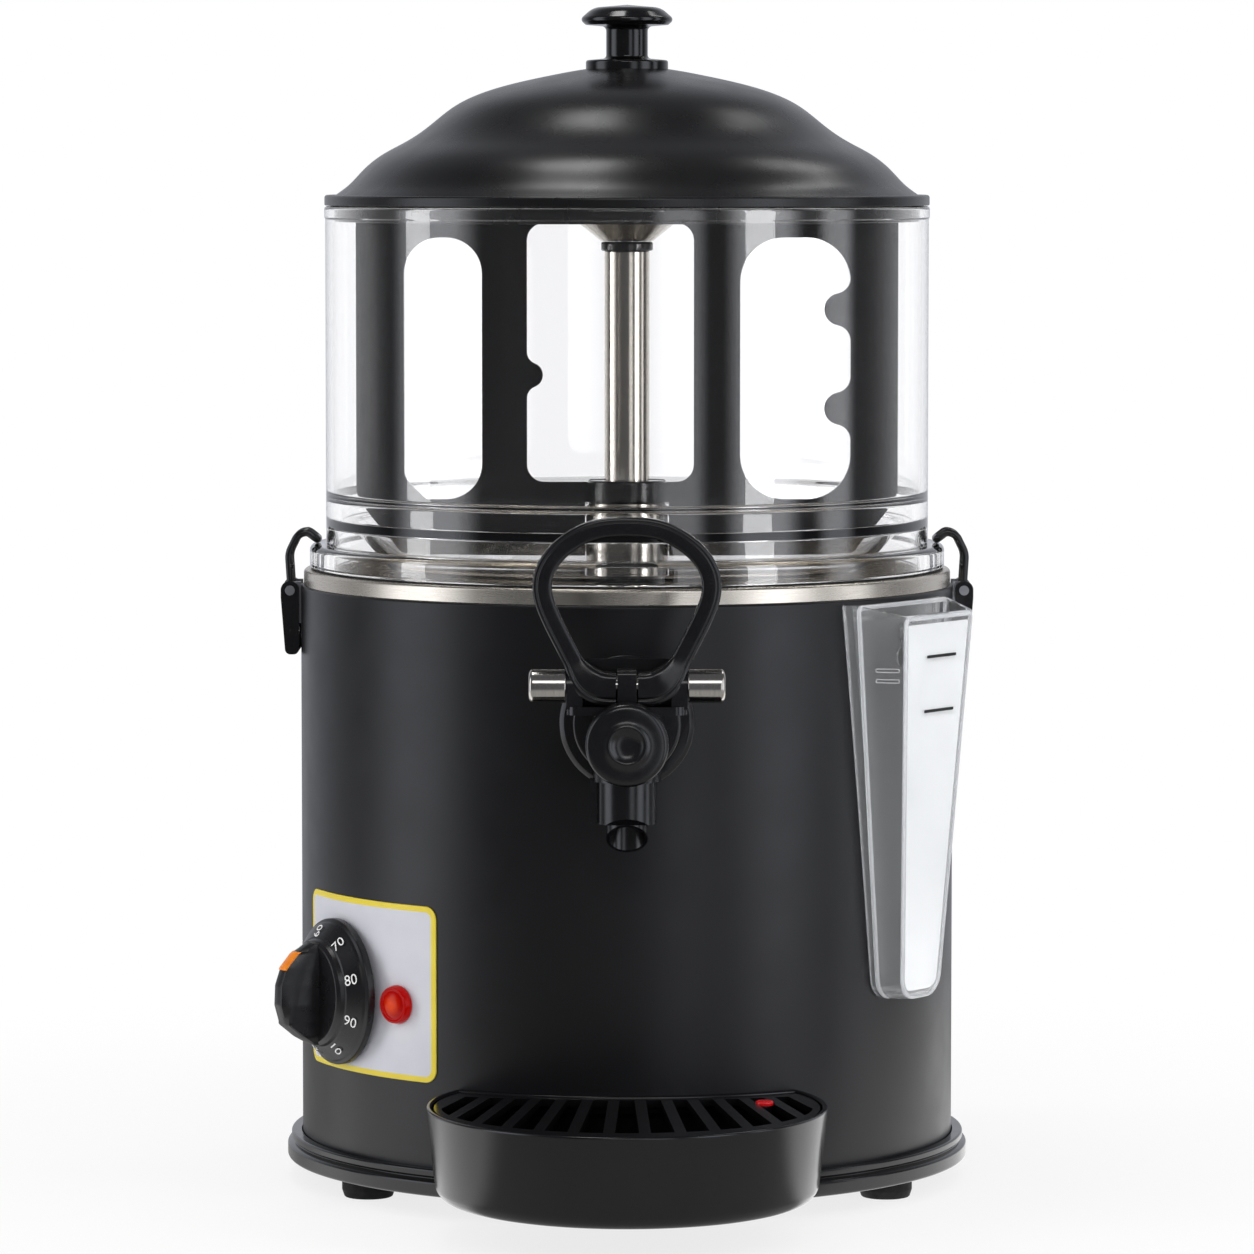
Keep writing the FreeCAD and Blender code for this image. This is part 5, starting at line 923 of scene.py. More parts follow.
# ---------------------------------------------------------------- housing and base
@dataclass
class Casing:
    """Coated housing on its moulded base, with the feet, the bath and its steel band."""

    shop: Workshop
    radius: float = 133.8
    low: float = 13.0
    high: float = 244.4
    rim_in: float = 6.0
    sheet: float = 1.0
    base_radius: float = 140.0
    base_low: float = 9.0
    base_high: float = 19.6
    base_opening: float = 98.0
    lip_radius: float = 103.0
    lip_high: float = 10.5
    bath_radius: float = 126.0
    bath_floor: float = 168.0
    bath_sheet: float = 0.8
    band_radius: float = 132.6
    band_high: float = 250.9
    hole: float = 9.25
    foot_radius: float = 10.75
    foot_out: float = 120.5
    foot_azimuth: float = 29.9

    def housing(self) -> Surface:
        """Upright wall with a narrow turned-in rim."""
        r, inner = self.radius, self.radius - self.rim_in
        under = self.high - self.sheet
        return turned(rounded([
            (r, self.low), (r, self.high, 1.2), (inner, self.high), (inner, under),
            (r - self.sheet, under), (r - self.sheet, self.low)]), 256)

    def base(self) -> Surface:
        """Base ring: a lower roll, a groove, and a narrower upper roll that takes the housing."""
        r, low = self.base_radius, self.base_low
        inner = self.radius + 0.3
        step = low + (self.base_high - low) * 0.55
        return turned(rounded([
            (self.lip_radius, low), (r, low, 1.2), (r, step, 1.2), (r - 2.7, step + 1.1, 0.3),
            (r - 1.6, step + 2.2, 0.3), (r - 1.6, self.base_high, 0.8),
            (inner, self.base_high, 0.4), (inner, self.low), (self.base_opening, self.low),
            (self.base_opening, self.lip_high), (self.lip_radius, self.lip_high)]), 256)

    def bath(self) -> Surface:
        """Deep-drawn bath whose rolled rim makes the band under the bowl."""
        wall, sheet = self.bath_radius, self.bath_sheet
        under, top = self.bath_floor - sheet, self.band_high
        return turned(rounded([
            (self.band_radius, self.high), (self.band_radius, top, 1.5), (wall - sheet, top, 0.5),
            (wall - sheet, self.bath_floor, 8.0), (self.hole, self.bath_floor), (self.hole, under),
            (wall, under, 8.8), (wall, top - sheet), (self.band_radius - sheet, top - sheet, 0.7),
            (self.band_radius - sheet, self.high)]), 256)

    def feet(self) -> list[Surface]:
        """Four moulded pads, each a profile turned about its own axis."""
        r, high = self.foot_radius, self.base_low
        pad = turned(rounded([
            (0, high), (r, high, 0.6), (r, high * 0.35, 2.0), (r * 0.9, 0, 1.0), (3.5, 0, 0.3),
            (3.5, high * 0.3), (0, high * 0.3)], closed=False), 48, False)
        turn = math.radians(self.foot_azimuth)
        out = self.foot_out * np.array([math.cos(turn), math.sin(turn)])
        return [pad.moved(lambda p, s=side: p + np.array([out[0] * s[0], out[1] * s[1], 0.0]))
                for side in ((1, -1), (1, 1), (-1, 1), (-1, -1))]

    def build(self) -> None:
        """Makes the pieces of the casing."""
        shop = self.shop
        shop.piece("housing_wall", [self.housing()], POWDER_COAT, Body.MACHINE, Slot.BODY_PAINT,
                   ["outer_housing"])
        shop.piece("base_roll", [self.base()], TRAY_PLASTIC, Body.MACHINE, Slot.BLACK_PLASTIC,
                   ["base_ring"])
        shop.piece("bath_band", [self.bath()], ROLLED_STEEL, Body.MACHINE, Slot.STEEL,
                   ["water_bath"])
        for number, pad in enumerate(self.feet(), start=1):
            shop.piece("rubber_foot_%d" % number, [pad], RUBBER, Body.MACHINE, Slot.RUBBER,
                       ["foot_%d" % number])
        shop.dress(POWDER_COAT, "base_plate")
        shop.dress(RUBBER, "bowl_gasket", "outlet_elbow", "tap_gasket", "valve_seal")
        shop.softened("gland", "cord_gland", TAP_NYLON, Body.MACHINE, Slot.BLACK_PLASTIC, 0.4)
        shop.dress(PLATED_STEEL, "motor_bracket", "bath_heater", "drive_shaft", "dial_spindle",
                   "tap_spring", "knob_screw", "tray_pins", "cup_stud")
        shop.dress(TAP_NYLON, "gear_motor", "thermostat", "tap_nut", "column_bushes")


# ---------------------------------------------------------------- bowl and lid
@dataclass
class Bowl:
    """Clear bowl: level floor with its outlet, sloped ring, bead, tube, brim and flange."""

    shop: Workshop
    radius: float = 123.4
    wall: float = 3.0
    seat: float = 251.5
    floor: float = 254.0
    slope_high: float = 271.5
    flange_high: float = 261.0
    flange_radius: float = 130.1
    brim: float = 399.0
    spigot_out: float = 76.0
    spigot_radius: float = 10.0
    spigot_bore: float = 7.5
    spigot_long: float = 11.0
    hole: float = 9.25
    floor_radius: float = 95.5
    slope_radius: float = 112.0
    bead_radius: float = 117.2

    def profile(self) -> Array:
        """The cut through one side, as a closed ring round the column's hole."""
        inner, under = self.radius - self.wall, self.floor - self.wall
        return rounded([
            (self.hole, self.floor), (self.floor_radius, self.floor, 5.0),
            (self.slope_radius, self.slope_high, 2.0), (self.bead_radius, self.slope_high, 0.4),
            (self.bead_radius, self.slope_high + 8.5, 2.4),
            (inner, self.slope_high + 10.7, 1.5), (inner, self.brim, 1.2),
            (self.radius + 0.4, self.brim, 1.2), (self.radius + 0.4, self.brim - 4.5, 0.3),
            (self.radius, self.brim - 5.1, 0.3), (self.radius, self.flange_high, 0.3),
            (self.flange_radius, self.flange_high, 2.4), (self.flange_radius, self.seat, 1.0),
            (inner, self.seat, 0.4), (inner, self.slope_high - self.wall, 0.6),
            (self.slope_radius + 1.4, self.slope_high - self.wall, 2.0),
            (self.floor_radius + 1.4, under, 5.0), (self.hole, under)])

    def pipe(self, radius: float, low: float, high: float) -> Surface:
        """A plain round bar at the outlet."""
        corners = [(0, low), (radius, low), (radius, high), (0, high)]
        bar = turned(np.array(corners, float), 48, False)
        return bar.moved(lambda p: p - np.array([0.0, self.spigot_out, 0.0]))

    def build(self) -> None:
        """Makes the bowl, with the spigot joined under its floor and the bore cut through."""
        low = self.floor - self.wall - self.spigot_long
        body = self.shop.mesh("clear_bowl", [turned(self.profile(), 256)])
        mesh = self.shop.carved(
            "clear_bowl", body, [[self.pipe(self.spigot_bore, low - 1, self.floor + 1)]],
            [[self.pipe(self.spigot_radius, low, self.floor - 0.8)]])
        self.shop.enter("clear_bowl", mesh, BOWL_CLEAR, Body.MACHINE, Slot.CLEAR_PLASTIC,
                        ["bowl", "bowl_flange", "bowl_slope", "bowl_floor"])


@dataclass
class Lid:
    """Two-tier dome with its lip and centring ring, and the turned knob."""

    shop: Workshop
    lip_low: float = 399.3
    lip_high: float = 403.6
    lip_radius: float = 123.7
    foot_radius: float = 119.0
    waist_radius: float = 84.5
    lower_rise: float = 24.0
    crown: float = 456.2
    wall: float = 2.8
    ring_out: float = 119.6
    ring_in: float = 117.4
    ring_deep: float = 6.5
    knob_radius: float = 19.35
    knob_top: float = 481.0

    def dome(self) -> Array:
        """The outer curve from the lip to the crown: a clamped spline through both tiers."""
        waist = self.lip_high + self.lower_rise
        lower, upper = self.foot_radius - self.waist_radius, self.crown - waist
        foot, low = self.foot_radius, self.lip_high
        points = [
            (foot, low), (foot - lower * 0.14, low + self.lower_rise * 0.15),
            (foot - lower * 0.33, low + self.lower_rise * 0.43),
            (foot - lower * 0.56, low + self.lower_rise * 0.69),
            (foot - lower * 0.84, low + self.lower_rise * 0.91),
            (self.waist_radius - 2.5, waist + upper * 0.11),
            (self.waist_radius * 0.835, waist + upper * 0.42),
            (self.waist_radius * 0.72, waist + upper * 0.59),
            (self.waist_radius * 0.57, waist + upper * 0.73),
            (self.waist_radius * 0.39, waist + upper * 0.85), (0.0, self.crown)]
        start = (points[1][0] - points[0][0], points[1][1] - points[0][1])
        return spline(points, start, (-1.0, 0.0), 10)

    def shell(self) -> Surface:
        """The dome outside, the lip, the centring ring and the dome inside, as one skin.

        The inside is the outer curve moved along its normal by the wall's thickness.
        """
        outer = self.dome()
        run = np.gradient(outer, axis=0)
        normal = np.stack([run[:, 1], -run[:, 0]], axis=1) / np.linalg.norm(run, axis=1)[:, None]
        inner = outer - normal * self.wall
        inner[-1] = (0.0, self.crown - self.wall)
        inner = inner[inner[:, 0] < self.ring_in - 1.6]
        ring = self.lip_low - self.ring_deep
        edge = rounded([
            (self.foot_radius, self.lip_high), (self.lip_radius, self.lip_high, 1.2),
            (self.lip_radius, self.lip_low, 0.6), (self.ring_out, self.lip_low),
            (self.ring_out, ring, 0.6), (self.ring_in, ring, 0.4),
            (self.ring_in, self.lip_low + 0.6, 0.4), tuple(inner[0])], closed=False)
        return turned(np.concatenate([outer[:0:-1], edge, inner]), 256, False)

    def knob(self) -> Surface:
        """Round knob on a waisted stem and a flat foot."""
        top, low, r = self.knob_top, self.crown - 2.0, self.knob_radius
        cap = top - 10.4
        return turned(rounded([
            (0, low), (16.8, low), (16.8, self.crown + 2.2, 1.0), (8.5, self.crown + 3.0, 1.5),
            (8.5, cap + 1.5, 2.0), (r - 2.5, cap + 2.2, 1.0), (r, cap + 4.4, 1.6),
            (r * 0.72, top - 1.2, 8.0), (0, top)], closed=False, steps=9), 128, False)

    def build(self) -> None:
        """Makes the dome and the knob."""
        self.shop.piece("lid_dome", [self.shell()], LID_ABS, Body.LID, Slot.LID_PLASTIC,
                        ["lid", "lid_crown", "lid_skirt"])
        self.shop.piece("lid_handle", [self.knob()], KNOB_PHENOLIC, Body.LID, Slot.LID_PLASTIC,
                        ["lid_knob"])


# ---------------------------------------------------------------- stirrer
@dataclass
class Stirrer:
    """Steel column with its hub, and the cone and paddle that turn on it."""

    shop: Workshop
    column_radius: float = 9.25
    column_low: float = 151.2
    column_high: float = 380.8
    bath_floor: float = 168.0
    floor: float = 254.0
    hub_radius: float = 16.8
    hub_high: float = 277.6
    cone_low: float = 384.8
    cone_high: float = 397.5
    paddle_half: float = 111.2
    paddle_foot_half: float = 93.0
    paddle_low: float = 257.0
    paddle_high: float = 396.0
    paddle_thick: float = 4.0
    collar_radius: float = 16.5
    collar_low: float = 277.8
    collar_high: float = 287.0
    sill: float = 279.0
    side_head: float = 386.2

    def column(self) -> list[Surface]:
        """Tube with its clamping foot, and the six-sided nut under the bath."""
        r, foot = self.column_radius, self.bath_floor + 3.0
        tube = turned(rounded([
            (7.5, self.column_low), (r, self.column_low), (r, self.bath_floor),
            (15.0, self.bath_floor), (15.0, foot, 0.8), (r, foot), (r, self.column_high, 0.5),
            (7.5, self.column_high)]), 96)
        high = self.bath_floor - 0.8
        nut = turned(rounded([(r + 7.0, high - 8.0, 0.5), (r + 7.0, high, 0.5), (r, high),
                              (r, high - 8.0)]), 6)
        return [tube, nut]

    def hub(self) -> Surface:
        """Stepped hub round the column's foot."""
        r, high = self.hub_radius, self.hub_high
        return turned(rounded([
            (self.column_radius, self.floor), (r, self.floor), (r, high - 3.4, 0.8),
            (r - 0.8, high - 3.0), (r - 0.8, high, 0.5), (self.column_radius, high)]), 96)

    def cone(self) -> Surface:
        """Flared cap that throws the drink outwards under the lid."""
        rim = self.cone_high - 2.2
        return turned(rounded([
            (5.0, self.cone_low), (10.7, self.cone_low, 0.6), (24.0, rim, 0.5),
            (24.0, self.cone_high, 0.8), (5.0, self.cone_high)]), 128)

    def nut(self) -> Surface:
        """Domed nut on the shaft's end."""
        low, high = self.cone_high, self.cone_high + 4.5
        return turned(rounded([(4.0, low), (7.0, low, 0.2), (7.0, high - 0.4, 2.2), (0, high)],
                              closed=False), 64, False)

    def openings(self) -> list[Array]:
        """The paddle's three windows; round tabs stand into two of them."""
        rise = self.side_head - self.sill
        left = rounded([(-91.4, self.sill + 9.0, 6.0), (-91.4, self.side_head, 14.7),
                        (-59.4, self.side_head, 14.7), (-59.4, self.sill, 14.7),
                        (-82.4, self.sill, 3.0)], steps=12)
        centre = refined(rounded([(-41.0, 286.2, 7.0), (-41.0, 392.0, 7.0), (27.4, 392.0, 7.0),
                                  (27.4, 286.2, 7.0)], steps=10), 0.35)
        tab = bulge(centre[:, 1], self.sill + rise * 0.475, 9.5, 6.5)
        centre[:, 0] += np.where(centre[:, 0] < -40.9, tab, 0.0)
        edge = 91.65
        right = refined(rounded([
            (46.35, self.sill, 18.1), (46.35, self.side_head, 18.1), (edge, self.side_head, 18.1),
            (edge, self.sill, 18.1)], steps=12), 0.35)
        tabs = (bulge(right[:, 1], self.sill + rise * 0.347, 13.0, 10.8)
                + bulge(right[:, 1], self.sill + rise * 0.726, 13.0, 10.8))
        right[:, 0] -= np.where(right[:, 0] > edge - 0.1, tabs, 0.0)
        return [left, centre, right]

    def paddle(self) -> Mesh:
        """Flat plate with windows, joined to the collar and cut for the column, hub and cone."""
        half, deep = self.paddle_thick / 2, self.paddle_thick
        shoulder = self.paddle_low + 22.5
        side = [(self.paddle_half, self.paddle_high, 4.0), (self.paddle_half, shoulder, 14.0),
                (self.paddle_foot_half, self.paddle_low, 3.0)]
        outline = rounded(side + [(-x, z, r) for x, z, r in side[::-1]], steps=10)
        collar = turned(rounded([
            (0, self.collar_low), (self.collar_radius, self.collar_low, 0.6),
            (self.collar_radius, self.collar_high, 1.2), (0, self.collar_high)],
            closed=False), 96, False)
        bore = self.column_radius + 0.2
        bars = [(bore, self.collar_low - 1.0, self.collar_high + 1.0),
                (self.hub_radius + 0.5, self.floor, self.collar_low)]
        cutters = [[plate_xz(window, -deep, deep)] for window in self.openings()]
        cutters += [[turned(np.array([(0, low), (r, low), (r, high), (0, high)]), 96, False)]
                    for r, low, high in bars]
        cutters.append([turned(np.array([(0, self.cone_low - 0.2), (10.9, self.cone_low - 0.2),
                                         (24.2, self.cone_high - 2.2), (24.2, self.cone_high + 1),
                                         (0, self.cone_high + 1)]), 96, False)])
        body = self.shop.mesh("stirring_paddle", [plate_xz(outline, -half, half)])
        return self.shop.carved("stirring_paddle", body, cutters, [[collar]])

    def build(self) -> None:
        """Makes the column, hub, cone, nut and paddle."""
        shop = self.shop
        shop.piece("steel_column", self.column(), DRAWN_STEEL, Body.MACHINE, Slot.STEEL,
                   ["drive_column"])
        shop.piece("steel_hub", [self.hub()], DRAWN_STEEL, Body.MACHINE, Slot.STEEL, ["column_hub"])
        shop.piece("steel_cone", [self.cone()], DRAWN_STEEL, Body.STIRRER, Slot.STEEL, ["cone_cap"])
        shop.piece("steel_nut", [self.nut()], DRAWN_STEEL, Body.STIRRER, Slot.STEEL, ["cap_nut"])
        paddle = shop.enter("stirring_paddle", self.paddle(), PADDLE_ACETAL, Body.STIRRER,
                            Slot.BLACK_PLASTIC, ["paddle"])
        shop.ease(paddle, 0.45, 2)


# ---------------------------------------------------------------- tap
@dataclass
class Tap:
    """Ring-handled tap: wall flange, barrel and spout, bonnet, cross rod, lever and plunger."""

    shop: Workshop
    height: float = 196.0
    rod_height: float = 217.2
    rod_out: float = 181.0
    rod_half: float = 37.7
    spout_out: float = 173.5
    spout_low: float = 163.6
    nozzle_low: float = 151.5
    nozzle_radius: float = 8.0
    cap_front: float = 203.0
    cap_radius: float = 15.9

    def cap(self) -> Surface:
        """Screw cap with a raised ring round a thumb dimple."""
        front = self.cap_front
        r, rear, inner = self.cap_radius, front - 14.5, self.cap_radius - 2.5
        face = spline([(0.0, front - 1.8), (3.6, front - 1.6), (5.6, front - 0.8),
                       (7.1, front - 0.1), (8.7, front - 0.7), (10.6, front - 1.1),
                       (13.2, front - 1.3), (15.1, front - 1.9), (r, front - 3.4)],
                      (1.0, 0.0), (0.0, -1.0), 6)
        back = rounded([(r, front - 3.8), (r, rear, 0.5), (inner, rear), (inner, rear + 2.0),
                        (0, rear + 2.0)], closed=False, steps=9)
        return turned(np.concatenate([face, back]), 128, False).moved(at_azimuth(0.0, self.height))

    def mouth(self) -> list[Surface]:
        """What is cut from the nozzle: its lower front, along a plane, and a wider bore."""
        low, high = self.nozzle_low, self.spout_low
        back = self.spout_out - self.nozzle_radius
        front = self.spout_out + self.nozzle_radius + 4.0
        rise = (high - low) / (2 * self.nozzle_radius)
        cut = [(back - 0.5, low - 0.5 * rise), (front, low + (front - back) * rise),
               (front, low - 8.0), (back - 0.5, low - 8.0)]
        wedge = np.array([[(side, -out, up) for out, up in cut] for side in (-12.0, 12.0)])
        bore = turned(np.array([(0, low - 2), (self.nozzle_radius - 1.1, low - 2),
                                (self.nozzle_radius - 1.1, high + 1), (0, high + 1)]), 48, False)
        place = np.array([0, self.spout_out, 0])
        return [Surface(wedge, cap=True), bore.moved(lambda p: p - place)]

    def ring(self) -> Surface:
        """Ring handle: a moulded section carried round a spline in the plane of the ring.

        P(u, v) = path(v) + a(u) w(v) n(v) + b(u) d(v) Y, where n is the path's normal in the plane,
        w and d are half the width and depth, and (a, b) is a rounded oblong whose front has a
        groove beside its outer bead.
        """
        right = spline([(4.25, 215.8), (7.5, 215.9), (12.3, 217.0), (17.4, 221.4), (21.2, 227.8),
                        (26.0, 237.1), (30.2, 246.0), (32.3, 253.2), (32.0, 259.2), (29.0, 265.6),
                        (21.9, 272.4), (13.0, 276.8), (0.0, 278.3)], (1.0, 0.0), (-1.0, 0.0), 8)
        path = np.concatenate([right, right[-2::-1] * [-1, 1]])
        run = np.gradient(path, axis=0)
        normal = np.stack([run[:, 1], -run[:, 0]], axis=1) / np.linalg.norm(run, axis=1)[:, None]
        near_hub = np.clip((228.0 - path[:, 1]) / 11.0, 0.0, 1.0)
        near_hub = near_hub ** 2 * (3 - 2 * near_hub)
        width, depth = 3.75 + 2.7 * near_hub, 4.0 + 2.6 * near_hub
        section = rounded([(-1.0, 1.0, 0.34), (0.42, 1.0, 0.12), (0.52, 0.86, 0.1),
                           (0.62, 0.98, 0.12), (1.0, 0.9, 0.3), (1.0, -1.0, 0.3),
                           (-1.0, -1.0, 0.3)], steps=5, soften=0.1)
        flat = path[:, None] + (section[None, :, :1] * width[:, None, None]) * normal[:, None]
        out = self.rod_out + section[None, :, 1] * depth[:, None]
        return Surface(np.stack([flat[..., 0], -out, flat[..., 1]], axis=-1), cap=True)

    def bar(self, radius: float, half: float, out: float) -> Surface:
        """A round bar along X, level with the cross rod."""
        grid = turned(rounded([(0, -half), (radius, -half, 0.4), (radius, half, 0.4), (0, half)],
                              closed=False), 48, False)
        return grid.moved(lambda p: np.stack([
            p[..., 2], p[..., 0] - out, p[..., 1] + self.rod_height], axis=-1))

    def rod(self) -> Surface:
        """Pin with a stout sleeve at each end; the profile runs along the sideways axis."""
        half = rounded([(0, 0), (3.0, 0), (3.0, 23.4), (6.5, 23.4, 0.5), (6.5, self.rod_half, 1.8),
                        (0, self.rod_half)], closed=False)[1:]
        profile = np.concatenate([half[::-1] * [1, -1], half])
        grid = turned(profile, 64, False)
        return grid.moved(lambda p: np.stack([
            p[..., 2], p[..., 0] - self.rod_out, p[..., 1] + self.rod_height], axis=-1))

    def build(self) -> None:
        """Makes the pieces of the tap."""
        shop = self.shop
        shop.softened("tap_flange", "tap_escutcheon", TAP_NYLON, Body.MACHINE,
                      Slot.BLACK_PLASTIC, 0.4)
        barrel = shop.carved("tap_barrel", shop.copied("tap_barrel", "tap_body"),
                             [[cutter] for cutter in self.mouth()])
        shop.ease(shop.enter("tap_barrel", barrel, TAP_NYLON, Body.MACHINE, Slot.BLACK_PLASTIC,
                             ["tap_body"]), 0.45)
        shop.piece("tap_front_cap", [self.cap()], TAP_NYLON, Body.MACHINE, Slot.BLACK_PLASTIC,
                   ["tap_cap"])
        shop.softened("tap_bonnet", "tap_yoke", TAP_NYLON, Body.MACHINE, Slot.BLACK_PLASTIC, 0.5)
        shop.piece("tap_rod", [self.rod()], TURNED_STEEL, Body.MACHINE, Slot.STEEL, ["cross_rod"])
        shop.piece("tap_ring_handle", [self.ring(), self.bar(3.6, 9.8, self.rod_out - 7.5)],
                   TAP_NYLON, Body.TAP_LEVER, Slot.BLACK_PLASTIC, ["tap_lever"], 40.0)
        shop.softened("tap_tongue", "tap_plunger", TAP_NYLON, Body.TAP_PLUNGER,
                      Slot.BLACK_PLASTIC, 0.4)


# ---------------------------------------------------------------- control panel
@dataclass
class ControlPanel:
    """Printed overlay with the thermostat's knob and the lit lamp.

    Attributes:
        grip_rows: sections of the grip: the height, the ridge's place outwards and half width, and
            the crease's.
    """

    shop: Workshop
    azimuth: float = -52.8
    low: float = 53.3
    high: float = 123.5
    half_arc: float = 43.57
    corner: float = 5.2
    face: float = 134.5
    back: float = 133.9
    dial_azimuth: float = -58.5
    dial_height: float = 85.0
    dial_back: float = 135.4
    dial_radius: float = 29.4
    drum_radius: float = 21.3
    numeral_radius: float = 24.7
    numeral_height: float = 4.3
    numeral_narrow: float = 0.8
    ink_out: float = 143.3
    cone_slope: float = 0.667
    first_numeral: float = -8.0
    numeral_step: float = 40.0
    numerals: tuple[str, ...] = ("60", "70", "80", "90", "10", "20", "30", "40", "50")
    lamp_azimuth: float = -42.4
    lamp_height: float = 83.4
    grip_rows: tuple[tuple[float, ...], ...] = (
        (-20.6, 148.6, 1.6, 148.4, 3.0), (-19.6, 151.0, 2.2, 149.6, 4.2),
        (-17.0, 155.6, 2.8, 153.8, 4.9), (-12.0, 161.6, 3.0, 160.2, 5.0),
        (-4.0, 163.9, 3.0, 157.6, 5.6), (4.0, 163.6, 2.9, 154.6, 5.7),
        (11.0, 161.2, 2.8, 152.0, 5.6), (16.6, 156.2, 2.6, 149.8, 5.1),
        (20.4, 149.6, 2.0, 148.8, 4.0))

    def overlay(self) -> Surface:
        """A rounded rectangle wrapped on the housing.

        With (s, h) along the arc and upwards, P = (R sin(a + s/R), -R cos(a + s/R), h). The rows
        shrink the outline to its middle on the front and again on the back.
        """
        half_h = (self.high - self.low) / 2
        outline = refined(rounded([
            (side * self.half_arc, up * half_h, self.corner)
            for side, up in ((-1, -1), (1, -1), (1, 1), (-1, 1))], steps=10), 6.0)
        shares = np.concatenate([
            np.linspace(0.0, 0.996, 11), [1.0, 1.0], np.linspace(0.996, 0.0, 4)])
        radii = np.concatenate([np.full(11, self.face), [self.face - 0.15, self.back],
                                np.full(4, self.back)])
        flat = outline[None] * shares[:, None, None]
        angle = math.radians(self.azimuth) + flat[..., 0] / self.face
        middle = (self.low + self.high) / 2
        grid = np.stack([radii[:, None] * np.sin(angle), -radii[:, None] * np.cos(angle),
                         flat[..., 1] + middle], axis=-1)
        return Surface(grid, uv=0.5 + flat / UV_SPAN)

    def numeral_mesh(self) -> Mesh:
        """The numbers on the coned ring, each read outwards along its own radius.

        With (x, y) in the text's plane, r = numeral_radius + x and the turn from upright is the
        numeral's angle less y / r. The ink is at ink_out - cone_slope (r - numeral_radius), a
        little over the cone's face.

        Returns:
            One mesh for all numbers.
        """
        work = bmesh.new()
        carry = at_azimuth(self.dial_azimuth, self.dial_height)
        for index, text in enumerate(self.numerals):
            curve = bpy.data.curves.new("numeral_" + text, "FONT")
            curve.body, curve.size, curve.align_x, curve.align_y = text, 1.0, "CENTER", "CENTER"
            curve.resolution_u = 3
            thing = bpy.data.objects.new("numeral_" + text, curve)
            bpy.context.scene.collection.objects.link(thing)
            graph = bpy.context.evaluated_depsgraph_get()
            mesh = bpy.data.meshes.new_from_object(thing.evaluated_get(graph))
            flat = np.empty(len(mesh.vertices) * 3)
            mesh.vertices.foreach_get("co", flat)
            flat = flat.reshape(-1, 3)[:, :2]
            flat = flat - (flat.max(0) + flat.min(0)) / 2
            flat = flat * self.numeral_height / np.ptp(flat[:, 1])
            r = self.numeral_radius + flat[:, 0] * self.numeral_narrow
            turn = math.radians(self.first_numeral + index * self.numeral_step) - flat[:, 1] / r
            out = self.ink_out - self.cone_slope * (r - self.numeral_radius)
            placed = carry(np.stack([r * np.sin(turn), r * np.cos(turn), out], axis=1)) * MM
            mesh.vertices.foreach_set("co", placed.ravel())
            work.from_mesh(mesh)
            bpy.data.objects.remove(thing)
            bpy.data.meshes.remove(mesh)
        made = bpy.data.meshes.new("dial_numerals")
        work.to_mesh(made)
        work.free()
        return made

    def lens(self) -> Surface:
        """Cap of the lamp: a raised rim round a shallow dome."""
        face = self.face
        profile = rounded([
            (0, face + 4.9), (4.2, face + 4.3, 4.0), (5.9, face + 3.0, 0.5), (6.5, face + 3.9, 0.5),
            (7.2, face + 3.5, 0.8), (7.75, face + 1.4, 0.6), (7.75, face + 0.3),
            (5.4, face + 0.3), (5.4, face - 22.0), (0, face - 22.0)], closed=False)
        return turned(profile, 96, False).moved(at_azimuth(self.lamp_azimuth, self.lamp_height))

    def drum(self) -> Surface:
        """Skirt, coned number ring and drum of the knob, as one profile about its axis."""
        back, r = self.dial_back, self.dial_radius
        profile = rounded([
            (0, back + 12.6), (self.drum_radius - 1.4, back + 12.6, 1.2),
            (self.drum_radius - 0.2, back + 11.2, 0.9), (self.drum_radius + 0.4, back + 9.6, 0.3),
            (self.drum_radius + 1.2, back + 9.2, 0.3), (r - 1.9, back + 4.75, 0.5),
            (r - 1.3, back + 3.9, 0.4), (r, back + 3.0, 0.8), (r, back, 0.5),
            (0, back)], closed=False, steps=8)
        return turned(profile, 128, False).moved(at_azimuth(self.dial_azimuth, self.dial_height))

    def grip(self) -> Surface:
        """Tapered grip across the drum: each row is a section at one height.

        A row has the base, a crease on each flank and the ridge, and the values between the rows
        listed are interpolated along the grip.
        """
        listed = np.array(self.grip_rows)
        up = np.linspace(listed[0, 0], listed[-1, 0], 61)
        ridge, ridge_half, crease, crease_half = (
            np.interp(up, listed[:, 0], listed[:, column]) for column in (1, 2, 3, 4))
        base = np.full_like(up, self.dial_back + 11.5)
        right = np.stack([np.stack(pair, -1) for pair in (
            (crease_half + 0.5, base), (crease_half, crease),
            ((crease_half + ridge_half) / 2 + 0.45, (crease + ridge) / 2),
            (ridge_half, ridge - 0.35), (ridge_half * 0.6, ridge))], axis=1)
        ring = np.concatenate([right, right[:, ::-1] * [-1, 1]], axis=1)
        level = np.broadcast_to(up[:, None], ring.shape[:2])
        grid = np.stack([ring[..., 0], level, ring[..., 1]], -1)
        return Surface(grid, cap=True).moved(at_azimuth(self.dial_azimuth, self.dial_height))

    def mark(self) -> Surface:
        """Coloured inset over the ridge's upper end, between two heights of the grip."""
        up = np.linspace(10.2, 17.2, 9)
        listed = np.array(self.grip_rows)
        ridge = np.interp(up, listed[:, 0], listed[:, 1])
        ring = [(2.9, -1.9), (2.9, -0.1), (2.2, 0.45), (-2.2, 0.45), (-2.9, -0.1), (-2.9, -1.9)]
        sideways, over = np.array(ring).T
        grid = np.stack(np.broadcast_arrays(sideways, up[:, None], ridge[:, None] + over), -1)
        return Surface(grid, cap=True).moved(at_azimuth(self.dial_azimuth, self.dial_height))

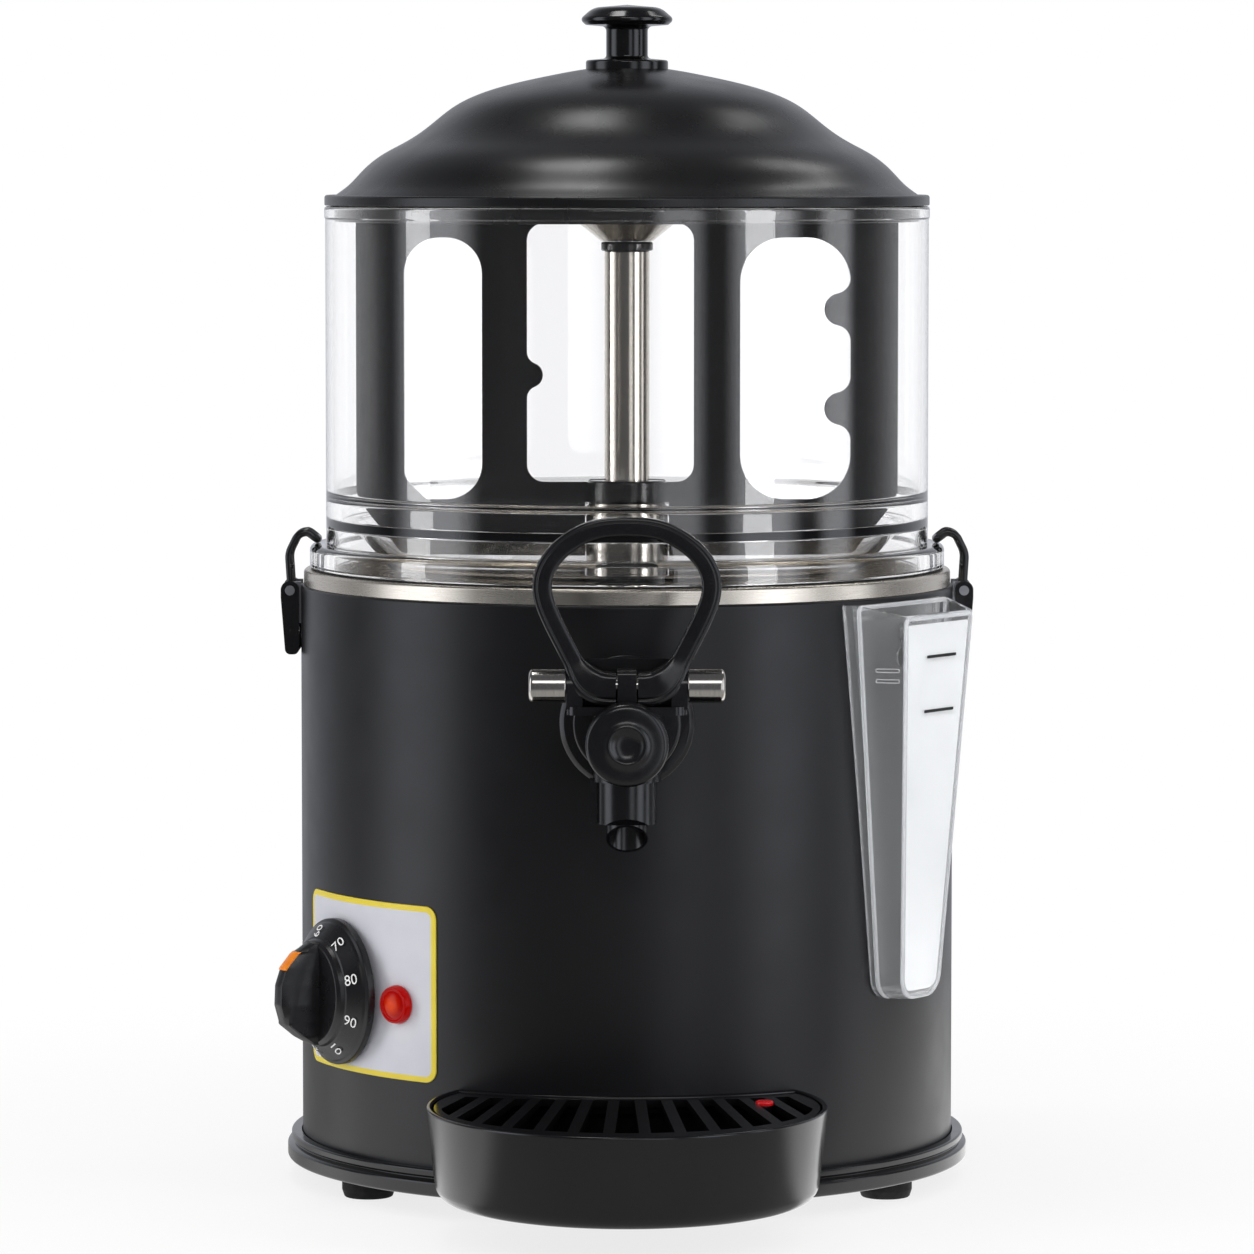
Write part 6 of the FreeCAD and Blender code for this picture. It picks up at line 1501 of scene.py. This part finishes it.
    def build(self) -> None:
        """Makes the overlay, knob, numbers and lamp."""
        shop = self.shop
        shop.piece("overlay", [self.overlay()], OVERLAY, Body.MACHINE, Slot.PANEL_GREY,
                   ["panel_plate"])
        shop.piece("dial_knob", [self.drum(), self.grip()], DIAL_PHENOLIC, Body.DIAL,
                   Slot.BLACK_PLASTIC, ["dial"], 24.0)
        shop.piece("dial_mark", [self.mark()], ORANGE_ABS, Body.DIAL, Slot.POINTER_ORANGE,
                   ["dial_pointer"])
        shop.enter("dial_numerals", self.numeral_mesh(), WHITE_INK, Body.DIAL, Slot.SCALE_WHITE)
        shop.piece("lamp_lens", [self.lens()], LENS_RED, Body.MACHINE, Slot.LAMP_RED, ["lamp"])


# ---------------------------------------------------------------- latches, tray and cup
class Side(Enum):
    """Which side of the machine a latch is on."""

    LEFT = "left"
    RIGHT = "right"


@dataclass
class Latch:
    """Toggle latch: bracket on the housing, channel lever and wire bail."""

    shop: Workshop
    side: Side

    def build(self) -> None:
        """Makes the pieces of one latch."""
        name = self.side.value
        lever = Body("latch_lever_" + name)
        self.shop.softened("latch_plate_" + name, "latch_bracket_" + name, PLATED_STEEL,
                           Body.MACHINE, Slot.STEEL, 0.25)
        self.shop.softened("latch_grip_" + name, "latch_lever_" + name, TAP_NYLON, lever,
                           Slot.BLACK_PLASTIC, 0.35)
        self.shop.dress(COATED_WIRE, "latch_bail_" + name)


@dataclass
class DripTray:
    """Half-oval tray with its fan grille and the red float."""

    shop: Workshop
    centre_out: float = 158.2
    half_w: float = 78.1
    reach: float = 82.2
    low: float = 15.7
    high: float = 52.0
    draft: float = 4.0
    wall: float = 2.2
    foot_round: float = 6.0
    housing: float = 134.3
    base: float = 140.5
    base_step: float = 4.4
    grille_low: float = 48.4
    grille_high: float = 51.2
    grille_inset: float = 3.1
    side_band: float = 5.9
    front_band: float = 16.5
    rear_radius: float = 218.0
    rear_out: float = 140.3
    bars: int = 14
    bar_width: float = 4.5
    fan_step: float = 2.33
    fan_focus: float = 112.0
    pin_x: float = 48.0
    pin_height: float = 34.0
    pin_radius: float = 3.2
    pin_rear: float = 120.0
    pin_front: float = 146.0
    float_x: float = 53.6
    float_out: float = 148.6
    float_low: float = 18.2
    float_neck: float = 50.4
    float_high: float = 52.3
    float_hole: float = 4.0

    def plan(self, inset: float, back: float) -> Array:
        """Plan of the tray: an oval, cut off behind by a circle about the machine's axis.

        The front is (a sin t, -c - b cos t), up to the t at which it meets the circle.

        Args:
            inset: how far inside the rim's oval the line runs.
            back: the circle's radius.

        Returns:
            Points of shape (n, 2).
        """
        a, b = self.half_w - inset, self.reach - inset
        t = np.linspace(0.0, math.pi, 2001)
        far = np.hypot(a * np.sin(t), self.centre_out + b * np.cos(t))
        meet = np.interp(-back, -far, t)
        t = np.linspace(-meet, meet, 121)
        front = np.stack([a * np.sin(t), -self.centre_out - b * np.cos(t)], axis=1)
        end = math.atan2(front[-1, 0], -front[-1, 1])
        turn = np.linspace(end, -end, 41)[1:-1]
        rear = np.stack([back * np.sin(turn), -back * np.cos(turn)], axis=1)
        return np.concatenate([front, rear])

    def level(self, inset: float, up: float, back: float) -> Array:
        """The plan at one height, drawn in by the mould's draft and the inset."""
        shrink = self.draft * (self.high - up) / (self.high - self.low)
        flat = self.plan(inset + shrink, back + inset)
        return np.concatenate([flat, np.full((len(flat), 1), up)], axis=1)

    def pan(self) -> Surface:
        """Rows of the plan: round the foot, up the outside, over the rim and down to the floor.

        At a height h under the foot's radius r, the foot draws in by r - sqrt(r^2 - (r - h)^2).
        """
        r, wall, step = self.foot_round, self.wall, self.low + self.base_step
        heights = np.array([0.0, 0.12, 0.5, 1.1, 2.0, 3.2, 4.4, 4.4, 5.2, 6.0])
        drawn = r - np.sqrt(r ** 2 - (r - heights) ** 2)
        backs = [self.base] * 7 + [self.housing] * 3
        rows = list(zip(drawn, self.low + heights, backs))
        rim = rounded([(0.0, 30.0), (0.0, self.high, 0.9), (wall, self.high, 0.9),
                       (wall, self.grille_low - 0.2), (4.6, self.grille_low - 0.2),
                       (4.6, self.grille_low - 2.7), (wall, self.grille_low - 5.1),
                       (wall, step + wall)], closed=False, steps=5)
        rows += [(inset, up, self.housing) for inset, up in rim]
        rows += [(inset, up, self.base) for inset, up in (
            (wall, step + wall), (2.4, 20.5), (3.4, 18.9), (5.2, 18.0), (6.4, self.low + wall))]
        return Surface(np.stack([self.level(*row) for row in rows]), cap=True)

    @staticmethod
    def reached(start: Array, way: Array, middle: Array, radii: Array) -> tuple[Array, Array]:
        """How far lines run before they leave an oval, and whether they meet it.

        With p and q the start and way over the radii, it is the larger root of |p + s q| = 1.
        """
        p, q = (start - middle) / radii, way / radii
        square, half, rest = (q * q).sum(1), (p * q).sum(1), (p * p).sum(1) - 1
        inside = half ** 2 - square * rest
        return (np.sqrt(np.maximum(inside, 0.0)) - half) / square, inside > 0

    def slots(self) -> list[Surface]:
        """The gaps between neighbouring bars of the fan, from the rear arc to the front oval."""
        share = np.linspace(0.0, 1.0, 9)
        found = []
        for index in range(-1, self.bars):
            angle = np.radians((index + share - (self.bars - 1) / 2) * self.fan_step)
            way = np.stack([np.sin(angle), -np.cos(angle)], axis=1)
            aside = np.stack([np.cos(angle), np.sin(angle)], axis=1)
            start = (0.5 - share)[:, None] * self.bar_width * aside
            start = start + np.array([0.0, self.fan_focus])
            near, _ = self.reached(start, way, np.array([0.0, self.rear_radius - self.rear_out]),
                                   np.full(2, self.rear_radius))
            far, met = self.reached(start, way, np.array([0.0, -self.centre_out]), np.array(
                [self.half_w - self.side_band, self.reach - self.front_band]))
            kept = met & (far - near > 2.0)
            if kept.sum() < 2:
                continue
            ring = np.concatenate([(start + near[:, None] * way)[kept],
                                   (start + far[:, None] * way)[kept][::-1]])
            found.append(self.prism(ring, self.grille_low - 1.0, self.grille_high + 1.0))
        return found

    @staticmethod
    def prism(outline: Array, low: float, high: float) -> Surface:
        """A flat outline between two heights."""
        grid = np.stack([np.concatenate([outline, np.full((len(outline), 1), up)], axis=1)
                         for up in (low, high)])
        return Surface(grid, cap=True)

    def pins(self) -> list[Surface]:
        """Room for the two pins that carry the tray."""
        r, rear, front = self.pin_radius, self.pin_rear, self.pin_front
        bar = turned(np.array([(0, rear), (r, rear), (r, front), (0, front)]), 24, False)
        return [bar.moved(lambda p, x=side * self.pin_x: np.stack(
            [p[..., 0] + x, -p[..., 2], p[..., 1] + self.pin_height], axis=-1)) for side in (-1, 1)]

    def at_float(self, profile: Array) -> Surface:
        """A profile turned about the float's upright axis."""
        return turned(profile, 48, False).moved(
            lambda p: p + np.array([self.float_x, -self.float_out, 0.0]))

    def float_parts(self) -> tuple[Surface, Surface]:
        """The red head that shows in the grille, and the black stem with its disc."""
        low, neck, high = self.float_low, self.float_neck, self.float_high
        head = self.at_float(rounded([(0, neck), (3.5, neck, 0.2), (3.5, high, 0.9), (0, high)],
                                     closed=False))
        stem = self.at_float(rounded([
            (0, low), (6.5, low, 1.0), (6.5, low + 7.0, 1.0), (3.2, low + 7.0), (3.2, neck),
            (0, neck)], closed=False))
        return head, stem

    def build(self) -> None:
        """Makes the tray, grille and float."""
        shop = self.shop
        pan = shop.carved("tray_pan", shop.mesh("tray_pan", [self.pan()]),
                          [[pin] for pin in self.pins()])
        shop.enter("tray_pan", pan, TRAY_PLASTIC, Body.DRIP_TRAY, Slot.BLACK_PLASTIC, ["drip_tray"])
        plate = self.prism(self.plan(self.grille_inset, self.housing + 2.7), self.grille_low,
                           self.grille_high)
        r, low, high = self.float_hole, self.grille_low - 1.4, self.grille_high + 1.8
        hole = self.at_float(np.array([(0, low), (r, low), (r, high), (0, high)]))
        grille = shop.carved("tray_grille", shop.mesh("tray_grille", [plate]),
                             [self.slots(), [hole]])
        shop.ease(shop.enter("tray_grille", grille, TRAY_PLASTIC, Body.DRIP_GRILLE,
                             Slot.BLACK_PLASTIC, ["drip_grille"]), 0.4, 2)
        head, stem = self.float_parts()
        shop.piece("tray_float", [head], RED_ABS, Body.FULL_FLOAT, Slot.FLOAT_RED, ["full_float"])
        shop.piece("float_stem", [stem], TAP_NYLON, Body.FULL_FLOAT, Slot.BLACK_PLASTIC)


@dataclass
class LevelCup:
    """Clear cup that shows the bath's water level against a white scale with two level marks."""

    shop: Workshop
    azimuth: float = 54.6
    low: float = 84.0
    rise: float = 158.4
    housing: float = 133.8
    low_depth: float = 10.5
    high_depth: float = 19.2
    wall: float = 1.8
    low_half: float = 13.6
    high_half: float = 25.0
    flare: float = 0.44
    rim_drop: float = 4.4
    edge_radius: float = 0.95
    strip_foot: float = 3.4
    strip_head: float = 7.8
    mark_heights: tuple[float, float] = (221.4, 199.6)
    mark_ends: tuple[float, float] = (-8.2, 13.0)
    slot_heights: tuple[float, float] = (216.8, 212.6)
    slot_shares: tuple[float, float] = (0.38, 0.86)
    flank_span: float = 20.0

    def half_and_depth(self, up: Array) -> tuple[Array, Array]:
        """Half width and depth of the front face, which both grow evenly with the height."""
        share = (np.asarray(up) - self.low) / self.rise
        return (self.low_half + (self.high_half - self.low_half) * share,
                self.low_depth + (self.high_depth - self.low_depth) * share)

    def sheet(self, outline: Array, behind: float, thick: float) -> Surface:
        """A flat sheet parallel to the front face, a given depth behind it.

        Args:
            outline: (sideways, up) points.
            behind: from the front face to the sheet's front.
            thick: the sheet's thickness.

        Returns:
            The sheet.
        """
        face = self.housing + self.half_and_depth(outline[:, 1])[1] - behind
        grid = np.stack([np.concatenate([outline, out[:, None]], axis=1)
                         for out in (face - thick, face)])
        return Surface(grid, cap=True).moved(at_azimuth(self.azimuth))

    def strip(self) -> Surface:
        """White scale that fills the front face between its edges."""
        low, high = self.low + self.strip_foot, self.low + self.rise - self.strip_head
        inset = self.wall + 0.5
        foot, head = self.half_and_depth(low)[0] - inset, self.half_and_depth(high)[0] - inset
        outline = rounded([
            (-foot, low, 6.0), (foot, low, 6.0), (head, high, 0.5), (-head, high, 0.5)])
        return self.sheet(outline, self.wall + 0.15, 0.8)

    def mark(self, up: float) -> Surface:
        """A thin printed bar on the cup's face."""
        left, right = self.mark_ends
        outline = rounded([
            (left, up - 0.6), (right, up - 0.6), (right, up + 0.6), (left, up + 0.6)])
        return self.sheet(outline, -0.05, 0.3)

    def edge(self, inner: float) -> Surface:
        """The thick edge round the front face, or round the cup's back.

        Args:
            inner: 0 for the front edge and 1 for the back.

        Returns:
            The edge's tube.
        """
        top = self.low + self.rise - self.rim_drop * (1 - inner) - 0.9
        ends = []
        for up in (self.low + 0.9, top):
            half, depth = self.half_and_depth(up)
            ends.append((float(half + inner * self.flare * depth) - 0.9, up))
        (foot, low), (head, high) = ends
        flat = refined(rounded([(-foot, low, 8.5), (foot, low, 8.5), (head, high, 2.0),
                                (-head, high, 2.0)], steps=12), 4.0)
        depth = self.half_and_depth(flat[:, 1])[1]
        out = self.housing + 1.4 * inner + (depth - 0.9) * (1 - inner)
        path = at_azimuth(self.azimuth)(np.concatenate([flat, out[:, None]], axis=1))
        return tube_along(path, self.edge_radius, 12, closed=True)

    def slot(self, up: float) -> Surface:
        """A raised oblong outline on the left flank."""
        back, front = (share * self.flank_span for share in self.slot_shares)
        flat = rounded([(back, up - 0.65, 0.6), (front, up - 0.65, 0.6), (front, up + 0.65, 0.6),
                        (back, up + 0.65, 0.6)], steps=6)
        half, depth = self.half_and_depth(flat[:, 1])
        share = flat[:, 0] / self.flank_span
        sideways = -(half + self.flare * depth * (1 - share)) - 0.05
        path = np.stack([sideways, flat[:, 1], self.housing + depth * share], axis=1)
        return tube_along(at_azimuth(self.azimuth)(path), 0.22, 8, closed=True)

    def build(self) -> None:
        """Makes the cup, its edges, its scale and the marks."""
        shop = self.shop
        shop.softened("cup_shell", "level_cup", CUP_CLEAR, Body.LEVEL_CUP, Slot.CLEAR_PLASTIC, 0.7)
        shop.piece("cup_edges", [self.edge(0.0), self.edge(1.0)]
                   + [self.slot(up) for up in self.slot_heights],
                   CUP_EDGE, Body.LEVEL_CUP, Slot.CLEAR_PLASTIC)
        shop.piece("cup_scale", [self.strip()], SCALE_OPAL, Body.LEVEL_CUP, Slot.SCALE_WHITE,
                   ["level_scale"])
        shop.piece("level_marks", [self.mark(up) for up in self.mark_heights], BLACK_INK,
                   Body.LEVEL_CUP, Slot.BLACK_PLASTIC)


# ---------------------------------------------------------------- studio
@dataclass
class Softbox:
    """A rectangular lamp that looks at a point."""

    name: str
    azimuth: float
    distance: float
    height: float
    size: tuple[float, float]
    power: float
    aim: float = 0.24
    mirrored: bool = True

    def build(self) -> None:
        """Adds the lamp; lengths are in metres here."""
        data = bpy.data.lights.new(self.name, "AREA")
        data.shape, data.size, data.size_y, data.energy = "RECTANGLE", *self.size, self.power
        thing = bpy.data.objects.new(self.name, data)
        turn = math.radians(self.azimuth)
        thing.location = (self.distance * math.sin(turn), -self.distance * math.cos(turn),
                          self.height)
        look = Vector((0.0, 0.0, self.aim)) - thing.location
        thing.rotation_euler = look.to_track_quat("-Z", "Y").to_euler()
        thing.visible_glossy = self.mirrored
        bpy.context.scene.collection.objects.link(thing)


@dataclass(frozen=True)
class Card:
    """A tall white card that only reflections show, between two azimuths in degrees."""

    first: float
    last: float
    level: float
    soft: float = 8.0


@dataclass
class Studio:
    """Pale floor, white backdrop, lamps, reflector cards and the camera."""

    camera_distance: float = 2.587
    camera_height: float = 0.4201
    camera_tilt: float = 4.285
    focal_mm: float = 181.1
    front_gloss: float = 0.12
    backdrop_gloss: float = 0.6
    backdrop_clear: float = 1.2
    ambient: float = 0.55
    floor_gloss: float = 0.42
    floor_centre: float = 0.158
    floor_half: float = 30.0
    floor_cards: tuple[Card, ...] = (Card(-128.0, -72.0, 0.9, 18.0), Card(92.0, 150.0, 1.0, 18.0))
    cards: tuple[Card, ...] = (
        Card(-94.0, -64.0, 1.9, 16.0), Card(12.0, 28.0, 1.2), Card(42.0, 66.0, 2.0, 12.0),
        Card(80.0, 94.0, 1.5))
    boxes: tuple[Softbox, ...] = (
        Softbox("left_box", -84.0, 1.4, 0.5, (0.3, 1.4), 7.5, 0.24, False),
        Softbox("right_box", 50.0, 1.4, 0.5, (0.3, 1.4), 10.0, 0.24, False),
        Softbox("crown_box", -99.0, 0.24, 1.6, (0.42, 0.34), 3.3, 0.43),
        Softbox("rear_box", 128.0, 0.87, 1.4, (0.3, 0.45), 1.4, 0.43),
        Softbox("front_fill", 0.0, 3.0, 2.0, (1.6, 0.8), 14.0, 0.24))

    @staticmethod
    def card_light(tree: NodeTree, parts: Node, cards: Sequence[Card]) -> Node:
        """The cards' summed brightness in a direction, each with soft sides.

        Args:
            tree: the tree that takes the nodes.
            parts: the node with the direction's x and y.
            cards: the cards.

        Returns:
            The node whose first output is the sum.
        """
        forward = add_node(tree, "Math", {0: parts.outputs[1], 1: -1.0}, MULTIPLY)
        azimuth = add_node(tree, "Math", {0: parts.outputs[0], 1: forward}, ARCTAN2)
        total = 0.0
        for card in cards:
            middle = math.radians((card.first + card.last) / 2)
            half = math.radians((card.last - card.first) / 2)
            soft = math.radians(card.soft) / 2
            away = add_node(tree, "Math", {0: azimuth, 1: middle}, SUBTRACT)
            away = add_node(tree, "Math", {0: away}, ABSOLUTE)
            shown = add_node(tree, "MapRange", {
                "Value": away, "From Min": half - soft, "From Max": half + soft,
                "To Min": card.level, "To Max": 0.0}, SMOOTH)
            total = add_node(tree, "Math", {0: total, 1: shown}, ADD)
        return total

    def reflected(self, tree: NodeTree, way: NodeSocket, passed: NodeSocket) -> Node:
        """What gloss and clear parts see: dim in front, the low backdrop behind, the cards.

        The level is front + behind * low * backdrop + cards * upright.

        Args:
            tree: the world's tree.
            way: the direction looked in.
            passed: 1 for rays that came through a clear part, which see the whole backdrop.

        Returns:
            The node whose first output is the strength.
        """
        parts = add_node(tree, "SeparateXYZ", {0: way})
        behind = add_node(tree, "MapRange", {
            "Value": parts.outputs[1], "From Min": 0.2, "From Max": 0.8, "To Min": 0.0,
            "To Max": 1.0 - self.front_gloss}, SMOOTH)
        low = add_node(tree, "MapRange", {
            "Value": parts.outputs[2], "From Min": 0.35, "From Max": 0.75,
            "To Min": 1.0, "To Max": 0.25}, SMOOTH)
        steep = add_node(tree, "Math", {0: parts.outputs[2]}, ABSOLUTE)
        upright = add_node(tree, "MapRange", {
            "Value": steep, "From Min": 0.5, "From Max": 0.7, "To Min": 1.0, "To Max": 0.0}, SMOOTH)
        backdrop = add_node(tree, "MapRange", {
            "Value": passed, "To Min": self.backdrop_gloss, "To Max": self.backdrop_clear})
        rear = add_node(tree, "Math", {0: behind, 1: low}, MULTIPLY)
        rear = add_node(tree, "Math", {0: rear, 1: backdrop}, MULTIPLY)
        total = add_node(tree, "Math", {0: self.front_gloss, 1: rear}, ADD)
        cards = add_node(tree, "Math", {
            0: self.card_light(tree, parts, self.cards), 1: upright}, MULTIPLY)
        return add_node(tree, "Math", {0: total, 1: cards}, ADD)

    def floor(self) -> None:
        """Wide floor: white by itself far out, and partly lit near the machine, for its shadow.

        Clear parts see the lit floor near the machine, and past it the surroundings. Gloss sees a
        dim floor there, with the light of two cards across it.
        """
        material, tree = new_material("floor_white")
        path = add_node(tree, "LightPath")
        camera, glossy, passed = (path.outputs[name] for name in (
            "Is Camera Ray", "Is Glossy Ray", "Is Transmission Ray"))
        far = add_node(tree, "VectorMath", {0: place_coords(tree)}, LENGTH)
        own = add_node(tree, "MapRange", {
            "Value": far.outputs["Value"], "From Min": 0.2, "From Max": 0.6,
            "To Min": 0.8, "To Max": 1.0}, SMOOTH)
        beyond = add_node(tree, "MapRange", {
            "Value": far.outputs["Value"], "From Min": 0.5, "From Max": 0.9})
        lit = add_node(tree, "BsdfDiffuse", {"Color": linear("#FAFAFA")})
        white = add_node(tree, "Emission", {"Color": (1, 1, 1, 1), "Strength": 1.0})
        clear = add_node(tree, "BsdfTransparent")
        shown = add_node(tree, "Math", {0: camera, 1: own}, MULTIPLY)
        seen = add_node(tree, "MixShader", {0: shown, 1: lit, 2: white})
        parts = add_node(tree, "SeparateXYZ", {
            0: place_coords(tree, shift=(0.0, self.floor_centre, 0.0))})
        strength = add_node(tree, "Math", {
            0: self.floor_gloss, 1: self.card_light(tree, parts, self.floor_cards)}, ADD)
        sheen = add_node(tree, "Emission", {"Strength": strength})
        mirrored = add_node(tree, "Math", {0: glossy, 1: passed}, SUBTRACT)
        mirrored = add_node(tree, "Math", {0: mirrored, 1: 0.0}, MAXIMUM)
        seen = add_node(tree, "MixShader", {0: mirrored, 1: seen, 2: sheen})
        traced = add_node(tree, "Math", {0: glossy, 1: passed}, MAXIMUM)
        gone = add_node(tree, "Math", {0: traced, 1: beyond}, MULTIPLY)
        mixed = add_node(tree, "MixShader", {0: gone, 1: seen, 2: clear})
        add_node(tree, "OutputMaterial", {"Surface": mixed})
        mesh = bpy.data.meshes.new("floor")
        side = self.floor_half
        mesh.from_pydata([(-side, -side, 0), (side, -side, 0), (side, side, 0), (-side, side, 0)],
                         [], [(0, 1, 2, 3)])
        mesh.materials.append(material)
        thing = bpy.data.objects.new("floor", mesh)
        bpy.context.scene.collection.objects.link(thing)

    def world(self) -> None:
        """White for the camera, the cards and backdrop for gloss and clear parts, even else."""
        world = bpy.data.worlds.new("studio")
        world.use_nodes = True
        tree = world.node_tree
        tree.nodes.clear()
        path = add_node(tree, "LightPath")
        camera, glossy, passed = (path.outputs[name] for name in (
            "Is Camera Ray", "Is Glossy Ray", "Is Transmission Ray"))
        coords = add_node(tree, "TexCoord")
        traced = add_node(tree, "Math", {0: glossy, 1: passed}, MAXIMUM)
        first = add_node(tree, "Math", {0: path.outputs["Diffuse Depth"], 1: 0.5}, LESS_THAN)
        traced = add_node(tree, "Math", {0: traced, 1: first}, MULTIPLY)
        shiny = add_node(tree, "Math", {
            0: traced, 1: self.reflected(tree, coords.outputs["Generated"], passed)}, MULTIPLY)
        other = add_node(tree, "Math", {0: 1.0, 1: traced}, SUBTRACT)
        plain = add_node(tree, "Math", {0: other, 1: self.ambient}, MULTIPLY)
        strength = add_node(tree, "Math", {0: shiny, 1: plain}, ADD)
        strength = add_node(tree, "Math", {0: camera, 1: strength}, MAXIMUM)
        mirrored = add_node(tree, "Math", {0: glossy, 1: passed}, SUBTRACT)
        tint = add_node(tree, "Mix", {
            0: mirrored, 6: linear("#FFFFFF"), 7: linear("#F3F6FF")}, COLOURS)
        shader = add_node(tree, "Background", {"Color": tint.outputs[2], "Strength": strength})
        add_node(tree, "OutputWorld", {"Surface": shader})
        bpy.context.scene.world = world

    def camera(self) -> None:
        """A long lens a little above the middle, looking slightly down."""
        data = bpy.data.cameras.new("camera")
        data.lens, data.sensor_width, data.clip_end = self.focal_mm, 36.0, 100.0
        thing = bpy.data.objects.new("camera", data)
        thing.location = (0.0, -self.camera_distance, self.camera_height)
        thing.rotation_euler = (math.radians(90.0 - self.camera_tilt), 0.0, 0.0)
        bpy.context.scene.collection.objects.link(thing)
        bpy.context.scene.camera = thing

    def build(self) -> None:
        """Sets the stage."""
        bpy.context.scene.view_settings.view_transform = "Standard"
        self.floor()
        self.world()
        for box in self.boxes:
            box.build()
        self.camera()


# ---------------------------------------------------------------- the scene
def main() -> None:
    """Builds each sub-assembly in order, then the studio."""
    logging.basicConfig(level=logging.INFO, format="%(name)s: %(message)s")
    shop = Workshop(frame["nodes"])
    for assembly in (
            Casing(shop), Bowl(shop), Lid(shop), Stirrer(shop), Tap(shop), ControlPanel(shop),
            Latch(shop, Side.LEFT), Latch(shop, Side.RIGHT), DripTray(shop), LevelCup(shop)):
        assembly.build()
    Studio().build()
    LOG.info("%d pieces", shop.made)


if __name__ == "__main__":
    main()
